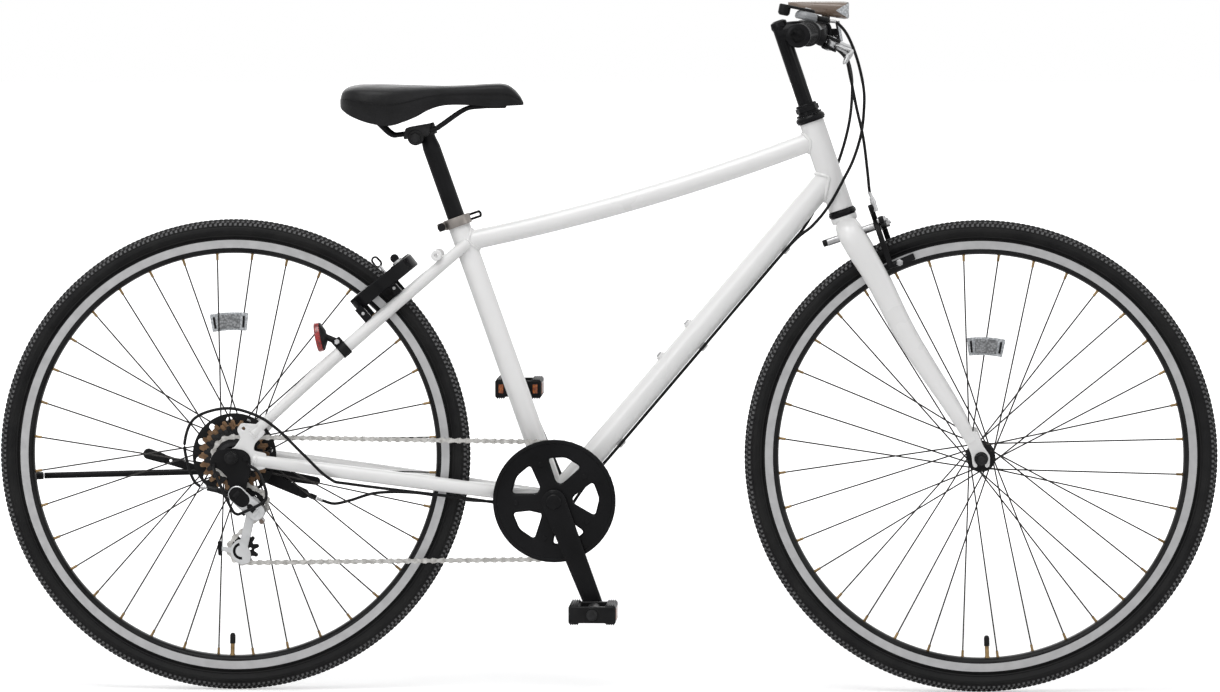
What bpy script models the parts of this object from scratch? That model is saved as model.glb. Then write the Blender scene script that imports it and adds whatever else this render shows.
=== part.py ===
"""City bicycle with six-speed derailleur gears, a frame lock and a side stand.

Metres, +Z up. The bicycle points along +X and its chain side faces -Y. The origin is on the
ground, midway between the axles.
"""

import math

import bmesh
import bpy
from mathutils import Matrix, Vector

# Clearance between pieces that seat on each other
GAP = 0.0003

# Wheels
WHEEL_BASE = 1.0837
TYRE_RADIUS = 0.343
TYRE_WIDTH = 0.033
RIM_RADIUS = 0.314
RIM_DEPTH = 0.021
RIM_WIDTH = 0.024
RIM_WALL = 0.0025
RIM_WELL = 0.008
WHEEL_STEPS = 36
SPOKE_COUNT = 36
SPOKE_SIZE = 0.0016
SPOKE_CROSSINGS = 3
SPOKE_SPLAY = 0.0014
AXLE_RADIUS = 0.0048
CONE_RADIUS = 0.0085
NUT_RADIUS = 0.0095
NUT_LENGTH = 0.009
AXLE_STUB = 0.005

# Hubs, measured along the axle from the wheel's middle plane
FRONT_WIDTH = 0.100
FRONT_FLANGE = 0.031
FRONT_FLANGE_RADIUS = 0.021
FRONT_BARREL_RADIUS = 0.0125
REAR_WIDTH = 0.130
REAR_FLANGE_RADIUS = 0.024
REAR_BARREL_RADIUS = 0.0145
REAR_LEFT_FLANGE = 0.029
REAR_RIGHT_FLANGE = 0.0125
FREEWHEEL_BOSS_RADIUS = 0.016
FLANGE_THICKNESS = 0.003
PROTECTOR_RADIUS = 0.061
PROTECTOR_THICKNESS = 0.0015
DRUM_RADIUS = 0.040
DRUM_WIDTH = 0.014

# Frame
BRACKET_FORWARD = 0.467
BRACKET_DROP = 0.063
SHELL_RADIUS = 0.0205
SHELL_WIDTH = 0.070
SHELL_WALL = 0.0035
TUBE_WALL = 0.0016
SEAT_TUBE_ANGLE = math.radians(19.5)
SEAT_TUBE_LENGTH = 0.430
SEAT_TUBE_RADIUS = 0.016
HEAD_ANGLE = math.radians(18.7)
HEAD_TUBE_LENGTH = 0.134
HEAD_TUBE_RADIUS = 0.018
HEAD_TUBE_WALL = 0.0022
TOP_TUBE_RADIUS = 0.0143
TOP_TUBE_RISE = 0.011
TOP_TUBE_SEAT_END = SEAT_TUBE_LENGTH - 0.034
TOP_TUBE_HEAD_END = 0.108
DOWN_TUBE_RADIUS = 0.01745
DOWN_TUBE_HEAD_END = 0.051
SEAT_STAY_RADIUS = 0.0092
SEAT_STAY_END_RADIUS = 0.0072
SEAT_STAY_START = SEAT_TUBE_LENGTH - 0.037
CHAIN_STAY_RADIUS = 0.0105
CHAIN_STAY_END_RADIUS = 0.0085
DROPOUT_THICKNESS = 0.005
BOSS_RADIUS = 0.007

# Fork and steering, measured up the steering axis from the foot of the head tube
FORK_LENGTH = 0.404
FORK_RAKE = 0.0774
FORK_TIP_THICKNESS = 0.006
STEERER_RADIUS = 0.0127
QUILL_RADIUS = 0.0111
STEERER_TOP = 0.158
CUP_HEIGHT = 0.010
UPPER_CUP_RADIUS = 0.0215
LOWER_CUP_RADIUS = 0.0205
CUP_INSERT = 0.009
LOCKNUT_RADIUS = 0.0153
LOCKNUT_LIP = 0.003
CROWN_DROP = 0.030
STEM_HEIGHT = 0.255
STEM_TOP = 0.288
STEM_REACH = 0.0537
STEM_INSERT = 0.095
CLAMP_RADIUS = 0.017
CLAMP_WIDTH = 0.036
BAR_RADIUS = 0.0111
BAR_BULGE_RADIUS = 0.0127
BAR_WIDTH = 0.580
BAR_SWEEP = 0.028
BAR_DROP = 0.004
BAR_STRAIGHT = 0.045
GRIP_LENGTH = 0.112
GRIP_RADIUS = 0.0165

# Drive
CHAIN_LINE = 0.048
CHAIN_WIDTH = 0.0068
CHAIN_HEIGHT = 0.008
CHAIN_PITCH = 0.0127
CHAIN_ARC = math.radians(15.0)
MITRE_LIMIT = 0.5
CHAINRING_TEETH = 42
SPROCKET_TEETH = (14, 16, 18, 20, 22, 24)
SPROCKET_SPACING = 0.005
PULLEY_TEETH = 10
CRANK_LENGTH = 0.165
CRANK_ANGLE = math.radians(21.2)
CRANK_INNER_FACE = 0.060
CRANK_THICKNESS = 0.014
AXLE_SHAFT_RADIUS = 0.0085
PEDAL_CENTRE = 0.135
PEDAL_WIDTH = 0.094
PEDAL_LENGTH = 0.069
PEDAL_HEIGHT = 0.030
SPINDLE_RADIUS = 0.0055
GUARD_RADIUS = 0.089
GUARD_THICKNESS = 0.0025
CHAINRING_THICKNESS = 0.003

# Seat, measured up the seat tube's axis from the bottom bracket
POST_RADIUS = 0.0127
POST_FOOT = 0.300
POST_TOP = 0.560
CLAMP_BAND_HEIGHT = 0.014
CLAMP_BAND_WALL = 0.0035

# Values worked out from the ones above
FREEWHEEL_END = CHAIN_LINE + 0.0025
PROTECTOR_FACE = REAR_RIGHT_FLANGE + SPOKE_SPLAY + SPOKE_SIZE + GAP
HANGER_THICKNESS = 0.003
STAND_PLATE = 0.004
STAY_END = REAR_WIDTH / 2 + DROPOUT_THICKNESS / 2
LUG_RADIUS = 0.0078
LUG_SHARE = 0.18
LUG_RISE = 0.015
GUIDE_DROP = 0.006
GUIDE_WIDTH = 0.009
BOSS_SHARES = (0.418, 0.518)
DOWN_GUIDE_SHARES = (0.80, 0.50, 0.20)
STEERER_BORE = HEAD_TUBE_RADIUS - HEAD_TUBE_WALL
SHELL_BORE = SHELL_RADIUS - SHELL_WALL
SEAT_BORE = POST_RADIUS + 1.5 * GAP
BLADE_SPREAD = 0.035
BLADE_END = FRONT_WIDTH / 2 + FORK_TIP_THICKNESS / 2
CALIPER_PIVOT = -0.039
CALIPER_BOLT = 0.003
LEVER_STATION = BAR_WIDTH / 2 - GRIP_LENGTH - 0.013
LEVER_PIVOT_OFFSET = (0.032, -0.015)
LEVER_SLOT = 0.0045
LEVER_BLADE = (
    (0.0, 0.004, -0.0018), (0.018, 0.018, -0.0082), (0.040, 0.027, -0.014),
    (0.065, 0.024, -0.018), (0.090, 0.020, -0.021), (0.108, 0.021, -0.022),
)
SHIFTER_STATION = LEVER_STATION - 0.023
SHIFTER_PLACE = (-0.008, 0.018)
SHIFTER_HEIGHT = 0.012
CRANK_EYE_RADIUS = 0.0175
CRANK_TOE_RADIUS = 0.0130
CRANK_BOSS_RADIUS = 0.0155
GUARD_FACE = CHAIN_LINE + CHAIN_WIDTH / 2 + 0.0012
GUIDE_PULLEY_PLACE = (0.030, -0.068)
TENSION_PULLEY_PLACE = (0.015, -0.134)
PULLEY_BOLT = 0.003
CAGE_FACE = 0.0040
CAGE_PLATE = 0.0015
CAGE_RING = (
    (-0.018, 0.003), (-0.008, 0.014), (0.001, 0.013), (0.012, -0.005), (0.011, -0.019),
    (-0.002, -0.024), (-0.017, -0.013),
)
LINK_TOP = (0.010, -0.052)
LINK_FOOT = (0.038, -0.078)
LINK_MIDDLE = 0.092
LINK_THICKNESS = 0.008
LINK_HALF = 0.0125
LINK_SLOT = 0.0063
LINK_PIN = 0.0025
CABLE_STOP = (-0.034, -0.0435)
CABLE_STOP_SIDE = 0.080
GUARD_WIRE_RADIUS = 0.0022
GUARD_WIRE = (
    (-0.024, -0.009, 0.0), (-0.024, -0.016, 0.003), (-0.019, -0.027, 0.016), (0.002, -0.069, 0.029),
    (0.010, -0.079, 0.029), (0.020, -0.077, 0.029), (0.048, -0.063, 0.029), (0.054, -0.051, 0.029),
    (0.049, -0.034, 0.024), (0.040, -0.019, 0.010), (0.025, -0.010, 0.0),
)
DRUM_INSET = 0.015
BRAKE_ARM_FACE = REAR_WIDTH / 2 - DRUM_INSET + 0.0075 + GAP
ARM_PIN_RADIUS = 0.004
BRAKE_ARM_THICKNESS = 0.003
STAND_PLACE = (-0.020, -0.031)
STAND_SIDE = 0.090
STAND_LEAN = 0.1735
STAND_LENGTH = 0.290
STAND_RADIUS = 0.0046
STAND_FOOT_RADIUS = 0.0056
STAND_PIN_RADIUS = 0.005
STAND_LEVER = ((-0.036, 0.000), (-0.116, 0.025))
CALIPER_ARM = 0.008
CALIPER_LAYERS = (0.038, 0.038 + CALIPER_ARM + GAP)
CALIPER_HORN = {-1: (-0.028, 0.026), 1: (-0.007, -0.028)}
SHOE_DROP = 0.060
SHOE_AHEAD = 0.056
SHOE_GAP = 0.002
SHOE_THICKNESS = 0.008
SHOE_LENGTH = 0.046
SHOE_HEIGHT = 0.010
CLAMP_LEVER = ((0.003, -0.003), (0.020, -0.0075), (0.038, -0.007), (0.052, -0.001), (0.058, 0.006))
POST_NECK = 0.012
CLAMP_BOLT = (-0.0152, -0.0029)
CLAMP_BARREL = 0.0115
CLAMP_CHEEK = ((-0.033, -0.006), (0.004, 0.000), (0.0065, 0.0175), (-0.030, 0.011))
RAIL_RADIUS = 0.0035
RAIL_SPREAD = 0.022
RAIL_ROUTE = (
    (-0.088, 0.0385, 0.036), (-0.068, 0.017, 0.028), (-0.051, 0.0015, 0.022), (-0.038, 0.001, 0.022),
    (-0.0135, 0.005, 0.022), (0.011, 0.009, 0.022), (0.020, 0.014, 0.022), (0.055, 0.0375, 0.019),
    (0.080, 0.0420, 0.014), (0.102, 0.0425, 0.009), (0.111, 0.0425, 0.003),
)
CUSHION_DEPTH = 0.022
BASE_THICKNESS = 0.004
REAR_SOCKET = (-0.083, 0.0410, 0.0345)
FRONT_SOCKET = (0.104, 0.0468, 0.0)
SADDLE_STATIONS = (
    (-0.1232, 0.0550, 0.0410, 0.042), (-0.1180, 0.0668, 0.0360, 0.062), (-0.1040, 0.0730, 0.0275, 0.078),
    (-0.0780, 0.0741, 0.0185, 0.087), (-0.0490, 0.0738, 0.0150, 0.084), (-0.0220, 0.0731, 0.0240, 0.070),
    (0.0000, 0.0725, 0.0355, 0.054), (0.0270, 0.0721, 0.0436, 0.040), (0.0620, 0.0731, 0.0440, 0.031),
    (0.0970, 0.0750, 0.0415, 0.0265), (0.1140, 0.0741, 0.0425, 0.0245), (0.1260, 0.0671, 0.0432, 0.0205),
    (0.1350, 0.0571, 0.0435, 0.0130), (0.1400, 0.0481, 0.0440, 0.0050),
)
LOCK_PLACE = (0.2154, 0.2490)
LOCK_SLOPE = (-0.782, -0.624)
LOCK_RADIUS = 0.058
LOCK_BORE = 0.040
LOCK_MIDDLE = 0.049
LOCK_THICKNESS = 0.020
LOCK_OPENING = 28.0
LOCK_CHANNEL_END = 112.0
LOCK_LEG_SHARES = (0.50, 0.74)
LOCK_KEY = (-0.038, -0.022)
BOLT_RADIUS = 0.0045
BOLT_TIP = 30.0
BOLT_TAIL = 108.0
BOLT_LEVER = 100.0
BOLT_LEVER_HEIGHT = 0.022
BOLT_STEM = 0.0025
REFLECTOR_PLACE = (0.123, 0.173, -0.045)
REFLECTOR_SHARE = 0.97
REFLECTOR_RADIUS = 0.0215
CABLE_RADIUS = 0.0022
CABLE_STEP = 0.030
CABLE_BEND = math.radians(9.0)
SHIFT_CABLE = (
    (0.3232, 0.9749, -0.142), (0.333, 0.9725, -0.1405), (0.348, 0.955, -0.125),
    (0.362, 0.920, -0.095), (0.371, 0.880, -0.065),
    (0.372, 0.850, -0.042), (0.368, 0.812, -0.032), (0.357, 0.775, -0.028), (0.343, 0.746, -0.026),
    (0.322, 0.708, -0.020), (0.298, 0.678, -0.011), (0.2587, 0.6422, -0.0071), (0.1395, 0.5014, -0.0071),
    (0.0202, 0.3606, -0.0071), (-0.0315, 0.2997, -0.0071), (-0.0548, 0.2659, -0.008), (-0.0645, 0.2578, -0.009),
    (-0.077, 0.2556, -0.009), (-0.089, 0.2592, -0.010), (-0.142, 0.271, -0.020), (-0.202, 0.282, -0.034),
    (-0.365, 0.303, -0.053), (-0.400, 0.313, -0.068), (-0.438, 0.350, -0.0805), (-0.473, 0.384, -0.0805),
    (-0.505, 0.405, -0.0805), (-0.548, 0.415, -0.081), (-0.593, 0.401, -0.081), (-0.608, 0.367, -0.081),
    (-0.604, 0.335, -0.0805), (-0.5955, 0.311, -0.080), (-0.5856, 0.3017, -0.080), (-0.5768, 0.2998, -0.080),
)
REAR_BRAKE_CABLE = (
    (0.3268, 0.9376, 0.1300), (0.330, 0.937, 0.1205), (0.345, 0.922, 0.092),
    (0.353, 0.895, 0.068), (0.354, 0.862, 0.046),
    (0.350, 0.825, 0.033), (0.340, 0.785, 0.026), (0.325, 0.745, 0.0245), (0.305, 0.708, 0.020),
    (0.285, 0.674, 0.012), (0.2587, 0.6422, 0.0071), (0.1395, 0.5014, 0.0071), (0.0202, 0.3606, 0.0071),
    (-0.0315, 0.2997, 0.0071), (-0.0548, 0.2659, 0.008), (-0.0645, 0.2578, 0.009), (-0.077, 0.2556, 0.009),
    (-0.089, 0.2592, 0.010), (-0.142, 0.271, 0.021), (-0.215, 0.275, 0.038), (-0.284, 0.284, 0.048),
    (-0.340, 0.283, 0.055), (-0.378, 0.272, 0.0585), (-0.402, 0.2668, 0.0593), (-0.4195, 0.2713, 0.0593),
    (-0.4280, 0.2747, 0.0593),
)
FRONT_BRAKE_CABLE = (
    (0.3266, 0.93764, -0.13066), (0.330, 0.937, -0.1205), (0.3455, 0.921, -0.094),
    (0.352, 0.895, -0.068), (0.361, 0.850, -0.055),
    (0.371, 0.805, -0.046), (0.377, 0.757, -0.035), (0.3799, 0.7287, -0.0263), (0.3830, 0.7193, -0.026),
)

UP = Vector((0.0, 0.0, 1.0))
FORWARD = Vector((1.0, 0.0, 0.0))
LEFT = Vector((0.0, 1.0, 0.0))
ORIGIN = Vector((0.0, 0.0, 0.0))


def side(x, z, y=0.0):
    """A point given as it lies in the side view, y metres to the left of the middle plane."""
    return Vector((x, y, z))


def at_side(point, y):
    """The same point of the side view, moved to another distance from the middle plane."""
    return Vector((point.x, y, point.z))


# Main points of the bicycle
REAR_AXLE = side(-WHEEL_BASE / 2, TYRE_RADIUS)
FRONT_AXLE = side(WHEEL_BASE / 2, TYRE_RADIUS)
BRACKET = REAR_AXLE + side(BRACKET_FORWARD, -BRACKET_DROP)
STEER_UP = side(-math.sin(HEAD_ANGLE), math.cos(HEAD_ANGLE))
STEER_AHEAD = side(math.cos(HEAD_ANGLE), math.sin(HEAD_ANGLE))
SEAT_UP = side(-math.sin(SEAT_TUBE_ANGLE), math.cos(SEAT_TUBE_ANGLE))
SEAT_AHEAD = side(math.cos(SEAT_TUBE_ANGLE), math.sin(SEAT_TUBE_ANGLE))
SHIFT_AXIS = side(0.2, 0.98).normalized()
LOCK_CENTRE = REAR_AXLE + side(*LOCK_PLACE)
LOCK_DOWN = side(*LOCK_SLOPE).normalized()
LOCK_NORMAL = LEFT.cross(LOCK_DOWN)
HEAD_FOOT = FRONT_AXLE + STEER_UP * FORK_LENGTH - STEER_AHEAD * FORK_RAKE


def steer(along, ahead=0.0, y=0.0):
    """A point measured up the steering axis, ahead of it and to the left."""
    return HEAD_FOOT + STEER_UP * along + STEER_AHEAD * ahead + LEFT * y


def seat(along, ahead=0.0, y=0.0):
    """A point measured up the seat tube's axis, ahead of it and to the left."""
    return BRACKET + SEAT_UP * along + SEAT_AHEAD * ahead + LEFT * y


def wheel_point(axle, radius, degrees, y=0.0):
    """A point at a radius and an angle round an axle, 0 degrees ahead and 90 degrees up."""
    angle = math.radians(degrees)
    return axle + side(radius * math.cos(angle), radius * math.sin(angle), y)


# Shapes


def skinned(rings, loop=False):
    """One closed mesh over rings of points, with flat ends, or closed round when it loops."""
    solid = bmesh.new()
    rows = [[solid.verts.new(point) for point in ring] for ring in rings]
    following = rows[1:] + rows[:1] if loop else rows[1:]
    for row, next_row in zip(rows, following):
        for index in range(len(row)):
            after = (index + 1) % len(row)
            solid.faces.new((row[index], row[after], next_row[after], next_row[index]))
    if not loop:
        solid.faces.new(rows[0])
        solid.faces.new(rows[-1])
    bmesh.ops.recalc_face_normals(solid, faces=solid.faces)
    return solid


def square_to(axis):
    """Two directions square to an axis and to each other; the first points down if it can."""
    axis = axis.normalized()
    guide = FORWARD if abs(axis.z) > 0.9 else -UP
    first = (guide - axis * guide.dot(axis)).normalized()
    return first, axis.cross(first)


def circle(centre, axis, radius, steps, turn=0.0):
    """Points of a circle round an axis."""
    first, second = square_to(axis)
    angles = [turn + 2 * math.pi * index / steps for index in range(steps)]
    return [centre + (first * math.cos(a) + second * math.sin(a)) * radius for a in angles]


def turned(profile, centre, axis, steps):
    """A turned piece from (radius, distance along the axis) pairs, closed by flat ends."""
    axis = axis.normalized()
    return skinned([circle(centre + axis * along, axis, radius, steps) for radius, along in profile])


def turned_ring(profile, centre, axis, steps):
    """A turned piece with a bore, from a closed outline of (radius, distance along) pairs."""
    axis = axis.normalized()
    first, second = square_to(axis)
    rings = []
    for index in range(steps):
        angle = 2 * math.pi * index / steps
        outward = first * math.cos(angle) + second * math.sin(angle)
        rings.append([centre + outward * radius + axis * along for radius, along in profile])
    return skinned(rings, loop=True)


def rod(start, end, radius, steps=12):
    """A round bar between two points."""
    axis = end - start
    return turned([(radius, 0.0), (radius, axis.length)], start, axis, steps)


def around(radius, steps):
    """The radius of a bore whose flats clear a shaft of a given radius."""
    return (radius + GAP) / math.cos(math.pi / steps)


def tube(path, sizes, steps=10, across=LEFT):
    """A bar along a path. A size is a radius, or a pair: square to the across line, and along it."""
    if not isinstance(sizes, (list, tuple)):
        sizes = [sizes] * len(path)
    rings = []
    for index, point in enumerate(path):
        before = path[max(index - 1, 0)]
        after = path[min(index + 1, len(path) - 1)]
        heading = (after - before).normalized()
        sideways = (across - heading * across.dot(heading)).normalized()
        upward = sideways.cross(heading)
        size = sizes[index]
        tall, wide = size if isinstance(size, tuple) else (size, size)
        ring = []
        for step in range(steps):
            angle = 2 * math.pi * (step + 0.5) / steps
            ring.append(point + upward * tall * math.sin(angle) + sideways * wide * math.cos(angle))
        rings.append(ring)
    return skinned(rings)


def smooth(points, spacing):
    """Points about one spacing apart on a smooth curve through the given points."""
    ends = [points[0] * 2 - points[1]] + list(points) + [points[-1] * 2 - points[-2]]
    curve = []
    for a, b, c, d in zip(ends, ends[1:], ends[2:], ends[3:]):
        count = max(1, round((c - b).length / spacing))
        for index in range(count):
            t = index / count
            curve.append(
                b + (c - a) * (t / 2) + (a * 2 - b * 5 + c * 4 - d) * (t ** 2 / 2)
                + (b * 3 - a - c * 3 + d) * (t ** 3 / 2)
            )
    curve.append(points[-1])
    return curve


def slab(outline, origin, right, up, near, far, holes=()):
    """A flat plate: an outline of (right, up) pairs, from near to far along right x up."""
    normal = right.cross(up).normalized()
    solid = bmesh.new()
    edges = []
    for loop in (outline, *holes):
        verts = [solid.verts.new(origin + right * a + up * b + normal * near) for a, b in loop]
        edges += [solid.edges.new(pair) for pair in zip(verts, verts[1:] + verts[:1])]
    bmesh.ops.triangle_fill(solid, use_beauty=True, use_dissolve=False, edges=edges)
    grown = bmesh.ops.extrude_face_region(solid, geom=list(solid.faces))
    moved = [item for item in grown["geom"] if isinstance(item, bmesh.types.BMVert)]
    bmesh.ops.translate(solid, verts=moved, vec=normal * (far - near))
    bmesh.ops.recalc_face_normals(solid, faces=solid.faces)
    return solid


def plate(outline, near, far, holes=(), origin=ORIGIN):
    """A plate parallel to the middle plane, from (x, z) pairs, between two values of y."""
    return slab(outline, origin, FORWARD, UP, -near, -far, holes)


def box(centre, size, right=FORWARD, up=UP):
    """A block of a given size along right, right x up and up."""
    half_a, half_b = size[0] / 2, size[2] / 2
    outline = [(-half_a, -half_b), (half_a, -half_b), (half_a, half_b), (-half_a, half_b)]
    return slab(outline, centre, right, up, -size[1] / 2, size[1] / 2)


def round_outline(centre, radius, steps, turn=0.0):
    """An outline of a disc, as pairs."""
    angles = [turn + 2 * math.pi * index / steps for index in range(steps)]
    return [(centre[0] + radius * math.cos(a), centre[1] + radius * math.sin(a)) for a in angles]


def capsule(a, b, radius_a, radius_b, steps=6):
    """An outline of two discs and their common tangents, as pairs."""
    across, rise = b[0] - a[0], b[1] - a[1]
    heading = math.atan2(rise, across)
    lean = math.acos((radius_a - radius_b) / math.hypot(across, rise))
    outline = []
    for centre, radius, first, last in (
        (a, radius_a, heading + lean, heading + 2 * math.pi - lean),
        (b, radius_b, heading - lean, heading + lean),
    ):
        for index in range(steps + 1):
            angle = first + (last - first) * index / steps
            outline.append((centre[0] + radius * math.cos(angle), centre[1] + radius * math.sin(angle)))
    return outline


def rounded(outline, radius, steps=3):
    """The same outline with each corner rounded by an arc, drawn as a quadratic curve."""
    result = []
    for before, corner, after in zip(outline[-1:] + outline[:-1], outline, outline[1:] + outline[:1]):
        corner_point = Vector(corner)
        entry = Vector(before) - corner_point
        leave = Vector(after) - corner_point
        reach = min(radius, entry.length * 0.45, leave.length * 0.45)
        start = corner_point + entry.normalized() * reach
        end = corner_point + leave.normalized() * reach
        for index in range(steps + 1):
            t = index / steps
            bend = start * (1 - t) ** 2 + corner_point * (2 * t * (1 - t)) + end * t ** 2
            result.append((bend.x, bend.y))
    return result


# Objects


def clear_scene():
    """Remove what a new scene holds."""
    for item in list(bpy.data.objects):
        bpy.data.objects.remove(item, do_unlink=True)


def paint(name, colour, roughness, metallic=0.0):
    """A plain material."""
    material = bpy.data.materials.new(name)
    material.use_nodes = True
    shader = material.node_tree.nodes["Principled BSDF"]
    shader.inputs["Base Color"].default_value = (*colour, 1.0)
    shader.inputs["Roughness"].default_value = roughness
    shader.inputs["Metallic"].default_value = metallic
    material.diffuse_color = (*colour, 1.0)
    return material


def body(name, place, parent=None):
    """An empty on a joint's axis, which carries the pieces that move together."""
    empty = bpy.data.objects.new(name, None)
    bpy.context.scene.collection.objects.link(empty)
    empty.empty_display_size = 0.05
    empty.parent = parent
    empty.location = place - (Vector(parent["place"]) if parent else ORIGIN)
    empty["place"] = place
    return empty


def mesh_object(name, solid, carrier, collection):
    """An object from a mesh in the bicycle's frame, carried by an empty."""
    solid.transform(Matrix.Translation(-Vector(carrier["place"])))
    mesh = bpy.data.meshes.new(name)
    solid.to_mesh(mesh)
    solid.free()
    mesh.shade_smooth()
    mesh.set_sharp_from_angle(angle=math.radians(40.0))
    made = bpy.data.objects.new(name, mesh)
    made.parent = carrier
    collection.objects.link(made)
    return made


def helpers(name, solids, carrier):
    """Hidden solids that are added to a piece or cut from it."""
    group = bpy.data.collections.new(name)
    bpy.context.scene.collection.children.link(group)
    for index, solid in enumerate(solids):
        helper = mesh_object(f"{name}_{index}", solid, carrier, group)
        helper.hide_render = True
        helper.display_type = "WIRE"
    return group


def boolean(made, operation, group):
    """Add or cut a collection of helpers."""
    modifier = made.modifiers.new(operation.title(), "BOOLEAN")
    modifier.operation = operation
    modifier.operand_type = "COLLECTION"
    modifier.collection = group
    modifier.solver = "EXACT"


def piece(name, carrier, material, solids, cuts=()):
    """One named piece: the union of its solids, less its cuts."""
    made = mesh_object(name, solids[0], carrier, bpy.context.scene.collection)
    made.data.materials.append(material)
    if len(solids) > 1:
        boolean(made, "UNION", helpers(f"{name}_parts", solids[1:], carrier))
    if cuts:
        boolean(made, "DIFFERENCE", helpers(f"{name}_cuts", cuts, carrier))
    return made


# Materials

clear_scene()
WHITE = paint("white_paint", (0.86, 0.87, 0.88), 0.25)
BLACK_PAINT = paint("black_paint", (0.015, 0.015, 0.016), 0.3)
BLACK_PLASTIC = paint("black_plastic", (0.02, 0.02, 0.02), 0.5)
GREY_PLASTIC = paint("grey_plastic", (0.30, 0.31, 0.32), 0.45)
TAUPE_PLASTIC = paint("taupe_plastic", (0.20, 0.15, 0.12), 0.4)
RUBBER = paint("black_rubber", (0.025, 0.025, 0.026), 0.8)
VINYL = paint("black_vinyl", (0.02, 0.02, 0.021), 0.55)
STEEL = paint("bare_steel", (0.55, 0.55, 0.56), 0.35, 1.0)
BRIGHT = paint("bright_metal", (0.75, 0.75, 0.76), 0.2, 1.0)
ALLOY = paint("grey_alloy", (0.60, 0.61, 0.62), 0.4, 1.0)
BROWN_STEEL = paint("brown_steel", (0.24, 0.15, 0.09), 0.45, 1.0)
RED_PLASTIC = paint("red_reflector", (0.55, 0.02, 0.02), 0.2)

# Bodies: an empty on each joint's axis

BICYCLE = body("bicycle", ORIGIN)
STEERING = body("steering", HEAD_FOOT, BICYCLE)
FRONT_WHEEL = body("front_wheel", FRONT_AXLE, STEERING)
REAR_WHEEL = body("rear_wheel", REAR_AXLE, BICYCLE)
FREEWHEEL = body("freewheel_axis", REAR_AXLE, BICYCLE)
CRANKS = body("cranks", BRACKET, BICYCLE)

# Wheels


def rim(name, carrier, axle):
    """A box-section rim with a well for the tyre."""
    half = RIM_WIDTH / 2
    inside = half - RIM_WALL
    foot = RIM_RADIUS - RIM_DEPTH
    half_outline = [
        (foot, half * 0.5), (foot + RIM_DEPTH * 0.35, half), (RIM_RADIUS, half),
        (RIM_RADIUS - RIM_WELL, inside),
    ]
    outline = half_outline + [(radius, -y) for radius, y in reversed(half_outline)]
    return piece(name, carrier, ALLOY, [turned_ring(outline, axle, LEFT, WHEEL_STEPS)])


def tyre(name, carrier, axle):
    """A tyre with its tube, whose beads sit in the rim's well."""
    bead = RIM_WIDTH / 2 - RIM_WALL - GAP
    half = TYRE_WIDTH / 2
    height = TYRE_RADIUS - RIM_RADIUS
    half_outline = [
        (RIM_RADIUS - RIM_WELL + GAP, bead - GAP), (RIM_RADIUS + height * 0.42, half),
        (RIM_RADIUS + height * 0.79, half * 0.77), (TYRE_RADIUS, half * 0.28),
    ]
    outline = half_outline + [(radius, -y) for radius, y in reversed(half_outline)]
    return piece(name, carrier, RUBBER, [turned_ring(outline, axle, LEFT, WHEEL_STEPS)])


def spokes(axle, hub_radius, flanges):
    """All spokes of a wheel as separate square bars, laced with crossings from both flanges."""
    solid = bmesh.new()
    per_side = SPOKE_COUNT // 2
    pitch = 360.0 / per_side
    reach = (RIM_RADIUS - RIM_DEPTH) * math.cos(math.pi / WHEEL_STEPS) - GAP - SPOKE_SIZE * 0.1
    for flange, shift in ((flanges[0], -90.0 + pitch / 4), (flanges[1], -90.0 - pitch / 4)):
        for index in range(per_side):
            way = 1 if index % 2 else -1
            angle = shift + pitch * index
            start = wheel_point(axle, hub_radius, angle, flange + way * SPOKE_SPLAY)
            end = wheel_point(axle, reach, angle + way * pitch * SPOKE_CROSSINGS)
            bar = rod(start, end, SPOKE_SIZE * 0.65, 3)
            part = bpy.data.meshes.new("spoke")
            bar.to_mesh(part)
            bar.free()
            solid.from_mesh(part)
            bpy.data.meshes.remove(part)
    return solid


def front_hub():
    """The front hub with its spokes."""
    end = FRONT_WIDTH / 2 - 0.012
    half = FLANGE_THICKNESS / 2
    half_outline = [
        (around(AXLE_RADIUS, 12), end), (CONE_RADIUS + 0.004, end),
        (CONE_RADIUS + 0.004, FRONT_FLANGE + half + 0.002),
        (FRONT_FLANGE_RADIUS, FRONT_FLANGE + half), (FRONT_FLANGE_RADIUS, FRONT_FLANGE - half),
        (FRONT_BARREL_RADIUS, FRONT_FLANGE - half - 0.003),
    ]
    outline = half_outline + [(radius, -y) for radius, y in reversed(half_outline)]
    shell = turned_ring(outline, FRONT_AXLE, LEFT, 12)
    laced = spokes(FRONT_AXLE, FRONT_FLANGE_RADIUS - 0.003, (-FRONT_FLANGE, FRONT_FLANGE))
    piece("front_hub", FRONT_WHEEL, STEEL, [shell, laced])


def axle(name, carrier, material, centre, cones, faces):
    """An axle with cones inside the frame's ends and nuts outside them."""
    profile = []
    for sign, cone, (inner, outer) in ((-1, cones[0], faces[0]), (1, cones[1], faces[1])):
        half = [
            (AXLE_RADIUS, outer + GAP + NUT_LENGTH + AXLE_STUB), (AXLE_RADIUS, inner - GAP),
            (CONE_RADIUS, inner - GAP), (CONE_RADIUS, cone), (AXLE_RADIUS, cone),
        ]
        half = [(radius, sign * y) for radius, y in half]
        profile += half if sign < 0 else half[::-1]
    nuts = []
    for sign, (inner, outer) in ((-1, faces[0]), (1, faces[1])):
        start = centre + LEFT * sign * (outer + GAP)
        nuts.append(rod(start, start + LEFT * sign * NUT_LENGTH, NUT_RADIUS, 6))
    piece(name, carrier, material, [turned(profile, centre, LEFT, 8), *nuts])


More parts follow.
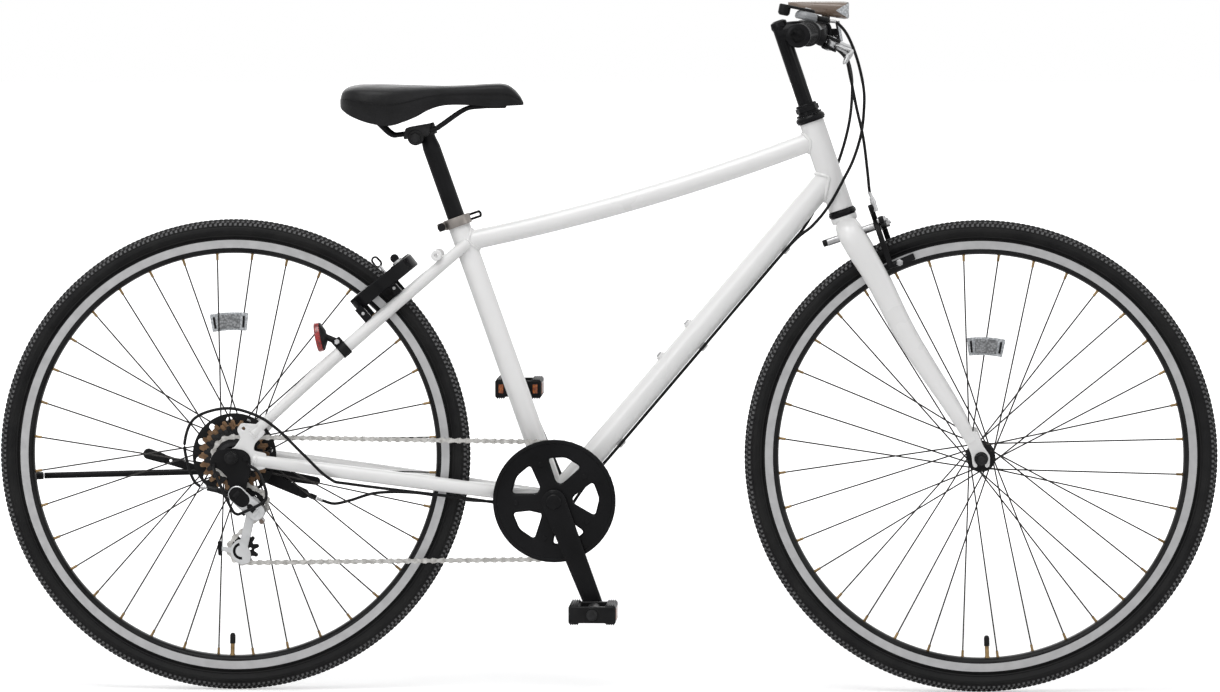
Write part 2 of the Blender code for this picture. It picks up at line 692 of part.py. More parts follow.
def front_axle():
    """The front axle through the fork's ends."""
    inner = FRONT_WIDTH / 2
    cone = inner - 0.012 + GAP
    faces = [(inner, inner + FORK_TIP_THICKNESS)] * 2
    axle("front_axle", STEERING, STEEL, FRONT_AXLE, (cone, cone), faces)


rim("front_rim", FRONT_WHEEL, FRONT_AXLE)
rim("rear_rim", REAR_WHEEL, REAR_AXLE)
tyre("front_tyre", FRONT_WHEEL, FRONT_AXLE)
tyre("rear_tyre", REAR_WHEEL, REAR_AXLE)
front_hub()
front_axle()


def rear_hub():
    """The rear hub with its spokes, the freewheel's boss and the brake drum."""
    half = FLANGE_THICKNESS / 2
    drum_end = REAR_WIDTH / 2 - DRUM_INSET
    drum_start = drum_end - DRUM_WIDTH
    shoulder = REAR_RIGHT_FLANGE + half
    outline = [
        (around(AXLE_RADIUS, 12), -FREEWHEEL_END), (FREEWHEEL_BOSS_RADIUS, -FREEWHEEL_END),
        (FREEWHEEL_BOSS_RADIUS, -shoulder), (REAR_FLANGE_RADIUS, -REAR_RIGHT_FLANGE - half),
        (REAR_FLANGE_RADIUS, -REAR_RIGHT_FLANGE + half), (REAR_BARREL_RADIUS, -REAR_RIGHT_FLANGE + 0.005),
        (REAR_BARREL_RADIUS, REAR_LEFT_FLANGE - 0.005), (REAR_FLANGE_RADIUS, REAR_LEFT_FLANGE - half),
        (REAR_FLANGE_RADIUS, REAR_LEFT_FLANGE + half), (REAR_FLANGE_RADIUS - 0.006, REAR_LEFT_FLANGE + 0.004),
        (REAR_FLANGE_RADIUS - 0.006, drum_start), (DRUM_RADIUS, drum_start),
        (DRUM_RADIUS, drum_end), (around(AXLE_RADIUS, 12), drum_end),
    ]
    shell = turned_ring(outline, REAR_AXLE, LEFT, 12)
    laced = spokes(REAR_AXLE, REAR_FLANGE_RADIUS - 0.003, (-REAR_RIGHT_FLANGE, REAR_LEFT_FLANGE))
    piece("rear_hub", REAR_WHEEL, STEEL, [shell, laced])


def spoke_protector():
    """The plastic disc between the spokes and the freewheel."""
    near = PROTECTOR_FACE
    far = near + PROTECTOR_THICKNESS
    centre = (REAR_AXLE.x, REAR_AXLE.z)
    holes = [round_outline(centre, around(FREEWHEEL_BOSS_RADIUS, 12), 12)]
    for index in range(6):
        angle = 2 * math.pi * (index + 0.5) / 6
        where = (
            centre[0] + PROTECTOR_RADIUS * 0.78 * math.cos(angle),
            centre[1] + PROTECTOR_RADIUS * 0.78 * math.sin(angle),
        )
        holes.append(round_outline(where, 0.006, 6))
    outline = round_outline(centre, PROTECTOR_RADIUS, 24)
    piece("spoke_protector", REAR_WHEEL, BLACK_PLASTIC, [plate(outline, -near, -far, holes)])


def rear_axle():
    """The rear axle; the gear bracket and the stand's plate sit under its nuts."""
    inner = REAR_WIDTH / 2
    outer = inner + DROPOUT_THICKNESS
    right = outer + GAP + HANGER_THICKNESS
    left = outer + GAP + STAND_PLATE
    cones = (FREEWHEEL_END + GAP, inner - DRUM_INSET + GAP)
    axle("rear_axle", BICYCLE, STEEL, REAR_AXLE, cones, [(inner, right), (inner, left)])


def pitch_radius(teeth):
    """The pitch radius of a sprocket."""
    return CHAIN_PITCH / (2 * math.sin(math.pi / teeth))


def root_radius(teeth):
    """The radius of a plain disc that clears the band which stands for the chain."""
    return (pitch_radius(teeth) - CHAIN_HEIGHT / 2) * math.cos(CHAIN_ARC / 2) - GAP


def freewheel():
    """Six sprockets in one block round the hub's boss."""
    first_edge = CHAIN_LINE - CHAIN_WIDTH / 2 - GAP
    outline = [(around(FREEWHEEL_BOSS_RADIUS, 16), -FREEWHEEL_END)]
    edge = FREEWHEEL_END
    for index, teeth in enumerate(SPROCKET_TEETH):
        radius = root_radius(teeth)
        outline.append((radius, -edge))
        edge = first_edge - SPROCKET_SPACING * index
        outline.append((radius, -edge))
    outline.append((around(FREEWHEEL_BOSS_RADIUS, 16), -edge))
    piece("freewheel", FREEWHEEL, BROWN_STEEL, [turned_ring(outline, REAR_AXLE, LEFT, 16)])


def on_chain_stay(sign, share):
    """A point of a chain stay's middle line, from the bracket shell to the dropout."""
    start = BRACKET + side(-0.012, 0.002, sign * 0.024)
    end = REAR_AXLE + side(0.031, -0.004, sign * STAY_END)
    return start.lerp(end, share)


def chain_stay(sign):
    """One chain stay, flattened where it meets the dropout."""
    end_size = (CHAIN_STAY_END_RADIUS, CHAIN_STAY_END_RADIUS * 0.75)
    sizes = [CHAIN_STAY_RADIUS * 0.9, CHAIN_STAY_RADIUS, end_size]
    return tube([on_chain_stay(sign, share) for share in (0.0, 0.55, 1.0)], sizes, 8)


def seat_stay_path(sign):
    """The middle line of a seat stay, from the seat tube to the dropout."""
    return [
        seat(SEAT_STAY_START, 0.002, sign * 0.016),
        REAR_AXLE + side(0.156, 0.151, sign * 0.045),
        REAR_AXLE + side(0.058, 0.060, sign * 0.062),
        REAR_AXLE + side(0.029, 0.031, sign * STAY_END),
    ]


def seat_stay(sign):
    """One seat stay, slightly bent near its foot."""
    end_size = (SEAT_STAY_END_RADIUS, SEAT_STAY_END_RADIUS * 0.8)
    sizes = [SEAT_STAY_RADIUS * 0.9, SEAT_STAY_RADIUS, end_size, end_size]
    return tube(seat_stay_path(sign), sizes, 8)


def on_stay(sign, share, rise=0.0):
    """A point on the upper part of a seat stay, or a little above its middle line."""
    path = seat_stay_path(sign)
    return path[0].lerp(path[1], share) + LEFT.cross(path[1] - path[0]).normalized() * rise


def dropout(sign):
    """A frame end with a slot for the axle and an eyelet above it."""
    x, z = REAR_AXLE.x, REAR_AXLE.z
    shape = [
        (-0.015, -0.014), (0.012, -0.018), (0.036, -0.019), (0.050, -0.016), (0.051, 0.006),
        (0.032, 0.010), (0.034, 0.020), (0.050, 0.036), (0.040, 0.048), (0.014, 0.050),
        (0.008, 0.040), (0.014, 0.028), (0.004, 0.014), (-0.014, 0.010),
    ]
    outline = rounded([(x + a, z + b) for a, b in shape], 0.004, 1)
    near = REAR_WIDTH / 2
    far = near + DROPOUT_THICKNESS
    eyelet = round_outline((x + 0.018, z + 0.042), 0.0026, 8)
    return plate(outline, sign * near, sign * far, [eyelet])


def axle_slot(centre, near, far, length):
    """A cutter for an axle's slot that is open downwards."""
    radius = AXLE_RADIUS + 2 * GAP
    foot = (centre.x, centre.z - length)
    outline = capsule((centre.x, centre.z), foot, radius, radius, 8)
    return plate(outline, near, far)


def frame():
    """The welded frame."""
    top_start, top_end = seat(TOP_TUBE_SEAT_END), steer(TOP_TUBE_HEAD_END)
    rise = (top_end - top_start).normalized().cross(LEFT) * -TOP_TUBE_RISE
    top_path = []
    for index in range(6):
        t = index / 5
        top_path.append(top_start.lerp(top_end, t) + rise * (4 * t * (1 - t)))
    down_path = [BRACKET, steer(DOWN_TUBE_HEAD_END)]
    lugs = []
    for sign in (-1, 1):
        lug = on_stay(sign, LUG_SHARE, LUG_RISE)
        lugs.append(rod(lug, lug + LEFT * sign * 0.015, LUG_RADIUS, 8))
    down_axis = (down_path[1] - down_path[0]).normalized()
    above_down = LEFT.cross(down_axis) * -1
    bosses = []
    for share in BOSS_SHARES:
        foot = down_path[0].lerp(down_path[1], share) + above_down * (DOWN_TUBE_RADIUS - 0.003)
        bosses.append(rod(foot, foot + above_down * 0.006, BOSS_RADIUS, 8))
    guides = []
    for share in DOWN_GUIDE_SHARES:
        point = down_path[0].lerp(down_path[1], share) - above_down * (DOWN_TUBE_RADIUS + GUIDE_DROP / 2)
        guides.append(box(point, (0.012, GUIDE_WIDTH, GUIDE_DROP + 0.003), down_axis, above_down))
    solids = [
        turned([(SEAT_TUBE_RADIUS, 0.0), (SEAT_TUBE_RADIUS, SEAT_TUBE_LENGTH)], BRACKET, SEAT_UP, 12),
        turned([(HEAD_TUBE_RADIUS, 0.0), (HEAD_TUBE_RADIUS, HEAD_TUBE_LENGTH)], steer(0), STEER_UP, 12),
        tube(top_path, TOP_TUBE_RADIUS, 10),
        tube(down_path, DOWN_TUBE_RADIUS, 12),
        turned([(SHELL_RADIUS, -SHELL_WIDTH / 2), (SHELL_RADIUS, SHELL_WIDTH / 2)], BRACKET, LEFT, 12),
        chain_stay(-1), chain_stay(1), seat_stay(-1), seat_stay(1), dropout(-1), dropout(1),
        rod(on_stay(-1, 0.33), on_stay(1, 0.33), 0.006, 8),
        rod(on_chain_stay(-1, 0.13), on_chain_stay(1, 0.13), 0.007, 8),
        *lugs, *bosses, *guides,
    ]
    reach = REAR_WIDTH / 2 + DROPOUT_THICKNESS + 0.01
    bore = STEERER_BORE
    cuts = [
        turned([(SEAT_BORE, 0.0), (SEAT_BORE, SEAT_TUBE_LENGTH + 0.01)], BRACKET, SEAT_UP, 12),
        turned([(bore, -0.01), (bore, HEAD_TUBE_LENGTH + 0.01)], steer(0), STEER_UP, 12),
        tube(top_path, TOP_TUBE_RADIUS - TUBE_WALL, 6),
        tube(down_path, DOWN_TUBE_RADIUS - TUBE_WALL, 6),
        turned([(SHELL_BORE, -SHELL_WIDTH), (SHELL_BORE, SHELL_WIDTH)], BRACKET, LEFT, 12),
        axle_slot(REAR_AXLE, -reach, -reach + 0.025, 0.03),
        axle_slot(REAR_AXLE, reach - 0.025, reach, 0.03),
    ]
    piece("frame", BICYCLE, WHITE, solids, cuts)


rear_hub()
spoke_protector()
rear_axle()
freewheel()
frame()


# Headset, fork and steering


def headset_cup(name, foot, way, radius):
    """A cup pressed into an end of the head tube; way is 1 above the tube and -1 below it."""
    insert = STEERER_BORE - GAP
    cup_bore = around(STEERER_RADIUS, 12)
    outline = [
        (cup_bore, way * CUP_HEIGHT), (radius * 0.9, way * CUP_HEIGHT), (radius, way * CUP_HEIGHT * 0.7),
        (radius, way * GAP), (insert, way * GAP), (insert, -way * CUP_INSERT), (cup_bore, -way * CUP_INSERT),
    ]
    piece(name, BICYCLE, BLACK_PAINT, [turned_ring(outline, foot, STEER_UP, 12)])


def headset_locknut():
    """The nut on top of the steerer, with a lip that closes round the stem."""
    foot = HEAD_TUBE_LENGTH + CUP_HEIGHT + GAP
    top = STEERER_TOP + GAP + LOCKNUT_LIP
    washer = LOCKNUT_RADIUS + 0.0035
    bore, lip_bore = STEERER_RADIUS + GAP, QUILL_RADIUS + GAP
    outline = [
        (bore, foot), (washer, foot), (washer, foot + 0.003), (LOCKNUT_RADIUS, foot + 0.0035),
        (LOCKNUT_RADIUS, top - 0.001), (LOCKNUT_RADIUS - 0.001, top), (lip_bore, top),
        (lip_bore, STEERER_TOP + GAP), (bore, STEERER_TOP + GAP),
    ]
    piece("headset_locknut", STEERING, BLACK_PAINT, [turned_ring(outline, steer(0), STEER_UP, 12)])


def fork_blade(sign):
    """One blade, oval and tapered, which bends forward a little."""
    path = [
        steer(-0.024, 0.0, sign * 0.012), steer(-0.036, 0.002, sign * 0.030),
        steer(-0.060, 0.007, sign * (BLADE_SPREAD + 0.0015)),
        steer(-0.112, 0.018, sign * (BLADE_SPREAD + 0.002)),
        steer(-0.205, 0.032, sign * (BLADE_SPREAD + 0.006)),
        FRONT_AXLE + side(-0.040, 0.070, sign * BLADE_END),
        FRONT_AXLE + side(-0.014, 0.024, sign * BLADE_END),
    ]
    sizes = [
        (0.0120, 0.0185), (0.0125, 0.0195), (0.0118, 0.0192), (0.0110, 0.0172),
        (0.0100, 0.0150), (0.0085, 0.0110), (0.0075, 0.0085),
    ]
    return tube(path, sizes, 8, STEER_AHEAD)


def caliper_point(down, out, ahead):
    """A point of the caliper: below its pivot, to the left and ahead of it."""
    return steer(CALIPER_PIVOT - down, ahead, out)


def caliper_bolt():
    """The bolt through the crown that carries the brake's arms, one piece with the fork."""
    front = CALIPER_LAYERS[1] + CALIPER_ARM
    return [
        rod(caliper_point(0.0, 0.0, -0.041), caliper_point(0.0, 0.0, front + 0.008), CALIPER_BOLT, 8),
        rod(caliper_point(0.0, 0.0, front + GAP), caliper_point(0.0, 0.0, front + 0.005), 0.0065, 6),
        rod(caliper_point(0.0, 0.0, -0.040), caliper_point(0.0, 0.0, -0.0165), 0.0055, 6),
        rod(caliper_point(0.0, 0.0, 0.0165), caliper_point(0.0, 0.0, CALIPER_LAYERS[0] - GAP), 0.006, 8),
    ]


def fork():
    """The welded fork: steerer, crown, two blades and their ends."""
    crown_foot = -CROWN_DROP - 0.010
    steerer = turned(
        [(STEERER_RADIUS, crown_foot), (STEERER_RADIUS, STEERER_TOP)], steer(0), STEER_UP, 12,
    )
    race = turned([
        (LOWER_CUP_RADIUS - 0.002, -CUP_HEIGHT - GAP - 0.008), (LOWER_CUP_RADIUS - 0.001, -CUP_HEIGHT - GAP),
    ], steer(0), STEER_UP, 12)
    half_crown = BLADE_SPREAD - 0.003
    crown_path = [steer(-CROWN_DROP, 0.0, half_crown * share) for share in (-1.0, -0.4, 0.4, 1.0)]
    crown = tube(crown_path, [(0.0165, 0.0170)] * 4, 12, STEER_AHEAD)
    tips = []
    x, z = FRONT_AXLE.x, FRONT_AXLE.z
    shape = [
        (-0.012, -0.012), (0.012, -0.012), (0.013, 0.004), (0.003, 0.018), (-0.006, 0.040),
        (-0.028, 0.036), (-0.014, 0.006),
    ]
    outline = rounded([(x + a, z + b) for a, b in shape], 0.006, 2)
    for sign in (-1, 1):
        near = FRONT_WIDTH / 2
        tips.append(plate(outline, sign * near, sign * (near + FORK_TIP_THICKNESS)))
    far = FRONT_WIDTH / 2 + FORK_TIP_THICKNESS + 0.01
    quill_bore = QUILL_RADIUS + GAP
    cuts = [
        turned([(quill_bore, STEM_INSERT - 0.01), (quill_bore, STEERER_TOP + 0.01)], steer(0), STEER_UP, 12),
        axle_slot(FRONT_AXLE, -far, -far + 0.030, 0.03),
        axle_slot(FRONT_AXLE, far - 0.030, far, 0.03),
    ]
    solids = [steerer, race, crown, fork_blade(-1), fork_blade(1), *tips, *caliper_bolt()]
    piece("fork", STEERING, WHITE, solids, cuts)


def bar_point(y):
    """A point of the handlebar's middle line at a distance to the left."""
    half = BAR_WIDTH / 2
    share = max(0.0, (abs(y) - BAR_STRAIGHT) / (half - BAR_STRAIGHT))
    return steer(STEM_HEIGHT, STEM_REACH, y) + side(-BAR_SWEEP * share, -BAR_DROP * share)


def bar_axis(sign):
    """The direction of the handlebar's outer part, pointing outwards."""
    return (bar_point(sign * BAR_WIDTH / 2) - bar_point(sign * BAR_STRAIGHT)).normalized()


def stem():
    """The quill, its reach and the clamp round the handlebar."""
    quill = turned([
        (QUILL_RADIUS * 0.9, STEM_INSERT), (QUILL_RADIUS, STEM_INSERT + 0.003),
        (QUILL_RADIUS, STEM_TOP - 0.012), (QUILL_RADIUS + 0.0015, STEM_TOP - 0.008),
        (QUILL_RADIUS * 0.75, STEM_TOP),
    ], steer(0), STEER_UP, 12)
    path = [
        steer(STEM_HEIGHT + 0.012, -0.004), steer(STEM_HEIGHT + 0.009, 0.020),
        steer(STEM_HEIGHT, STEM_REACH),
    ]
    reach = tube(path, [(0.0175, 0.0125), (0.0165, 0.0130), (0.0150, 0.0150)], 10)
    centre = bar_point(0)
    half = CLAMP_WIDTH / 2
    clamp = turned([(CLAMP_RADIUS, -half), (CLAMP_RADIUS, half)], centre, LEFT, 12)
    bore_radius = around(BAR_BULGE_RADIUS, 12)
    bore = turned([(bore_radius, -half - 0.01), (bore_radius, half + 0.01)], centre, LEFT, 12)
    socket = turned([(0.0045, STEM_TOP - 0.006), (0.0045, STEM_TOP + 0.01)], steer(0), STEER_UP, 6)
    piece("stem", STEERING, BLACK_PAINT, [quill, reach, clamp], [bore, socket])


def handlebar():
    """The bar, thicker in the clamp and swept back a little."""
    half = BAR_WIDTH / 2 - 0.003
    stations = [-half, -half * 0.55, -0.062, -0.034, -0.028, 0.028, 0.034, 0.062, half * 0.55, half]
    radii = [BAR_RADIUS] * 3 + [BAR_RADIUS] + [BAR_BULGE_RADIUS] * 2 + [BAR_RADIUS] * 4
    piece("handlebar", STEERING, BLACK_PAINT, [tube([bar_point(y) for y in stations], radii, 12, STEER_AHEAD)])


def grip(name, sign):
    """A grip with a closed end and a collar, as a cup over the bar's end."""
    end = bar_point(sign * BAR_WIDTH / 2)
    bore = around(BAR_RADIUS, 12)
    profile = [
        (bore, -0.003 + GAP), (bore, -GRIP_LENGTH), (GRIP_RADIUS + 0.002, -GRIP_LENGTH),
        (GRIP_RADIUS + 0.002, -GRIP_LENGTH + 0.004), (GRIP_RADIUS - 0.001, -GRIP_LENGTH + 0.006),
        (GRIP_RADIUS, -0.006), (GRIP_RADIUS + 0.0005, 0.0),
        (GRIP_RADIUS - 0.003, 0.003),
    ]
    piece(name, STEERING, RUBBER, [turned(profile, end, bar_axis(sign), 12)])


def lever_frame(sign):
    """The pivot of a brake lever and the axis it turns about."""
    pivot = bar_point(sign * LEVER_STATION) + side(*LEVER_PIVOT_OFFSET)
    axis = side(0.42, 0.91)
    return pivot, axis.normalized()


def brake_bracket(name, sign):
    """The band round the bar that carries a brake lever, with the cable's adjuster."""
    centre = bar_point(sign * LEVER_STATION)
    axis = bar_axis(sign)
    pivot, pivot_axis = lever_frame(sign)
    band = turned([(0.0155, -0.009), (0.0155, 0.009)], centre, axis, 12)
    arm = tube([centre, centre.lerp(pivot, 0.55), pivot], [(0.0085, 0.008)] * 3, 8)
    ears = turned([(0.010, -0.009), (0.010, 0.009)], pivot, pivot_axis, 8)
    barrel_start = pivot + side(-0.010, -0.003) - LEFT * sign * 0.004
    barrel_end = barrel_start + side(0.010, -0.002) - LEFT * sign * 0.030
    barrel = rod(barrel_start, barrel_end, 0.005, 8)
    bore = turned([(around(BAR_RADIUS, 12), -0.02), (around(BAR_RADIUS, 12), 0.02)], centre, axis, 12)
    slot = turned([(0.0145, -LEVER_SLOT), (0.0145, LEVER_SLOT)], pivot, pivot_axis, 12)
    piece(name, STEERING, BLACK_PLASTIC, [band, arm, ears, barrel], [bore, slot])


def brake_lever(name, sign, carrier):
    """A flat alloy blade that reaches out in front of the grip."""
    pivot, axis = lever_frame(sign)
    reach = [pivot + LEFT * sign * out + side(ahead, rise) for out, ahead, rise in LEVER_BLADE]
    sizes = [
        (0.0060, LEVER_SLOT - 2 * GAP), (0.0055, LEVER_SLOT - 2 * GAP), (0.0035, 0.0070),
        (0.0030, 0.0078), (0.0030, 0.0078), (0.0030, 0.0050),
    ]
    blade = tube(reach, sizes, 6, axis)
    boss = turned([(0.0075, -LEVER_SLOT + GAP), (0.0075, LEVER_SLOT - GAP)], pivot, axis, 8)
    piece(name, carrier, BRIGHT, [boss, blade])


def shifter():
    """The thumb shifter's housing and its clamp."""
    centre = bar_point(-SHIFTER_STATION)
    axis = bar_axis(-1)
    band = turned([(0.0150, -0.008), (0.0150, 0.008)], centre, axis, 12)
    top = centre + side(*SHIFTER_PLACE)
    post = rod(centre, top, 0.009, 8)
    housing = turned([
        (0.015, 0.0), (0.017, 0.002), (0.016, 0.008), (0.012, SHIFTER_HEIGHT),
    ], top, SHIFT_AXIS, 12)
    barrel_start = top + SHIFT_AXIS * 0.005
    barrel = rod(barrel_start, barrel_start + side(0.032, -0.006), 0.0048, 8)
    bore = turned([(around(BAR_RADIUS, 12), -0.02), (around(BAR_RADIUS, 12), 0.02)], centre, axis, 12)
    piece("shifter", STEERING, GREY_PLASTIC, [band, post, housing, barrel], [bore])


def headlight():
    """The lamp ahead of the bar, with the bracket that holds it to the stem's clamp."""
    centre = bar_point(0)
    sections = [
        (-0.046, 0.0365, 0.0415, 0.010), (-0.030, 0.0295, 0.0425, 0.020), (0.010, 0.0205, 0.0425, 0.028),
        (0.036, 0.0165, 0.0420, 0.031), (0.0425, 0.0180, 0.0400, 0.029),
    ]
    rings = []
    for ahead, low, high, half in sections:
        middle = (low + high) / 2
        tall = (high - low) / 2
        ring = []
        for step in range(12):
            angle = 2 * math.pi * (step + 0.5) / 12
            up = math.copysign(abs(math.sin(angle)) ** 0.6, math.sin(angle)) * tall
            out = math.copysign(abs(math.cos(angle)) ** 0.6, math.cos(angle)) * half
            ring.append(centre + side(ahead, middle + up, out))
        rings.append(ring)
    lamp = skinned(rings)
    band = turned([(0.0165, 0.0), (0.0165, 0.010)], centre + LEFT * (CLAMP_WIDTH / 2 + GAP), LEFT, 12)
    shelf = box(centre + side(0.008, 0.0215, 0.014), (0.012, 0.034, 0.006))
    riser = box(centre + side(0.008, 0.013, CLAMP_WIDTH / 2 + 0.0053), (0.012, 0.0095, 0.020))
    bore_radius = around(BAR_BULGE_RADIUS, 12)
    band_middle = centre + LEFT * (CLAMP_WIDTH / 2 + 0.005)
    bore = turned([(bore_radius, -0.02), (bore_radius, 0.02)], band_middle, LEFT, 12)
    piece("headlight", STEERING, TAUPE_PLASTIC, [lamp, band, shelf, riser], [bore])


RIGHT_LEVER = body("right_lever_pivot", lever_frame(-1)[0], STEERING)
LEFT_LEVER = body("left_lever_pivot", lever_frame(1)[0], STEERING)
headset_cup("headset_lower_cup", steer(0), -1, LOWER_CUP_RADIUS)
headset_cup("headset_upper_cup", steer(HEAD_TUBE_LENGTH), 1, UPPER_CUP_RADIUS)
headset_locknut()
fork()
stem()
handlebar()
grip("right_grip", -1)
grip("left_grip", 1)
brake_bracket("right_brake_bracket", -1)
brake_bracket("left_brake_bracket", 1)
brake_lever("right_brake_lever", -1, RIGHT_LEVER)
brake_lever("left_brake_lever", 1, LEFT_LEVER)
shifter()
headlight()


# Drive


def crank_end(sign):
    """The pedal's axis on a crank; the right crank points down and a little ahead."""
    reach = side(math.sin(CRANK_ANGLE), -math.cos(CRANK_ANGLE)) * CRANK_LENGTH
    return BRACKET - reach * sign


def bottom_bracket():
    """The bearing unit in the shell, with a flange on each side."""
    half = SHELL_WIDTH / 2
    outline = [
        (around(AXLE_SHAFT_RADIUS, 12), -half - 0.004), (SHELL_RADIUS - 0.001, -half - 0.004),
        (SHELL_RADIUS - 0.001, -half - GAP), (SHELL_BORE - GAP * 1.2, -half - GAP),
        (SHELL_BORE - GAP * 1.2, half + GAP), (SHELL_RADIUS - 0.001, half + GAP),
        (SHELL_RADIUS - 0.001, half + 0.004), (around(AXLE_SHAFT_RADIUS, 12), half + 0.004),
    ]
    piece("bottom_bracket", BICYCLE, STEEL, [turned_ring(outline, BRACKET, LEFT, 12)])


def crank_axle():
    """The axle's shaft, which is one piece with the left crank."""
    half = CRANK_INNER_FACE - 0.002
    profile = [
        (AXLE_SHAFT_RADIUS * 0.85, -half), (AXLE_SHAFT_RADIUS, -half + 0.006),
        (AXLE_SHAFT_RADIUS, half - 0.006), (AXLE_SHAFT_RADIUS, half + 0.004),
    ]
    return turned(profile, BRACKET, LEFT, 12)


def crank(name, sign):
    """A crank with its boss on the axle and the pedal's spindle at its end."""
    end = crank_end(sign)
    inner, outer = CRANK_INNER_FACE, CRANK_INNER_FACE + CRANK_THICKNESS
    arm = plate(
        capsule((BRACKET.x, BRACKET.z), (end.x, end.z), CRANK_EYE_RADIUS, CRANK_TOE_RADIUS, 7),
        sign * inner, sign * outer,
    )
    boss = turned([(CRANK_BOSS_RADIUS, SHELL_WIDTH / 2 + 0.0065), (CRANK_BOSS_RADIUS, inner + 0.001)],
                  BRACKET, LEFT * sign, 12)
    cap = turned([(CRANK_EYE_RADIUS * 0.62, outer - 0.001), (CRANK_EYE_RADIUS * 0.55, outer + 0.0025)],
                 BRACKET, LEFT * sign, 12)
    tip = PEDAL_CENTRE + PEDAL_WIDTH / 2 + 0.004
    collar = PEDAL_CENTRE - PEDAL_WIDTH / 2 - GAP
    spindle = turned([
        (SPINDLE_RADIUS, outer - 0.002), (SPINDLE_RADIUS * 1.5, outer - 0.001),
        (SPINDLE_RADIUS * 1.5, collar), (SPINDLE_RADIUS, collar + 0.0001),
        (SPINDLE_RADIUS, tip - 0.004 + GAP), (SPINDLE_RADIUS * 1.5, tip - 0.0036 + GAP),
        (SPINDLE_RADIUS * 1.4, tip),
    ], at_side(end, 0.0), LEFT * sign, 10)
    solids = [arm, boss, cap, spindle]
    if sign > 0:
        piece(name, CRANKS, BLACK_PAINT, [*solids, crank_axle()])
        return
    bore = around(AXLE_SHAFT_RADIUS, 12)
    socket = turned([(bore, 0.0), (bore, inner - 0.001)], BRACKET, -LEFT, 12)
    piece(name, CRANKS, BLACK_PAINT, solids, [socket])


def windows(centre, inner, outer, spread, count=5):
    """Rounded openings between the arms of a chainring or its guard."""
    openings = []
    for index in range(count):
        middle = CRANK_ANGLE + 2 * math.pi * index / count - math.pi / 2
        corners = []
        for radius, turn in ((inner, -spread * 0.4), (inner, spread * 0.4), (outer, spread),
                             (outer * 1.03, 0.0), (outer, -spread)):
            angle = middle + turn
            corners.append((centre[0] + radius * math.cos(angle), centre[1] + radius * math.sin(angle)))
        openings.append(corners)
    return openings


def chainring():
    """The chainring as a plain disc with five arms, seated on the right crank's boss."""
    centre = (BRACKET.x, BRACKET.z)
    holes = [round_outline(centre, around(CRANK_BOSS_RADIUS, 12), 12)]
    holes += windows(centre, GUARD_RADIUS * 0.35, GUARD_RADIUS * 0.70, math.radians(24.0))
    near = CHAIN_LINE - CHAINRING_THICKNESS / 2
    outline = round_outline(centre, root_radius(CHAINRING_TEETH), 30)
    inside, outside = around(CRANK_BOSS_RADIUS, 12) + GAP, GUARD_RADIUS * 0.31
    start, end = near + CHAINRING_THICKNESS - 0.0005, GUARD_FACE - GAP
    spacer = turned_ring(
        [(inside, start), (outside, start), (outside, end), (inside, end)], BRACKET, -LEFT, 12,
    )
    piece("chainring", CRANKS, BLACK_PAINT, [plate(outline, -near, -near - CHAINRING_THICKNESS, holes), spacer])


def chain_guard():
    """The disc outside the chain, with five windows."""
    centre = (BRACKET.x, BRACKET.z)
    holes = [round_outline(centre, around(CRANK_BOSS_RADIUS, 12), 12)]
    holes += windows(centre, GUARD_RADIUS * 0.33, GUARD_RADIUS * 0.72, math.radians(26.0))
    outline = round_outline(centre, GUARD_RADIUS, 30)
    near = GUARD_FACE
    piece("chain_guard", CRANKS, BLACK_PLASTIC, [plate(outline, -near, -near - GUARD_THICKNESS, holes)])


def pedal(name, sign, carrier):
    """A block pedal: two end plates, two treads and the tube round the spindle."""
    centre = at_side(crank_end(sign), sign * PEDAL_CENTRE)
    half = PEDAL_WIDTH / 2
    bore = around(SPINDLE_RADIUS, 12)
    sleeve = turned([(0.0105, -half), (0.0105, half)], centre, LEFT, 8)
    solids = [sleeve]
    for end in (-1, 1):
        middle = centre + LEFT * end * (half - 0.005)
        solids.append(box(middle, (PEDAL_LENGTH, 0.010, PEDAL_HEIGHT * 0.8)))
        tread = centre + FORWARD * end * (PEDAL_LENGTH / 2 - 0.0085)
        solids.append(box(tread, (0.016, PEDAL_WIDTH - 0.003, PEDAL_HEIGHT)))
    cut = turned([(bore, -half - 0.01), (bore, half + 0.01)], centre, LEFT, 12)
    piece(name, carrier, RUBBER, solids, [cut])


def belt(circles):
    """A closed path round circles given as (centre, signed radius), left-hand ones positive."""
    count = len(circles)
    tangents = []
    for index in range(count):
        (start, first), (end, second) = circles[index], circles[(index + 1) % count]
        across, rise = end.x - start.x, end.z - start.z
        heading = math.atan2(rise, across) - math.asin((second - first) / math.hypot(across, rise))
        outward = side(math.sin(heading), -math.cos(heading))
        tangents.append((start + outward * first, end + outward * second))
    path = []
    for index in range(count):
        centre, radius = circles[index]
        arrive, leave = tangents[index - 1][1], tangents[index][0]
        first = math.atan2(arrive.z - centre.z, arrive.x - centre.x)
        last = math.atan2(leave.z - centre.z, leave.x - centre.x)
        sweep = (last - first) % (2 * math.pi)
        if radius < 0:
            sweep -= 2 * math.pi
        steps = max(2, math.ceil(abs(sweep) / CHAIN_ARC))
        for step in range(steps + 1):
            angle = first + sweep * step / steps
            path.append(centre + side(math.cos(angle), math.sin(angle)) * abs(radius))
    return path


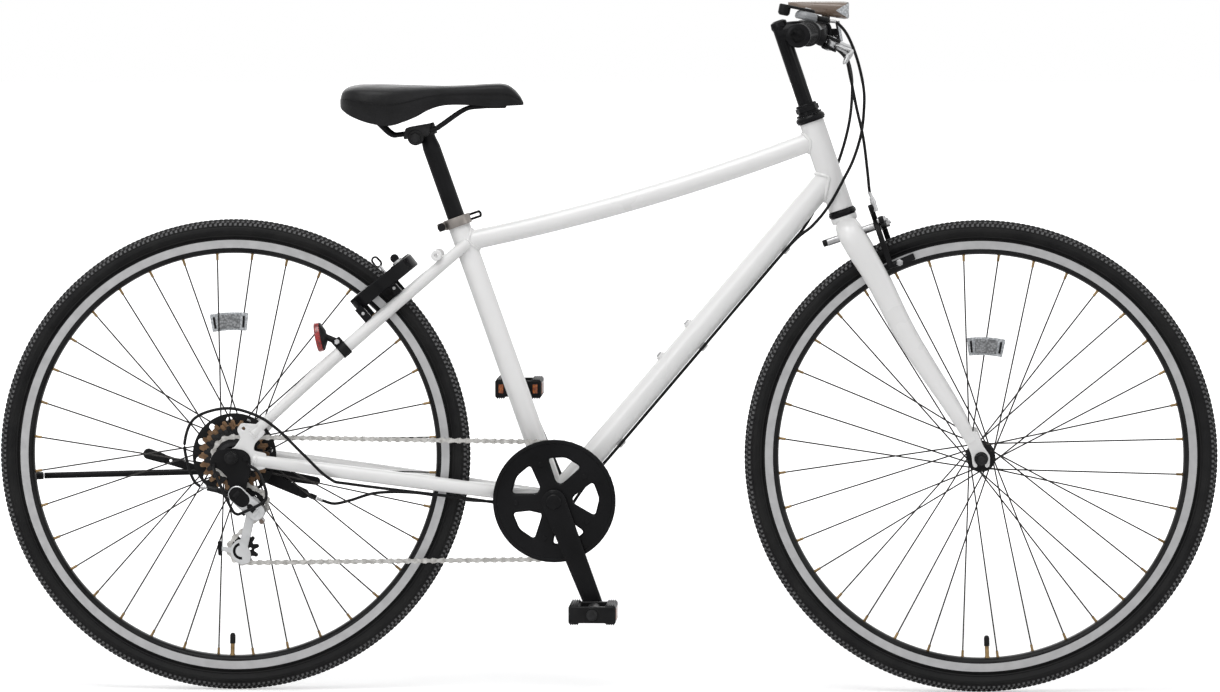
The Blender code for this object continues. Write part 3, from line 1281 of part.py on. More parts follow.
def chain():
    """The chain as one flexible band along its pitch line."""
    circles = [
        (at_side(REAR_AXLE, 0.0), pitch_radius(SPROCKET_TEETH[0])),
        (at_side(guide_centre(), 0.0), -pitch_radius(PULLEY_TEETH)),
        (at_side(tension_centre(), 0.0), pitch_radius(PULLEY_TEETH)),
        (BRACKET, pitch_radius(CHAINRING_TEETH)),
    ]
    path = belt(circles)
    rings = []
    for index, point in enumerate(path):
        before, after = path[index - 1], path[(index + 1) % len(path)]
        first, second = (point - before).normalized(), (after - point).normalized()
        normal = (first + second).normalized().cross(LEFT)
        tall = CHAIN_HEIGHT / 2 / max(MITRE_LIMIT, normal.dot(first.cross(LEFT).normalized()))
        middle = point - LEFT * CHAIN_LINE
        out, wide = normal * tall, LEFT * (CHAIN_WIDTH / 2)
        rings.append([middle - out - wide, middle + out - wide, middle + out + wide, middle - out + wide])
    piece("chain", BICYCLE, STEEL, [skinned(rings, loop=True)])


# Derailleur


def guide_centre():
    """The axis of the upper pulley."""
    return REAR_AXLE + side(*GUIDE_PULLEY_PLACE, -CHAIN_LINE)


def tension_centre():
    """The axis of the lower pulley."""
    return REAR_AXLE + side(*TENSION_PULLEY_PLACE, -CHAIN_LINE)


def pulley(name, centre, carrier):
    """A jockey wheel with its bush."""
    bore = around(PULLEY_BOLT, 14)
    wide, rim_half = CHAIN_WIDTH / 2 + GAP, CHAIN_WIDTH / 2 - 0.0012
    radius = root_radius(PULLEY_TEETH)
    outline = [
        (bore, -wide), (0.0065, -wide), (0.0065, -rim_half), (radius, -rim_half),
        (radius, rim_half), (0.0065, rim_half), (0.0065, wide), (bore, wide),
    ]
    piece(name, carrier, BLACK_PLASTIC, [turned_ring(outline, centre, LEFT, 14)])


def link_axis():
    """The direction of the link's two hinge pins, square to the link in the side view."""
    return side(LINK_TOP[1] - LINK_FOOT[1], LINK_FOOT[0] - LINK_TOP[0]).normalized()


def link_pivot():
    """The upper hinge of the derailleur's link."""
    return REAR_AXLE + side(*LINK_TOP, -LINK_MIDDLE)


def knuckle_pivot():
    """The lower hinge of the derailleur's link."""
    return REAR_AXLE + side(*LINK_FOOT, -LINK_MIDDLE)


def hinge_end(pivot):
    """The barrel and the pin that a hinge of the link turns on."""
    axis = link_axis()
    return [
        rod(pivot - axis * (LINK_SLOT - GAP), pivot + axis * (LINK_SLOT - GAP), 0.0055, 8),
        rod(pivot - axis * (LINK_HALF - 0.0015), pivot + axis * (LINK_HALF - 0.0015), LINK_PIN, 8),
    ]


def derailleur_bracket():
    """The plate under the axle nut that carries the derailleur."""
    inner = REAR_WIDTH / 2 + DROPOUT_THICKNESS + GAP
    outer = inner + HANGER_THICKNESS
    x, z = REAR_AXLE.x, REAR_AXLE.z
    shape = [
        (-0.031, -0.004), (-0.023, 0.010), (0.000, 0.014), (0.019, 0.011), (0.0285, 0.002),
        (0.0285, -0.022), (0.024, -0.032), (0.020, -0.060), (0.000, -0.062), (-0.004, -0.030),
        (-0.018, -0.016), (-0.030, -0.014),
    ]
    outline = rounded([(x + a, z + b) for a, b in shape], 0.006, 1)
    hole = round_outline((x, z), AXLE_RADIUS + 2 * GAP, 10)
    hanger = plate(outline, -inner, -outer, [hole])
    top = link_pivot()
    post = rod(at_side(top, -inner - 0.001), top, 0.0045, 8)
    bolt = REAR_AXLE + side(0.021, -0.002)
    head = rod(at_side(bolt, -inner - 0.001), at_side(bolt, -outer - 0.003), 0.0045, 8)
    stop_start = REAR_AXLE + side(0.006, -0.052, -CABLE_STOP_SIDE)
    stop = rod(stop_start, REAR_AXLE + side(*CABLE_STOP, -CABLE_STOP_SIDE), 0.004, 8)
    piece("derailleur_bracket", BICYCLE, BLACK_PAINT, [hanger, post, head, stop, *hinge_end(top)])


def derailleur_link():
    """The link with its cover, which swings the cage sideways on two pins."""
    top, foot = link_pivot(), knuckle_pivot()
    axis = link_axis()
    near, far = -LINK_MIDDLE + LINK_THICKNESS / 2, -LINK_MIDDLE - LINK_THICKNESS / 2
    cover = plate(capsule((top.x, top.z), (foot.x, foot.z), LINK_HALF, LINK_HALF, 6), near, far)
    cuts = []
    for pivot in (top, foot):
        cuts.append(rod(pivot - axis * LINK_SLOT, pivot + axis * LINK_SLOT, 0.0092, 12))
        cuts.append(rod(pivot - axis * 0.02, pivot + axis * 0.02, around(LINK_PIN, 8), 8))
    piece("derailleur_link", DERAILLEUR, BRIGHT, [cover], cuts)


def derailleur_knuckle():
    """The block below the link, which carries the cage's pivot."""
    foot = knuckle_pivot()
    outer = LINK_MIDDLE - 0.0125
    inner = CHAIN_LINE + CAGE_FACE + CAGE_PLATE + GAP
    block = turned([(0.011, outer), (0.011, inner + 0.002), (0.009, inner)], at_side(foot, 0.0), -LEFT, 10)
    neck = rod(at_side(foot, -outer + 0.001), foot, 0.0045, 8)
    piece("derailleur_knuckle", KNUCKLE, ALLOY, [block, neck, *hinge_end(foot)])


def derailleur_cage():
    """Two side plates with the pulley bolts between them."""
    top, foot, pivot = guide_centre(), tension_centre(), knuckle_pivot()
    ring = rounded([(foot.x + a, foot.z + b) for a, b in CAGE_RING], 0.004, 1)
    inside, outside = CHAIN_LINE - CAGE_FACE, CHAIN_LINE + CAGE_FACE
    arm = capsule((top.x, top.z), (foot.x, foot.z), 0.0065, 0.0065, 5)
    eye = capsule((top.x, top.z), (pivot.x, pivot.z), 0.0100, 0.0095, 5)
    solids = [
        plate(arm, -outside, -outside - CAGE_PLATE),
        plate(eye, -outside - 0.0001, -outside - CAGE_PLATE + 0.0001),
        plate(ring, -outside - 0.0002, -outside - CAGE_PLATE + 0.0002),
        plate(arm, -inside, -inside + CAGE_PLATE),
    ]
    for centre in (top, foot):
        ends = CAGE_FACE + CAGE_PLATE - 0.0004
        solids.append(rod(centre - LEFT * ends, centre + LEFT * ends, PULLEY_BOLT, 8))
    piece("derailleur_cage", CAGE, BRIGHT, solids)


def derailleur_guard():
    """The wire that shields the derailleur, its ends on the gear bracket."""
    seat_side = REAR_WIDTH / 2 + DROPOUT_THICKNESS + HANGER_THICKNESS + 2 * GAP + GUARD_WIRE_RADIUS
    points = [REAR_AXLE + side(a, b, -seat_side - out) for a, b, out in GUARD_WIRE]
    piece("derailleur_guard", BICYCLE, BLACK_PAINT, [tube(smooth(points, 0.014), GUARD_WIRE_RADIUS, 6)])


# Rear brake and stand


def drum_brake():
    """The brake's cover over the drum, with the arm that holds the cable's adjuster."""
    end = REAR_WIDTH / 2 - DRUM_INSET + 0.0075
    start = REAR_WIDTH / 2 - DRUM_INSET - DRUM_WIDTH - 0.001
    cavity = REAR_WIDTH / 2 - DRUM_INSET + 0.001
    hole = CONE_RADIUS + 2 * GAP
    cover = DRUM_RADIUS + 0.009
    outline = [
        (hole, end), (hole + 0.009, end), (cover, end - 0.003), (cover, start),
        (DRUM_RADIUS + 0.0035, start), (DRUM_RADIUS + 0.0035, cavity), (hole, cavity),
    ]
    shell = turned_ring(outline, REAR_AXLE, LEFT, 14)
    root = (REAR_AXLE.x + 0.030, REAR_AXLE.z - 0.032)
    tip = (REAR_AXLE.x + 0.096, REAR_AXLE.z - 0.061)
    arm = plate(capsule(root, tip, 0.009, 0.007, 5), end - 0.0075, end - 0.0035)
    barrel_side = BRAKE_ARM_FACE + BRAKE_ARM_THICKNESS / 2
    barrel_start = REAR_AXLE + side(0.080, -0.055, barrel_side)
    barrel = rod(barrel_start, REAR_AXLE + side(0.113, -0.068, barrel_side), 0.004, 8)
    block_middle = REAR_AXLE + side(0.092, -0.0595, (barrel_side + end - 0.007) / 2)
    block = box(block_middle, (0.009, barrel_side - end + 0.012, 0.011))
    pivot = brake_arm_pivot()
    root_side, pin_end = end - 0.006, BRAKE_ARM_FACE + BRAKE_ARM_THICKNESS + 0.002
    boss = rod(at_side(pivot, root_side), at_side(pivot, BRAKE_ARM_FACE - GAP), 0.0085, 8)
    pin = rod(at_side(pivot, root_side), at_side(pivot, pin_end), ARM_PIN_RADIUS, 8)
    piece("drum_brake", BICYCLE, BLACK_PAINT, [shell, arm, block, barrel, boss, pin])


def brake_arm_pivot():
    """The pivot of the hub brake's arm, on the cover."""
    return REAR_AXLE + side(0.032, -0.030, BRAKE_ARM_FACE)


def brake_arm():
    """The arm that the cable pulls to work the hub brake."""
    pivot = brake_arm_pivot()
    tip = pivot + side(0.081, -0.013)
    near, far = BRAKE_ARM_FACE, BRAKE_ARM_FACE + BRAKE_ARM_THICKNESS
    hole = round_outline((pivot.x, pivot.z), around(ARM_PIN_RADIUS, 8), 8)
    blade = plate(capsule((pivot.x, pivot.z), (tip.x, tip.z), 0.009, 0.006, 4), near, far, [hole])
    bolt = rod(at_side(tip, near - 0.002), at_side(tip, far + 0.004), 0.0038, 6)
    piece("brake_arm", BRAKE_ARM, BLACK_PAINT, [blade, bolt])


def stand_pivot():
    """The pivot of the side stand."""
    return REAR_AXLE + side(*STAND_PLACE, STAND_SIDE)


def kickstand_bracket():
    """The plate under the left axle nut that carries the side stand."""
    inner = REAR_WIDTH / 2 + DROPOUT_THICKNESS + GAP
    pivot = stand_pivot()
    outline = capsule((REAR_AXLE.x, REAR_AXLE.z), (pivot.x, pivot.z), 0.014, 0.015, 7)
    hole = round_outline((REAR_AXLE.x, REAR_AXLE.z), AXLE_RADIUS + 2 * GAP, 10)
    arm = plate(outline, inner, inner + STAND_PLATE, [hole])
    axis = stand_axis()
    pin = rod(pivot - axis * 0.012, pivot + axis * 0.008, STAND_PIN_RADIUS, 8)
    collar_start = at_side(pivot, inner + STAND_PLATE - 0.001)
    collar = rod(collar_start, at_side(pivot, STAND_SIDE - 0.0095), 0.010, 10)
    piece("kickstand_bracket", BICYCLE, BLACK_PAINT, [arm, collar, pin])


def stand_axis():
    """The axis of the side stand, tilted so that the leg swings down and outwards."""
    return side(0.0, STAND_LEAN, 1.0).normalized()


def kickstand():
    """The side stand, folded back along the wheel."""
    pivot, axis = stand_pivot(), stand_axis()
    tip = pivot + side(-STAND_LENGTH, -0.008)
    path = [pivot + side(-0.006, 0.0)] + [pivot.lerp(tip, share) for share in (0.5, 0.93, 0.94, 1.0)]
    leg = tube(path, [STAND_RADIUS] * 3 + [STAND_FOOT_RADIUS] * 2, 8)
    eye = turned([(0.0115, -0.0070), (0.0115, 0.0070)], pivot, axis, 10)
    root, end = ((pivot.x + a, pivot.z + b) for a, b in STAND_LEVER)
    lever = plate(capsule(root, end, 0.0060, 0.0080, 4), STAND_SIDE - 0.002, STAND_SIDE + 0.002)
    bore_radius = around(STAND_PIN_RADIUS, 10)
    bore = turned([(bore_radius, -0.02), (bore_radius, 0.02)], pivot, axis, 10)
    piece("kickstand", STAND, BLACK_PAINT, [leg, eye, lever], [bore])


RIGHT_PEDAL = body("right_pedal_axis", at_side(crank_end(-1), -PEDAL_CENTRE), CRANKS)
LEFT_PEDAL = body("left_pedal_axis", at_side(crank_end(1), PEDAL_CENTRE), CRANKS)
DERAILLEUR = body("derailleur_pivot", link_pivot(), BICYCLE)
KNUCKLE = body("knuckle_pivot", knuckle_pivot(), DERAILLEUR)
CAGE = body("cage_pivot", at_side(knuckle_pivot(), -CHAIN_LINE), KNUCKLE)
GUIDE = body("guide_pulley_axis", guide_centre(), CAGE)
TENSION = body("tension_pulley_axis", tension_centre(), CAGE)
BRAKE_ARM = body("brake_arm_pivot", brake_arm_pivot(), BICYCLE)
STAND = body("stand_pivot", stand_pivot(), BICYCLE)
bottom_bracket()
crank("right_crank", -1)
crank("left_crank", 1)
chainring()
chain_guard()
pedal("right_pedal", -1, RIGHT_PEDAL)
pedal("left_pedal", 1, LEFT_PEDAL)
chain()
pulley("guide_pulley", guide_centre(), GUIDE)
pulley("tension_pulley", tension_centre(), TENSION)
derailleur_bracket()
derailleur_link()
derailleur_knuckle()
derailleur_cage()
derailleur_guard()
drum_brake()
brake_arm()
kickstand_bracket()
kickstand()


# Front brake


def caliper_arm(name, sign, carrier, layer):
    """One caliper arm with its shoe; layer is the arm's distance ahead of the pivot's root."""
    origin = caliper_point(0.0, 0.0, 0.0)
    down = -STEER_UP
    out = LEFT * sign
    shoe = SHOE_DROP
    spine = [(0.0, -0.002), (-0.006, 0.012), (0.004, 0.026), (0.024, 0.033), (0.046, 0.031), (shoe, 0.0275)]
    left_edge, right_edge = [], []
    for index, point in enumerate(spine):
        before = Vector(spine[max(index - 1, 0)])
        after = Vector(spine[min(index + 1, len(spine) - 1)])
        heading = (after - before).normalized()
        normal = Vector((-heading.y, heading.x)) * 0.0055
        left_edge.append(tuple(Vector(point) + normal))
        right_edge.append(tuple(Vector(point) - normal))
    outline = left_edge + right_edge[::-1]
    normal_sign = down.cross(out).dot(STEER_AHEAD)
    near, far = (layer, layer + CALIPER_ARM) if normal_sign > 0 else (-layer - CALIPER_ARM, -layer)
    blade = slab(outline, origin, down, out, near, far)
    eye = rod(caliper_point(0.0, 0.0, layer), caliper_point(0.0, 0.0, layer + CALIPER_ARM), 0.0085, 12)
    reach = CALIPER_HORN[sign]
    horn_outline = capsule((-0.001, 0.001), reach, 0.0070, 0.0050, 4)
    horn = slab(horn_outline, origin, down, out, near + 0.0001, far - 0.0001)
    end = origin + down * reach[0] + out * reach[1] + STEER_AHEAD * (layer + CALIPER_ARM / 2)
    stop = rod(end - STEER_AHEAD * 0.006, end + STEER_AHEAD * 0.008, 0.0040, 6)
    if sign < 0:
        end += STEER_AHEAD * 0.0055
        stop = rod(end - STEER_UP * 0.007, end + STEER_UP * 0.014, 0.0042, 8)
    face = RIM_WIDTH / 2 + SHOE_GAP
    middle = caliper_point(shoe, sign * (face + SHOE_THICKNESS / 2), SHOE_AHEAD)
    run = (FRONT_AXLE - middle)
    run.y = 0.0
    run = run.normalized().cross(LEFT)
    rubber = box(middle, (SHOE_LENGTH, SHOE_THICKNESS, SHOE_HEIGHT), run, LEFT.cross(run) * -1)
    stud = rod(at_side(middle, sign * (face + SHOE_THICKNESS - 0.001)),
               at_side(middle, sign * (face + SHOE_THICKNESS + 0.016)), 0.0035, 8)
    lug = rod(caliper_point(shoe, sign * 0.0275, layer + 0.001), at_side(middle, sign * 0.0275), 0.0045, 8)
    bore = rod(caliper_point(0.0, 0.0, 0.0), caliper_point(0.0, 0.0, 0.08), around(CALIPER_BOLT, 8), 8)
    return piece(name, carrier, BLACK_PAINT, [blade, eye, horn, stop, rubber, stud, lug], [bore])


# Seat


def seat_clamp():
    """The collar that grips the seatpost, with its slit, ears and nut."""
    foot = SEAT_TUBE_LENGTH - CLAMP_BAND_HEIGHT + 0.004
    top = SEAT_TUBE_LENGTH + 0.004
    outer = SEAT_TUBE_RADIUS + GAP + CLAMP_BAND_WALL
    band = turned_ring([
        (SEAT_TUBE_RADIUS + GAP, foot), (outer, foot), (outer, top), (POST_RADIUS + 3 * GAP, top),
        (POST_RADIUS + 3 * GAP, top - 0.0035), (SEAT_TUBE_RADIUS + GAP, top - 0.0035),
    ], BRACKET, SEAT_UP, 12)
    middle = (foot + top) / 2
    ears = slab([(-0.007, -0.006), (0.007, -0.006), (0.007, 0.006), (-0.007, 0.006)],
                seat(middle, -outer - 0.003), SEAT_AHEAD, SEAT_UP, -0.008, 0.008)
    slit = box(seat(middle, -outer - 0.002), (0.030, 0.0022, 0.030), SEAT_AHEAD, SEAT_UP)
    nut = rod(seat(middle, -outer - 0.0045, -0.0078), seat(middle, -outer - 0.0045, -0.017), 0.0058, 8)
    boss = rod(seat(middle, -outer - 0.0045, 0.0078), seat(middle, -outer - 0.0045, 0.0125), 0.0050, 8)
    piece("seat_clamp", BICYCLE, ALLOY, [band, ears, nut, boss], [slit])


def clamp_pivot():
    """The pivot of the seat clamp's quick-release lever."""
    outer = SEAT_TUBE_RADIUS + GAP + CLAMP_BAND_WALL
    return seat(SEAT_TUBE_LENGTH - CLAMP_BAND_HEIGHT / 2 + 0.004, -outer - 0.0045, 0.0185)


def seat_clamp_lever():
    """The looped lever that closes the seat clamp, folded round the collar."""
    pivot = clamp_pivot()
    head = rod(pivot - SEAT_UP * 0.0055, pivot + SEAT_UP * 0.0055, 0.0055, 10)
    points = [pivot + SEAT_AHEAD * a - LEFT * b for a, b in CLAMP_LEVER]
    sizes = [(0.0035, 0.0050), (0.0025, 0.0050), (0.0022, 0.0050), (0.0022, 0.0042), (0.0020, 0.0030)]
    arm = tube(points, sizes, 8, SEAT_UP)
    piece("seat_clamp_lever", CLAMP_LEVER_BODY, BLACK_PAINT, [head, arm])


def seatpost():
    """The seatpost, necked at its top for the saddle's clamp."""
    post = turned([
        (POST_RADIUS, POST_FOOT), (POST_RADIUS, POST_TOP - 0.018), (POST_RADIUS * 0.86, POST_TOP - 0.006),
        (POST_RADIUS * 0.86, POST_TOP + POST_NECK),
    ], BRACKET, SEAT_UP, 12)
    inside = POST_RADIUS - 0.002
    bore = turned([(inside, POST_FOOT - 0.01), (inside, POST_TOP - 0.03)], BRACKET, SEAT_UP, 12)
    piece("seatpost", SEATPOST, BLACK_PAINT, [post], [bore])


def saddle_clamp():
    """The clamp on the post's neck that grips the two rails."""
    neck = POST_RADIUS * 0.86
    centre = seat(POST_TOP + POST_NECK - 0.008)
    sleeve = turned([(neck + 0.0045, POST_TOP - 0.002), (neck + 0.0045, POST_TOP + POST_NECK + 0.003)],
                    BRACKET, SEAT_UP, 12)
    bolt_place = saddle(*CLAMP_BOLT)
    half = RAIL_SPREAD + 0.007
    barrel = rod(at_side(bolt_place, -half), at_side(bolt_place, half), CLAMP_BARREL, 12)
    web = tube([at_side(centre, 0.0), at_side(bolt_place, 0.0)], [(0.011, 0.012)] * 2, 8)
    cheeks = []
    room = neck + GAP
    cuts = [turned([(room, POST_TOP - 0.02), (room, POST_TOP + POST_NECK + GAP)], BRACKET, SEAT_UP, 12)]
    for sign in (-1, 1):
        shape = [saddle(a, b) for a, b in CLAMP_CHEEK]
        outline = rounded([(p.x, p.z) for p in shape], 0.004, 1)
        cheeks.append(plate(outline, sign * (RAIL_SPREAD - 0.006), sign * (RAIL_SPREAD + 0.006)))
    cuts += [tube(rail_run(sign), RAIL_RADIUS + 2.5 * GAP, 6, UP) for sign in (-1, 1)]
    head = rod(at_side(bolt_place, -half - 0.005), at_side(bolt_place, -half + 0.001), 0.006, 6)
    piece("saddle_clamp", SEATPOST, BLACK_PAINT, [sleeve, barrel, web, *cheeks, head], cuts)


def saddle(x, z, y=0.0):
    """A point of the saddle, measured from the top of the seatpost."""
    return seat(POST_TOP) + side(x, z, y)


def rail_run(sign):
    """The straight middle of a rail, extended a little for the clamp's grooves."""
    return [saddle(x, z, sign * y) for x, z, y in RAIL_ROUTE[2:7]]


def rail_points(shorter=0.0):
    """The middle of the rails' wire from end to end, made shorter or longer at both ends."""
    run = [(x, z, -y) for x, z, y in RAIL_ROUTE] + [(x, z, y) for x, z, y in reversed(RAIL_ROUTE)]
    points = smooth([saddle(x, z, y) for x, z, y in run], 0.030)
    points[0] = points[0] + (points[1] - points[0]).normalized() * shorter
    points[-1] = points[-1] + (points[-2] - points[-1]).normalized() * shorter
    return points


def saddle_rails():
    """One bent wire: two rails joined under the saddle's nose."""
    piece("saddle_rails", SEATPOST, BLACK_PAINT, [tube(rail_points(), RAIL_RADIUS, 6, UP)])


def saddle_floor(crown, skirt):
    """The height of the cushion's underside."""
    return crown - min(CUSHION_DEPTH, 0.6 * (crown - skirt))


def cover_ring(x, crown, skirt, half):
    """One cross-section of the cover: crowned on top, its sides drawn in to the skirt."""
    floor = saddle_floor(crown, skirt)
    tall = crown - skirt
    ring = []
    for step in range(7):
        share = step / 3 - 1
        ring.append((share * 0.93, crown - tall * (0.08 * share ** 2 + 0.12 * share ** 8)))
    edge = [(1.0, skirt + tall * 0.50), (0.97, skirt + tall * 0.12), (0.91, skirt), (0.86, skirt)]
    edge.append((0.82, floor))
    ring += edge + [(0.0, floor)] + [(-out, z) for out, z in reversed(edge)]
    return [saddle(x, z, out * half) for out, z in ring]


def saddle_cover():
    """The padded cover: crowned, drawn in at the waist, with a skirt round the sides."""
    rings = [cover_ring(*station) for station in SADDLE_STATIONS]
    piece("saddle_cover", SEATPOST, VINYL, [skinned(rings)])


def saddle_base():
    """The plastic shell under the cushion, which the rails carry."""
    rings = []
    for x, crown, skirt, half in SADDLE_STATIONS[2:-2]:
        top = saddle_floor(crown, skirt) - GAP
        out = half * 0.76
        ring = [(-out, top), (out, top), (out, top - BASE_THICKNESS * 0.6), (out * 0.9, top - BASE_THICKNESS),
                (-out * 0.9, top - BASE_THICKNESS), (-out, top - BASE_THICKNESS * 0.6)]
        rings.append([saddle(x, z, y) for y, z in ring])
    sockets = []
    for place, size in ((REAR_SOCKET, (0.016, 0.014, 0.016)), (FRONT_SOCKET, (0.020, 0.026, 0.012))):
        x, z, out = place
        for sign in (-1, 1) if out else (1,):
            sockets.append(box(saddle(x, z, sign * out), size))
    groove = tube(rail_points(-0.008), RAIL_RADIUS + 2 * GAP, 6, UP)
    piece("saddle_base", SEATPOST, BLACK_PLASTIC, [skinned(rings), *sockets], [groove])


SEATPOST = body("seatpost_slide", seat(SEAT_TUBE_LENGTH), BICYCLE)
CLAMP_LEVER_BODY = body("clamp_lever_pivot", clamp_pivot(), BICYCLE)
CALIPER_RIGHT = body("caliper_right_pivot", caliper_point(0.0, 0.0, CALIPER_LAYERS[0]), STEERING)
CALIPER_LEFT = body("caliper_left_pivot", caliper_point(0.0, 0.0, CALIPER_LAYERS[1]), STEERING)
caliper_arm("caliper_right_arm", -1, CALIPER_RIGHT, CALIPER_LAYERS[0])
caliper_arm("caliper_left_arm", 1, CALIPER_LEFT, CALIPER_LAYERS[1])
seat_clamp()
seat_clamp_lever()
seatpost()
saddle_clamp()
saddle_rails()
saddle_cover()
saddle_base()


# Lock, reflector and cables


def lock_arc(radius, first, last, steps):
    """Pairs (down the lock's plane, out) on an arc; 0 degrees points to the lock's open end."""
    angles = [math.radians(first + (last - first) * index / steps) for index in range(steps + 1)]
    return [(radius * math.cos(angle), radius * math.sin(angle)) for angle in angles]


def lock_band(inner, outer, first, last, low, high, steps):
    """A part of a flat ring round the lock's centre, between two heights above its plane."""
    outline = lock_arc(outer, first, last, steps) + lock_arc(inner, last, first, steps)
    return slab(outline, LOCK_CENTRE, LOCK_DOWN, LEFT, -high, -low)


def lock_point(down, out, above=0.0):
    """A point of the lock, from its centre: down its plane, to the left and above the plane."""
    return LOCK_CENTRE + LOCK_DOWN * down + LEFT * out + LOCK_NORMAL * above


def stay_block(sign, share, aside, size, rise):
    """A block that stands on the upper face of a seat stay."""
    radius = SEAT_STAY_RADIUS * (0.9 + 0.1 * share)
    foot = on_stay(sign, share, radius * math.cos(math.pi / 8) + GAP) + LEFT * aside * sign
    top = on_stay(sign, share, rise) + LEFT * aside * sign
    up = (top - foot).normalized()
    return box(foot.lerp(top, 0.5), (*size, (top - foot).length), up.cross(LEFT) * -1, up)


def ring_lock():
    """The lock's horseshoe round the tyre, with its key and its feet on the seat stays."""
    half = LOCK_THICKNESS / 2
    room = BOLT_RADIUS + GAP
    inner, outer = LOCK_MIDDLE - room, LOCK_MIDDLE + room
    slot_inner, slot_outer = LOCK_MIDDLE - BOLT_STEM - 2 * GAP, LOCK_MIDDLE + BOLT_STEM + 2 * GAP
    shell = lock_band(LOCK_BORE, LOCK_RADIUS, LOCK_OPENING, 360.0 - LOCK_OPENING, -half, half, 16)
    key = box(lock_point(*LOCK_KEY, half + 0.007), (0.013, 0.005, 0.016), LOCK_DOWN, LOCK_NORMAL)
    feet = []
    for sign in (-1, 1):
        for share in LOCK_LEG_SHARES:
            lift = (LOCK_CENTRE - on_stay(sign, share)).dot(LOCK_NORMAL) - half + 0.005
            feet.append(stay_block(sign, share, 0.003, (0.012, 0.009), lift))
    cuts = [
        lock_band(inner, outer, LOCK_OPENING - 6.0, LOCK_CHANNEL_END, -room, room, 8),
        lock_band(inner, outer, -LOCK_OPENING + 6.0, -LOCK_OPENING - 14.0, -room, room, 2),
        lock_band(slot_inner, slot_outer, LOCK_OPENING - 6.0, BOLT_LEVER + 6.0, 0.0, LOCK_THICKNESS, 8),
    ]
    piece("ring_lock", BICYCLE, BLACK_PLASTIC, [shell, key, *feet], cuts)


def lock_bolt():
    """The curved bolt with its looped lever, drawn back into the lock."""
    middle = [lock_point(*point) for point in lock_arc(LOCK_MIDDLE, BOLT_TIP, BOLT_TAIL, 8)]
    bar = tube(middle, BOLT_RADIUS - 0.0002, 6, LOCK_NORMAL)
    root = lock_arc(LOCK_MIDDLE, BOLT_LEVER, BOLT_LEVER, 1)[0]
    stem = rod(lock_point(*root), lock_point(*root, BOLT_LEVER_HEIGHT + 0.003), BOLT_STEM, 6)
    loop = capsule((0.0, BOLT_LEVER_HEIGHT + 0.006), (0.0, BOLT_LEVER_HEIGHT + 0.012), 0.0065, 0.0060, 5)
    hole = capsule((0.0, BOLT_LEVER_HEIGHT + 0.006), (0.0, BOLT_LEVER_HEIGHT + 0.012), 0.0035, 0.0030, 3)
    ring = slab(loop, lock_point(*root), LOCK_DOWN, LOCK_NORMAL, -0.002, 0.002, [hole])
    piece("lock_bolt", LOCK_BOLT, STEEL, [bar, stem, ring])


def rear_reflector():
    """The round reflector on the right seat stay."""
    centre = REAR_AXLE + side(*REFLECTOR_PLACE)
    axis = side(-0.983, -0.183).normalized()
    disc = turned([
        (REFLECTOR_RADIUS * 0.8, -0.014), (REFLECTOR_RADIUS, -0.011), (REFLECTOR_RADIUS, -0.001),
        (REFLECTOR_RADIUS * 0.9, 0.002),
    ], centre, axis, 18)
    foot = stay_block(-1, REFLECTOR_SHARE, 0.0, (0.014, 0.010), 0.019)
    link = rod(on_stay(-1, REFLECTOR_SHARE, 0.015), centre - axis * 0.010, 0.0045, 8)
    piece("rear_reflector", BICYCLE, RED_PLASTIC, [disc, foot, link])


def shift_pivot():
    """The foot of the thumb lever, on top of the shifter's housing."""
    return bar_point(-SHIFTER_STATION) + side(*SHIFTER_PLACE) + SHIFT_AXIS * (SHIFTER_HEIGHT + GAP)


def shift_lever():
    """The thumb lever, a disc on the housing with a lobe behind it."""
    pivot = shift_pivot()
    behind = SHIFT_AXIS.cross(LEFT)
    lobe = pivot + behind * 0.033 - SHIFT_AXIS * 0.012
    arm = slab(capsule((0.0, 0.0), (0.033, 0.0), 0.0105, 0.0080, 6), pivot, behind, LEFT, -0.004, 0.0)
    thumb = turned([(0.0060, 0.0), (0.0085, 0.003), (0.0085, 0.0155)], lobe, SHIFT_AXIS, 10)
    piece("shift_lever", SHIFT_LEVER, BLACK_PLASTIC, [arm, thumb])


def cable(name, route):
    """A cable's housing along hand-chosen points, with fewer rings where it runs straight."""
    curve = smooth([side(x, z, y) for x, z, y in route], CABLE_STEP)
    path = curve[:2]
    for point, after in zip(curve[2:], curve[3:]):
        if (point - path[-1]).angle(after - point) > CABLE_BEND or (after - path[-1]).length > 0.25:
            path.append(point)
    path.append(curve[-1])
    piece(name, BICYCLE, BLACK_PLASTIC, [tube(path, CABLE_RADIUS, 5, UP)])


LOCK_BOLT = body("lock_bolt_axis", LOCK_CENTRE, BICYCLE)
SHIFT_LEVER = body("shift_lever_pivot", shift_pivot(), STEERING)
ring_lock()
lock_bolt()
rear_reflector()
shift_lever()
cable("shift_cable", SHIFT_CABLE)
cable("rear_brake_cable", REAR_BRAKE_CABLE)
cable("front_brake_cable", FRONT_BRAKE_CABLE)
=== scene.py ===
# %% [markdown]
# # A white city bicycle
# The bicycle stands on a pale floor, seen from its chain side. Its solids and joints come
# from an imported frame. This script gives the same pieces their fine shapes and their finishes:
# treads, spokes, chain links, teeth, weld beads, stitching and reflectors.

# %% Load the frame
import math

import bmesh
import bpy
import numpy as np
from mathutils import Matrix
from mathutils.geometry import tessellate_polygon


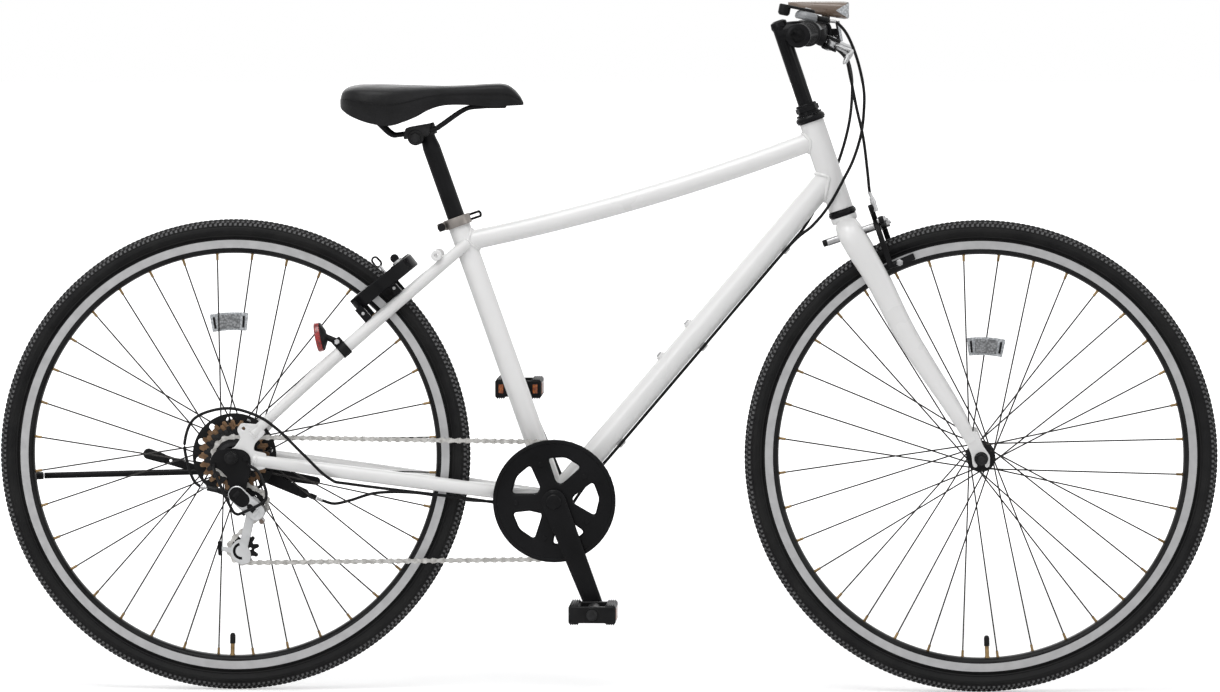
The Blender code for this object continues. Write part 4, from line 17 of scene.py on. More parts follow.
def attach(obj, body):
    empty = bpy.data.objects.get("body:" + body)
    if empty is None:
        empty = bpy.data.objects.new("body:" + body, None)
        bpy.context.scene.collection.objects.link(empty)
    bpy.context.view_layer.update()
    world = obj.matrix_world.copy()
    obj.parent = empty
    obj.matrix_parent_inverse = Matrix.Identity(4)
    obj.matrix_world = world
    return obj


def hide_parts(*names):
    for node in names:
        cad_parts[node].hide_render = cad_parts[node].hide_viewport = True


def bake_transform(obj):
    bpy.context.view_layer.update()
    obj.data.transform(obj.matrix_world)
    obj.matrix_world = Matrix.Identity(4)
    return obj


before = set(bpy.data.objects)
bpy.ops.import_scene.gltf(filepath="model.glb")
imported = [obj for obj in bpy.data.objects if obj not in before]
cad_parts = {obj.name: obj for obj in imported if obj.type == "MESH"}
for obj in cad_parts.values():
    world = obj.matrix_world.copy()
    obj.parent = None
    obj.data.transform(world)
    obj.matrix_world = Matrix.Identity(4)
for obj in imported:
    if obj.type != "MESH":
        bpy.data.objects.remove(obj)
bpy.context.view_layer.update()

# %% [markdown]
# The camera comes first. It stands ten metres away with a long lens, a little ahead of the
# bicycle and slightly above it, so both wheels look round and little of the depth shows.

# %% Camera
AIM = np.array([0.0038, 0.0, 0.5019])
EYE = np.array([0.4047, -10.5173, 1.0719])

camera_data = bpy.data.cameras.new("camera")
camera_data.lens = 214.2
camera_data.sensor_width = 36.0
camera_data.clip_end = 60.0
camera = bpy.data.objects.new("camera", camera_data)
bpy.context.scene.collection.objects.link(camera)
bpy.context.scene.camera = camera
back = (EYE - AIM) / np.linalg.norm(EYE - AIM)
across = np.cross([0.0, 0.0, 1.0], back)
across /= np.linalg.norm(across)


def placed(x, y, z, place):
    """The matrix of an object with these three axes at this place."""
    return Matrix(np.vstack([np.stack([x, y, z, place], axis=1), [0.0, 0.0, 0.0, 1.0]]).tolist())


camera.matrix_world = placed(across, np.cross(back, across), back, EYE)
print("camera is", round(float(np.linalg.norm(EYE - AIM)), 2), "m away")

# %% [markdown]
# Bicycles are drawn in the side view. `side` turns a drawing's two numbers into a point, and
# the steering axis and the seat tube get their own rulers, because most parts line up with them.

# %% Directions and main points
LEFT = np.array([0.0, 1.0, 0.0])
AHEAD = np.array([1.0, 0.0, 0.0])
UP = np.array([0.0, 0.0, 1.0])
ORIGIN = np.zeros(3)
GAP = 0.0003


def unit(vector):
    """The same direction with length 1."""
    vector = np.asarray(vector, float)
    return vector / np.linalg.norm(vector)


def side(x, z, y=0.0):
    """A point of the side view, y metres to the left of the middle plane."""
    return np.array([x, y, z], float)


def flat(point):
    """A point's two numbers in the side view."""
    return point[[0, 2]]


def around(steps):
    """Even angles of one turn."""
    return 2 * math.pi * np.arange(steps) / steps


def units(rows):
    """Each row scaled to length 1."""
    return rows / np.linalg.norm(rows, axis=1, keepdims=True)


def mm(*points):
    """Points written in millimetres, as an array in metres."""
    return np.array(points, float) / 1000


def at_side(point, y):
    """The same point of the side view at another distance from the middle plane."""
    return np.array([point[0], y, point[2]])


REAR_AXLE = side(-0.54185, 0.343)
FRONT_AXLE = side(0.54185, 0.343)
BRACKET = side(-0.07485, 0.28)
HEAD_ANGLE, SEAT_ANGLE = math.radians(18.7), math.radians(19.5)
STEER_UP = side(-math.sin(HEAD_ANGLE), math.cos(HEAD_ANGLE))
STEER_AHEAD = side(math.cos(HEAD_ANGLE), math.sin(HEAD_ANGLE))
SEAT_UP = side(-math.sin(SEAT_ANGLE), math.cos(SEAT_ANGLE))
SEAT_AHEAD = side(math.cos(SEAT_ANGLE), math.sin(SEAT_ANGLE))
HEAD_FOOT = FRONT_AXLE + STEER_UP * 0.404 - STEER_AHEAD * 0.0774


def rear(x, z, y=0.0):
    """A point of the side view, measured from the rear axle."""
    return REAR_AXLE + side(x, z, y)


def steer(along, ahead=0.0, y=0.0):
    """A point measured up the steering axis, ahead of it and to the left."""
    return HEAD_FOOT + STEER_UP * along + STEER_AHEAD * ahead + LEFT * y


def seat(along, ahead=0.0, y=0.0):
    """A point measured up the seat tube's axis, ahead of it and to the left."""
    return BRACKET + SEAT_UP * along + SEAT_AHEAD * ahead + LEFT * y


print("wheelbase", round(float(FRONT_AXLE[0] - REAR_AXLE[0]), 4), "m")

# %% [markdown]
# Nearly all of a bicycle is turned, drawn as a tube, or cut from plate. Each of these is a grid
# of points: rings in one direction, places around a ring in the other. `skin` turns such a grid
# into faces, and the next helpers only differ in the formula that fills the grid.

# %% Grids into faces


def skin(points, loop=False, index=0):
    """Faces between neighbours of a grid (rings, places, xyz), with flat ends unless it loops."""
    rings, places = points.shape[:2]
    row = np.arange(rings if loop else rings - 1)[:, None]
    place = np.arange(places)[None, :]
    after, below = (place + 1) % places, ((row + 1) % rings) * places
    quads = np.stack([row * places + place, row * places + after, below + after, below + place], axis=-1)
    faces = quads.reshape(-1, 4).tolist()
    if not loop:
        faces += [list(range(places)), list(range((rings - 1) * places, rings * places))]
    return points.reshape(-1, 3), faces, index


def square_to(axis):
    """Two directions square to an axis and to each other; the first points down if it can."""
    guide = AHEAD if abs(axis[2]) > 0.9 else -UP
    first = unit(guide - axis * np.dot(guide, axis))
    return first, np.cross(axis, first)


def turned(profile, centre, axis, steps=64, loop=False, index=0):
    """A lathe: centre + axis * height + radius * (first cos t + second sin t)."""
    axis = unit(axis)
    first, second = square_to(axis)
    radius, height = np.asarray(profile, float).T[:, :, None, None]
    t = around(steps)[:, None]
    return skin(centre + axis * height + radius * (np.cos(t) * first + np.sin(t) * second), loop, index)


def rod(start, end, radius, steps=24, ease=0.0004, index=0):
    """A round bar between two points, its ends slightly chamfered."""
    length = np.linalg.norm(end - start)
    ease = min(ease, radius * 0.4, length * 0.3)
    profile = [(radius - ease, 0.0), (radius, ease), (radius, length - ease), (radius - ease, length)]
    return turned(profile, start, end - start, steps, index=index)


def flow(points, spans=8):
    """A smooth curve through points: on each span a cubic of the four points around it."""
    p = np.asarray(points, float)
    p = np.vstack([2 * p[0] - p[1], p, 2 * p[-1] - p[-2]])
    a, b, c, d = (q[:, None] for q in (p[:-3], p[1:-2], p[2:-1], p[3:]))
    t = (np.arange(spans) / spans)[None, :, None]
    curve = b + (c - a) * t / 2 + (2 * a - 5 * b + 4 * c - d) * t ** 2 / 2
    curve = curve + (3 * b - a - 3 * c + d) * t ** 3 / 2
    return np.vstack([curve.reshape(-1, p.shape[1]), p[-2]])


def pairs(sizes, count):
    """One radius, many radii or many pairs, as an array of pairs."""
    return np.broadcast_to(np.asarray(sizes, float).reshape(-1, 1) if np.ndim(sizes) < 2 else sizes,
                           (count, 2))


def tube(path, sizes, sides=24, across=LEFT, index=0, loop=False):
    """A section carried along a path; sizes are radii, or pairs square to across and along it."""
    path = np.asarray(path, float)
    sizes = pairs(sizes, len(path))
    heading = units(np.roll(path, -1, 0) - np.roll(path, 1, 0) if loop else np.gradient(path, axis=0))
    sideways = units(across - heading * (heading @ across)[:, None])
    upward = np.cross(sideways, heading)
    t = (2 * math.pi * (np.arange(sides) + 0.5) / sides)[None, :, None]
    tall, wide = sizes[:, 0, None, None], sizes[:, 1, None, None]
    return skin(path[:, None] + upward[:, None] * tall * np.sin(t) + sideways[:, None] * wide * np.cos(t),
                loop, index)


def bent(points, sizes, spans=8, sides=24, across=LEFT, index=0):
    """A tube along the smooth curve through points, its sizes flowing as the points do."""
    points = np.asarray(points, float)
    line = flow(np.hstack([points, pairs(sizes, len(points))]), spans)
    return tube(line[:, :3], line[:, 3:], sides, across, index)


print("a round bar has", len(rod(ORIGIN, UP, 0.01)[1]), "faces")

# %% [markdown]
# Plates start from an outline in two dimensions. Real plate edges are never razor sharp, so
# `slab` makes four copies of each loop, the outer two drawn in a little, and the light catches
# that narrow bevel.

# %% Outlines and plates


def spun(centre, radius, t):
    """Points as pairs: centre + radius * (cos t, sin t)."""
    return np.stack([centre[0] + radius * np.cos(t), centre[1] + radius * np.sin(t)], axis=1)


def disc(centre, radius, steps=48, turn=0.0):
    """A circle's points as pairs."""
    return spun(centre, radius, turn + around(steps))


def arc(centre, radius, first, last, steps):
    """An arc's points as pairs, with angles in degrees."""
    return spun(centre, radius, np.radians(np.linspace(first, last, steps)))


def capsule(a, b, radius_a, radius_b, steps=16):
    """The outline of two discs and their common tangents."""
    a, b = np.asarray(a, float), np.asarray(b, float)
    heading = math.degrees(math.atan2(b[1] - a[1], b[0] - a[0]))
    lean = math.degrees(math.acos((radius_a - radius_b) / np.linalg.norm(b - a)))
    return np.vstack([
        arc(a, radius_a, heading + lean, heading + 360 - lean, steps),
        arc(b, radius_b, heading - lean, heading + lean, steps),
    ])


def rounded(outline, radius, steps=5, closed=True):
    """An outline whose corners become quadratic curves that start radius before each corner."""
    p = np.asarray(outline, float)
    before, after = np.roll(p, 1, 0) - p, np.roll(p, -1, 0) - p
    far_before, far_after = (np.linalg.norm(q, axis=1, keepdims=True) for q in (before, after))
    start = p + before / far_before * np.minimum(radius, far_before * 0.45)
    end = p + after / far_after * np.minimum(radius, far_after * 0.45)
    t = np.linspace(0, 1, steps + 1)[None, :, None]
    bends = start[:, None] * (1 - t) ** 2 + p[:, None] * 2 * t * (1 - t) + end[:, None] * t ** 2
    if closed:
        return bends.reshape(-1, 2)
    return np.vstack([p[:1], bends[1:-1].reshape(-1, 2), p[-1:]])


def hoop(inner, outer, low, high, ease=0.0008, steps=3):
    """A rounded rectangle: the section of a ring, from one radius and height to another."""
    return rounded([(inner, low), (outer, low), (outer, high), (inner, high)], ease, steps)


def drawn_in(loop, by):
    """A loop with each corner moved inwards along the mean of its two edges' normals."""
    before, after = loop - np.roll(loop, 1, 0), np.roll(loop, -1, 0) - loop
    turn = np.sign(np.sum(loop[:, 0] * np.roll(loop[:, 1], -1) - np.roll(loop[:, 0], -1) * loop[:, 1]))
    normals = [np.stack([-q[:, 1], q[:, 0]], axis=1) * turn for q in (before, after)]
    first, second = (q / np.maximum(np.linalg.norm(q, axis=1, keepdims=True), 1e-9) for q in normals)
    room = np.maximum(1.0 + np.sum(first * second, axis=1, keepdims=True), 0.5)
    return loop + (first + second) / room * by


def slab(outline, origin, right, up, near, far, holes=(), ease=0.0005, index=0):
    """A plate from an outline of (right, up) pairs, from near to far along right x up."""
    normal = unit(np.cross(right, up))
    low, high = min(near, far), max(near, far)
    ease = min(ease, (high - low) * 0.4)
    vertices, faces, rims, starts, count = [], [], [], [], 0
    for number, loop in enumerate([outline, *holes]):
        loop = np.asarray(loop, float)
        small = drawn_in(loop, ease if number == 0 else -ease)
        rows = [(small, low), (loop, low + ease), (loop, high - ease), (small, high)]
        grid = np.stack([origin + l[:, :1] * right + l[:, 1:] * up + h * normal for l, h in rows])
        faces += [[v + count for v in face] for face in skin(grid)[1][:-2]]
        vertices.append(grid.reshape(-1, 3))
        rims.append([(a, b, 0.0) for a, b in small])
        starts += [(count + j, count + 3 * len(loop) + j) for j in range(len(loop))]
        count += 4 * len(loop)
    for triangle in tessellate_polygon(rims):
        faces.append([starts[v][0] for v in triangle])
        faces.append([starts[v][1] for v in reversed(triangle)])
    return np.vstack(vertices), faces, index


def plate(outline, near, far, holes=(), ease=0.0005, index=0):
    """A plate parallel to the middle plane, from (x, z) pairs, between two values of y."""
    return slab(outline, ORIGIN, AHEAD, UP, -near, -far, holes, ease, index)


def block(centre, size, right=AHEAD, up=UP, corner=0.002, ease=0.0008, index=0):
    """A rounded block of a given size along right, right x up and up."""
    a, b = size[0] / 2, size[2] / 2
    outline = rounded([(-a, -b), (a, -b), (a, b), (-a, b)], corner)
    return slab(outline, centre, right, up, -size[1] / 2, size[1] / 2, (), ease, index)


print("a rounded block has", len(block(ORIGIN, (0.1, 0.1, 0.1))[1]), "faces")

# %% [markdown]
# `make` joins shapes into one object, rides it on its body, hides the solid it stands for and gives
# its faces their finishes. Faces are turned outwards, and edges sharper than a set angle stay
# crisp while the rest is smooth.

# %% Pieces


def make(name, body, shapes, finishes, sharp=40.0, trim=False):
    """One named piece from shapes; a shape's third entry picks one finish, or one for each face.
    A body given as a tuple leaves the piece in place without a body; the tuple's values are not used.
    The piece stands for the solid of its own name, unless it is trim that has no solid."""
    starts = np.cumsum([0] + [len(vertices) for vertices, _, _ in shapes])
    vertices = np.vstack([vertices for vertices, _, _ in shapes])
    faces = [[v + int(start) for v in face] for start, (_, part, _) in zip(starts, shapes) for face in part]
    mesh = bpy.data.meshes.new(name)
    mesh.from_pydata(vertices.tolist(), [], faces)
    for finish in finishes:
        mesh.materials.append(finish)
    indices = np.concatenate([np.broadcast_to(index, len(part)) for _, part, index in shapes])
    mesh.polygons.foreach_set("material_index", indices.astype(np.int32))
    solid = bmesh.new()
    solid.from_mesh(mesh)
    bmesh.ops.recalc_face_normals(solid, faces=solid.faces)
    solid.to_mesh(mesh)
    solid.free()
    mesh.shade_smooth()
    mesh.set_sharp_from_angle(angle=math.radians(sharp))
    piece = bpy.data.objects.new(name, mesh)
    bpy.context.scene.collection.objects.link(piece)
    if isinstance(body, tuple):
        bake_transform(piece)
    else:
        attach(piece, body)
    if not trim:
        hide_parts(name)
    print(f"{name}: {len(vertices)} points")
    return piece


print("solids to dress:", len(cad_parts))

# %% [markdown]
# Finishes are worked out from Object coordinates, so they stay on their piece when it turns.
# `finish` sets the even values on the shader itself. `grain` adds a bump from a noise, and
# `worn` lets two close colours and two roughnesses run into each other. `surface` does all three
# for the finishes that need nothing else.

# %% Finish helpers


def finish(name, colour, rough, metal=0.0, **values):
    """A material with a colour, a roughness and other values of the shader."""
    material = bpy.data.materials.new(name)
    material.use_nodes = True
    shader = material.node_tree.nodes["Principled BSDF"]
    shader.inputs["Base Color"].default_value = (*colour, 1.0)
    shader.inputs["Roughness"].default_value = rough
    shader.inputs["Metallic"].default_value = metal
    for key, value in values.items():
        shader.inputs[key.replace("_", " ")].default_value = value
    return material


def texture(material, kind, scale, stretch=(1.0, 1.0, 1.0), **values):
    """A texture node that reads the piece's own coordinates, stretched along its axes."""
    nodes, links = material.node_tree.nodes, material.node_tree.links
    where = nodes.new("ShaderNodeTexCoord")
    mapping = nodes.new("ShaderNodeMapping")
    mapping.inputs["Scale"].default_value = stretch
    node = nodes.new(kind)
    node.inputs["Scale"].default_value = scale
    for key, value in values.items():
        node.inputs[key].default_value = value
    links.new(where.outputs["Object"], mapping.inputs["Vector"])
    links.new(mapping.outputs["Vector"], node.inputs["Vector"])
    return node


def grain(material, output, strength, depth):
    """A bump from a texture's output, added to any bump the material already has."""
    nodes, links = material.node_tree.nodes, material.node_tree.links
    shader = nodes["Principled BSDF"]
    bump = nodes.new("ShaderNodeBump")
    bump.inputs["Strength"].default_value = strength
    bump.inputs["Distance"].default_value = depth
    links.new(output, bump.inputs["Height"])
    if shader.inputs["Normal"].links:
        links.new(shader.inputs["Normal"].links[0].from_socket, bump.inputs["Normal"])
    links.new(bump.outputs["Normal"], shader.inputs["Normal"])


def between(material, output, socket, low, high, first=0.35, last=0.65):
    """Let a texture's output run a socket from one colour or number to another."""
    nodes, links = material.node_tree.nodes, material.node_tree.links
    ramp = nodes.new("ShaderNodeValToRGB")
    pair = [value if isinstance(value, tuple) else (value,) * 3 for value in (low, high)]
    for element, place, value in zip(ramp.color_ramp.elements, (first, last), pair):
        element.position = place
        element.color = (*value, 1.0)
    links.new(output, ramp.inputs["Fac"])
    links.new(ramp.outputs["Color"], nodes["Principled BSDF"].inputs[socket])


def worn(material, scale, colours, roughs, detail=6.0):
    """Two close colours and two roughnesses that run into each other in soft patches."""
    noise = texture(material, "ShaderNodeTexNoise", scale, Detail=detail)
    between(material, noise.outputs["Fac"], "Base Color", *colours)
    between(material, noise.outputs["Fac"], "Roughness", *roughs)


def speckle(material, scale, strength, depth, detail=2.0, stretch=(1.0, 1.0, 1.0)):
    """A grain from a fine noise."""
    grain(material, texture(material, "ShaderNodeTexNoise", scale, stretch, Detail=detail).outputs["Fac"],
          strength, depth)


def surface(name, colour, rough, patches, fine, metal=0.0, **values):
    """A finish with its soft patches and its fine grain, given as the values of worn and speckle."""
    material = finish(name, colour, rough, metal, **values)
    worn(material, *patches)
    speckle(material, *fine)
    return material


print("materials before the finishes:", len(bpy.data.materials))

# %% [markdown]
# The frame's paint is a thick gloss white over steel. Up close it has orange peel, a very
# shallow waviness, and its clear coat carries the sharp highlights.

# %% Paint
white_paint = surface("white_gloss_paint", (0.86, 0.857, 0.85), 0.32,
                      (9.0, ((0.85, 0.847, 0.84), (0.87, 0.867, 0.86)), (0.27, 0.36), 3.0),
                      (420.0, 0.12, 0.0002), Coat_Weight=0.6, Coat_Roughness=0.06)
black_gloss = surface("black_gloss_paint", (0.006, 0.006, 0.0065), 0.2,
                      (14.0, ((0.005, 0.005, 0.0055), (0.009, 0.009, 0.01)), (0.14, 0.24), 4.0),
                      (380.0, 0.1, 0.0002), Specular_IOR_Level=0.12)
black_satin = surface("black_satin_paint", (0.007, 0.007, 0.0075), 0.4,
                      (22.0, ((0.006, 0.006, 0.0065), (0.011, 0.011, 0.012)), (0.32, 0.46)),
                      (1400.0, 0.15, 0.0001, 3.0), Specular_IOR_Level=0.12)
print("paints:", white_paint.name, black_gloss.name, black_satin.name)

# %% [markdown]
# Rubber and plastic are dull because their skin is rough at a scale of tenths of a millimetre.
# The saddle's vinyl is pressed with a leather grain: cells with soft valleys between them.

# %% Rubber, plastic and vinyl
tyre_rubber = surface("tyre_rubber", (0.012, 0.012, 0.0125), 0.62,
                      (30.0, ((0.009, 0.009, 0.0095), (0.018, 0.018, 0.018)), (0.54, 0.72)),
                      (900.0, 0.4, 0.0003, 4.0), Specular_IOR_Level=0.14)
# Paler rubber for the tread blocks' tops: partly dust, partly a painted highlight where light catches them.
tread_dust_and_highlight = surface("dusty_tread_painted_highlight", (0.1, 0.1, 0.102), 0.75,
                       (200.0, ((0.07, 0.07, 0.072), (0.15, 0.15, 0.152)), (0.68, 0.85)),
                       (1100.0, 0.3, 0.0002), Specular_IOR_Level=0.3)

grip_rubber = finish("grip_rubber", (0.01, 0.01, 0.0105), 0.58, Specular_IOR_Level=0.14)
worn(grip_rubber, 60.0, ((0.008, 0.008, 0.0085), (0.015, 0.015, 0.0155)), (0.5, 0.66))
grain(grip_rubber, texture(grip_rubber, "ShaderNodeTexVoronoi", 700.0).outputs["Distance"], 0.3, 0.0003)

black_plastic = surface("black_moulded_plastic", (0.008, 0.008, 0.0085), 0.42,
                        (40.0, ((0.006, 0.006, 0.0065), (0.012, 0.012, 0.0125)), (0.34, 0.5)),
                        (1100.0, 0.25, 0.0002, 3.0), Specular_IOR_Level=0.14)
grey_plastic = surface("grey_moulded_plastic", (0.27, 0.28, 0.29), 0.4,
                       (35.0, ((0.24, 0.25, 0.26), (0.3, 0.31, 0.32)), (0.34, 0.46)), (1200.0, 0.2, 0.0001))
taupe_plastic = surface("taupe_lamp_plastic", (0.15, 0.105, 0.078), 0.24,
                        (18.0, ((0.135, 0.094, 0.069), (0.17, 0.122, 0.092)), (0.2, 0.3)),
                        (500.0, 0.08, 0.0001), Coat_Weight=0.5, Coat_Roughness=0.08)

vinyl = finish("saddle_vinyl", (0.009, 0.009, 0.0095), 0.38, Specular_IOR_Level=0.2)
worn(vinyl, 26.0, ((0.007, 0.007, 0.0075), (0.013, 0.013, 0.014)), (0.32, 0.46))
grain(vinyl, texture(vinyl, "ShaderNodeTexVoronoi", 520.0).outputs["Distance"], 0.5, 0.0004)
grain(vinyl, texture(vinyl, "ShaderNodeTexNoise", 90.0, Detail=5.0).outputs["Fac"], 0.15, 0.001)
print("soft finishes:", tyre_rubber.name, grip_rubber.name, vinyl.name)

# %% [markdown]
# Metals take their look from how they were made. Plated steel is bright with a faint haze, and
# drawn or brushed metal has fine lines one way. The two largest sprockets carry a painted warm glint.

# %% Metals
chrome = surface("bright_plate", (0.74, 0.74, 0.75), 0.16,
                 (45.0, ((0.68, 0.68, 0.69), (0.8, 0.8, 0.81)), (0.11, 0.24)),
                 (600.0, 0.06, 0.0001, 2.0, (1.0, 1.0, 0.2)), 1.0)
steel = surface("zinc_plated_steel", (0.5, 0.5, 0.51), 0.34,
                (55.0, ((0.42, 0.42, 0.425), (0.58, 0.58, 0.585)), (0.27, 0.45)),
                (800.0, 0.2, 0.0001, 2.0, (1.0, 1.0, 0.15)), 1.0)
alloy = surface("satin_alloy", (0.6, 0.605, 0.61), 0.38,
                (38.0, ((0.54, 0.545, 0.55), (0.66, 0.665, 0.67)), (0.32, 0.46)), (1000.0, 0.12, 0.0001), 1.0)
brake_track = surface("machined_rim", (0.46, 0.465, 0.475), 0.36,
                      (70.0, ((0.45, 0.45, 0.455), (0.5, 0.5, 0.505)), (0.32, 0.4)),
                      (1500.0, 0.1, 0.0001, 4.0), 1.0)
rim_black = surface("black_anodised_rim", (0.014, 0.014, 0.0145), 0.3,
                    (20.0, ((0.011, 0.011, 0.0115), (0.02, 0.02, 0.0205)), (0.25, 0.38)),
                    (900.0, 0.1, 0.0001), 0.3, Specular_IOR_Level=0.15)
spoke_steel = surface("dark_spoke_steel", (0.03, 0.028, 0.027), 0.34,
                      (60.0, ((0.018, 0.017, 0.016), (0.045, 0.042, 0.04)), (0.28, 0.42)),
                      (900.0, 0.1, 0.0001), 0.5, Specular_IOR_Level=0.2)
brass = surface("brass_nipples", (0.24, 0.16, 0.075), 0.36,
                (120.0, ((0.17, 0.11, 0.05), (0.31, 0.21, 0.1)), (0.3, 0.46)), (900.0, 0.1, 0.0001), 1.0)
chain_steel = surface("chain_steel", (0.52, 0.51, 0.49), 0.34,
                      (160.0, ((0.4, 0.39, 0.37), (0.62, 0.61, 0.59)), (0.26, 0.46)), (900.0, 0.2, 0.0001),
                      1.0)
# A painted warm glint of light on the two largest sprockets' teeth; the sprockets themselves are blackened
# steel.
sprocket_glint_paint = surface("sprocket_painted_warm_glint", (0.2, 0.12, 0.07), 0.4,
                  (70.0, ((0.13, 0.078, 0.046), (0.27, 0.17, 0.1)), (0.32, 0.52)), (700.0, 0.2, 0.0001), 1.0)
dark_steel = surface("blackened_steel", (0.022, 0.022, 0.023), 0.38,
                     (60.0, ((0.015, 0.015, 0.0155), (0.035, 0.035, 0.036)), (0.3, 0.48)),
                     (900.0, 0.15, 0.0001), 0.6, Specular_IOR_Level=0.2)
collar_alloy = surface("warm_grey_collar", (0.3, 0.275, 0.255), 0.34,
                       (60.0, ((0.26, 0.238, 0.22), (0.34, 0.312, 0.29)), (0.28, 0.42)), (900.0, 0.1, 0.0001),
                       0.7)
print("metals:", chrome.name, steel.name, alloy.name, sprocket_glint_paint.name)

# %% [markdown]
# Reflectors are moulded with rows of tiny cube corners. A Voronoi pattern of small cells stands
# for them, under a smooth clear face.

# %% Reflectors and lenses


def reflector(name, colour, dark, **values):
    """A glossy plastic whose small cells run from a dark to a light tone."""
    material = finish(name, colour, 0.16, Coat_Weight=0.6, Coat_Roughness=0.04, **values)
    cells = texture(material, "ShaderNodeTexVoronoi", 330.0)
    between(material, cells.outputs["Distance"], "Base Color", colour, dark, 0.15, 0.75)
    grain(material, cells.outputs["Distance"], 0.35, 0.0005)
    return material


red_lens = reflector("red_reflector_face", (0.5, 0.012, 0.01), (0.16, 0.003, 0.003))
amber_lens = reflector("amber_reflector_face", (0.62, 0.16, 0.012), (0.3, 0.055, 0.004))
clear_lens = reflector("clear_reflector_face", (0.66, 0.68, 0.7), (0.34, 0.36, 0.38))
prism_mesh = reflector("prism_mesh_face", (0.36, 0.37, 0.38), (0.13, 0.135, 0.14))
lamp_glass = finish("lamp_lens", (0.82, 0.84, 0.86), 0.08, Transmission_Weight=0.55, IOR=1.49)
grain(lamp_glass, texture(lamp_glass, "ShaderNodeTexWave", 90.0, (0.0, 1.0, 0.0)).outputs["Fac"], 0.3, 0.0008)
print("lenses:", red_lens.name, amber_lens.name, clear_lens.name, lamp_glass.name)

# %% [markdown]
# ## Wheels
# A tyre is a section carried round the axle. Its sidewall is smooth, and small tread blocks stand
# in three rows on each shoulder, so the radius gets a square wave there that flips between rows.
# The blocks' tops have a paler finish than the sides: partly dust, partly a painted highlight.

# %% Tyres
TYRE_RADIUS, TYRE_HALF = 0.343, 0.0165
RIM_RADIUS, RIM_DEPTH = 0.314, 0.021
TREAD_BLOCKS, TREAD_HEIGHT = 290, 0.0011
WHEELS = (("front", "front_wheel", FRONT_AXLE), ("rear", "rear_wheel", REAR_AXLE))


def tyre_section():
    """(radius, sideways) pairs from bead to bead: an oval crown over two straight beads."""
    t = np.linspace(-1, 1, 41)
    angle = t * math.radians(128)
    radius = TYRE_RADIUS - TYRE_HALF + TYRE_HALF * np.cos(angle)
    taper = np.where(np.abs(t) > 0.7, 1.0 - 0.35 * (np.abs(t) - 0.7) / 0.3, 1.0)
    sideways = TYRE_HALF * np.sin(angle) * taper
    beads = [(RIM_RADIUS - 0.006, -0.0092)], [(RIM_RADIUS - 0.006, 0.0092)]
    return np.vstack([beads[0], np.stack([radius, sideways], axis=1), beads[1]])


def tyre(name, body, axle):
    """The section turned round the axle; blocks rise 1 mm where the tread's wave is high."""
    section = tyre_section()
    steps = TREAD_BLOCKS * 4
    t = around(steps)
    crown = np.abs(np.arctan2(section[:, 1], section[:, 0] - (TYRE_RADIUS - TYRE_HALF)))
    phase = (np.arange(steps) % 4 < 3)[:, None]
    other = ((np.arange(steps) + 2) % 4 < 3)[:, None]
    outer_row = ((crown > 0.86) & (crown < 1.22))[None, :] & phase
    middle_row = ((crown > 0.48) & (crown < 0.8))[None, :] & other
    inner_row = ((crown > 0.12) & (crown < 0.42))[None, :] & phase
    raised = outer_row | middle_row | inner_row
    height = np.where(raised, TREAD_HEIGHT, 0.0) - 0.001
    height = np.where((crown < 1.3)[None, :], height, 0.0)
    # Faces on top of the blocks take the paler rubber, a painted highlight that is partly dust.
    highlit_tops = raised & np.roll(raised, -1, 0) & np.roll(raised, -1, 1)
    outward = np.stack([np.cos(crown), np.sign(section[:, 1]) * np.sin(crown)], axis=1)
    radius = section[None, :, 0] + height * outward[None, :, 0]
    sideways = np.broadcast_to(section[None, :, 1], radius.shape) + height * outward[None, :, 1]
    points = np.stack([
        axle[0] + radius * np.cos(t)[:, None], sideways, axle[2] + radius * np.sin(t)[:, None],
    ], axis=-1)
    ridge = [turned([(RIM_RADIUS + 0.0035, s * 0.0118), (RIM_RADIUS + 0.0048, s * 0.0127),
                     (RIM_RADIUS + 0.006, s * 0.0123)], axle, LEFT, 120, True) for s in (-1, 1)]
    vertices, faces, _ = skin(points, True)
    make(name, body, [(vertices, faces, highlit_tops.ravel().astype(int)), *ridge], [tyre_rubber, tread_dust_and_highlight],
         30.0)


for wheel, body, axle in WHEELS:
    tyre(f"{wheel}_tyre", body, axle)

# %% [markdown]
# The rim is a black box section whose two brake tracks are machined bright. The tracks carry very
# fine turning lines, and between the spokes the well is smooth and black.

# %% Rims


def rim(name, body, axle):
    """A closed section turned round the axle, with two bright rings for the brake shoes."""
    well = mm((0, 12), (0, 10), (-7, 9), (-8, 0)) + [RIM_RADIUS, 0]
    inside = mm((-14.8, 11.9), (-17.5, 10.4), (-20, 6.2), (-20.9, 2)) + [RIM_RADIUS, 0]
    outline = np.vstack([well, well[-2::-1] * [1, -1], inside * [1, -1], inside[::-1]])
    shapes = [turned(outline, axle, LEFT, 180, True)]
    lines = np.linspace(RIM_RADIUS - 0.0128, RIM_RADIUS - 0.0012, 24)
    for sign in (-1, 1):
        face = 0.01215 + 0.00006 * (np.arange(24) % 2)
        lip = sign * 0.0115
        track = [(lines[0], lip), *[(r, sign * y) for r, y in zip(lines, face)], (lines[-1], lip)]
        shapes.append(turned(track, axle, LEFT, 180, True, 1))
    make(name, body, shapes, [rim_black, brake_track])


for wheel, body, axle in WHEELS:
    rim(f"{wheel}_rim", body, axle)

# %% [markdown]
# Each wheel has 36 spokes, 18 from each flange. Every second spoke leans the other way and ends
# three places further round the rim, so the spokes cross. All of them are worked out at once:
# their starts and ends are arrays, and one small ring of points is carried along each.

# %% Spokes and nipples
SPOKES_PER_SIDE, SPOKE_RADIUS = 18, 0.0011


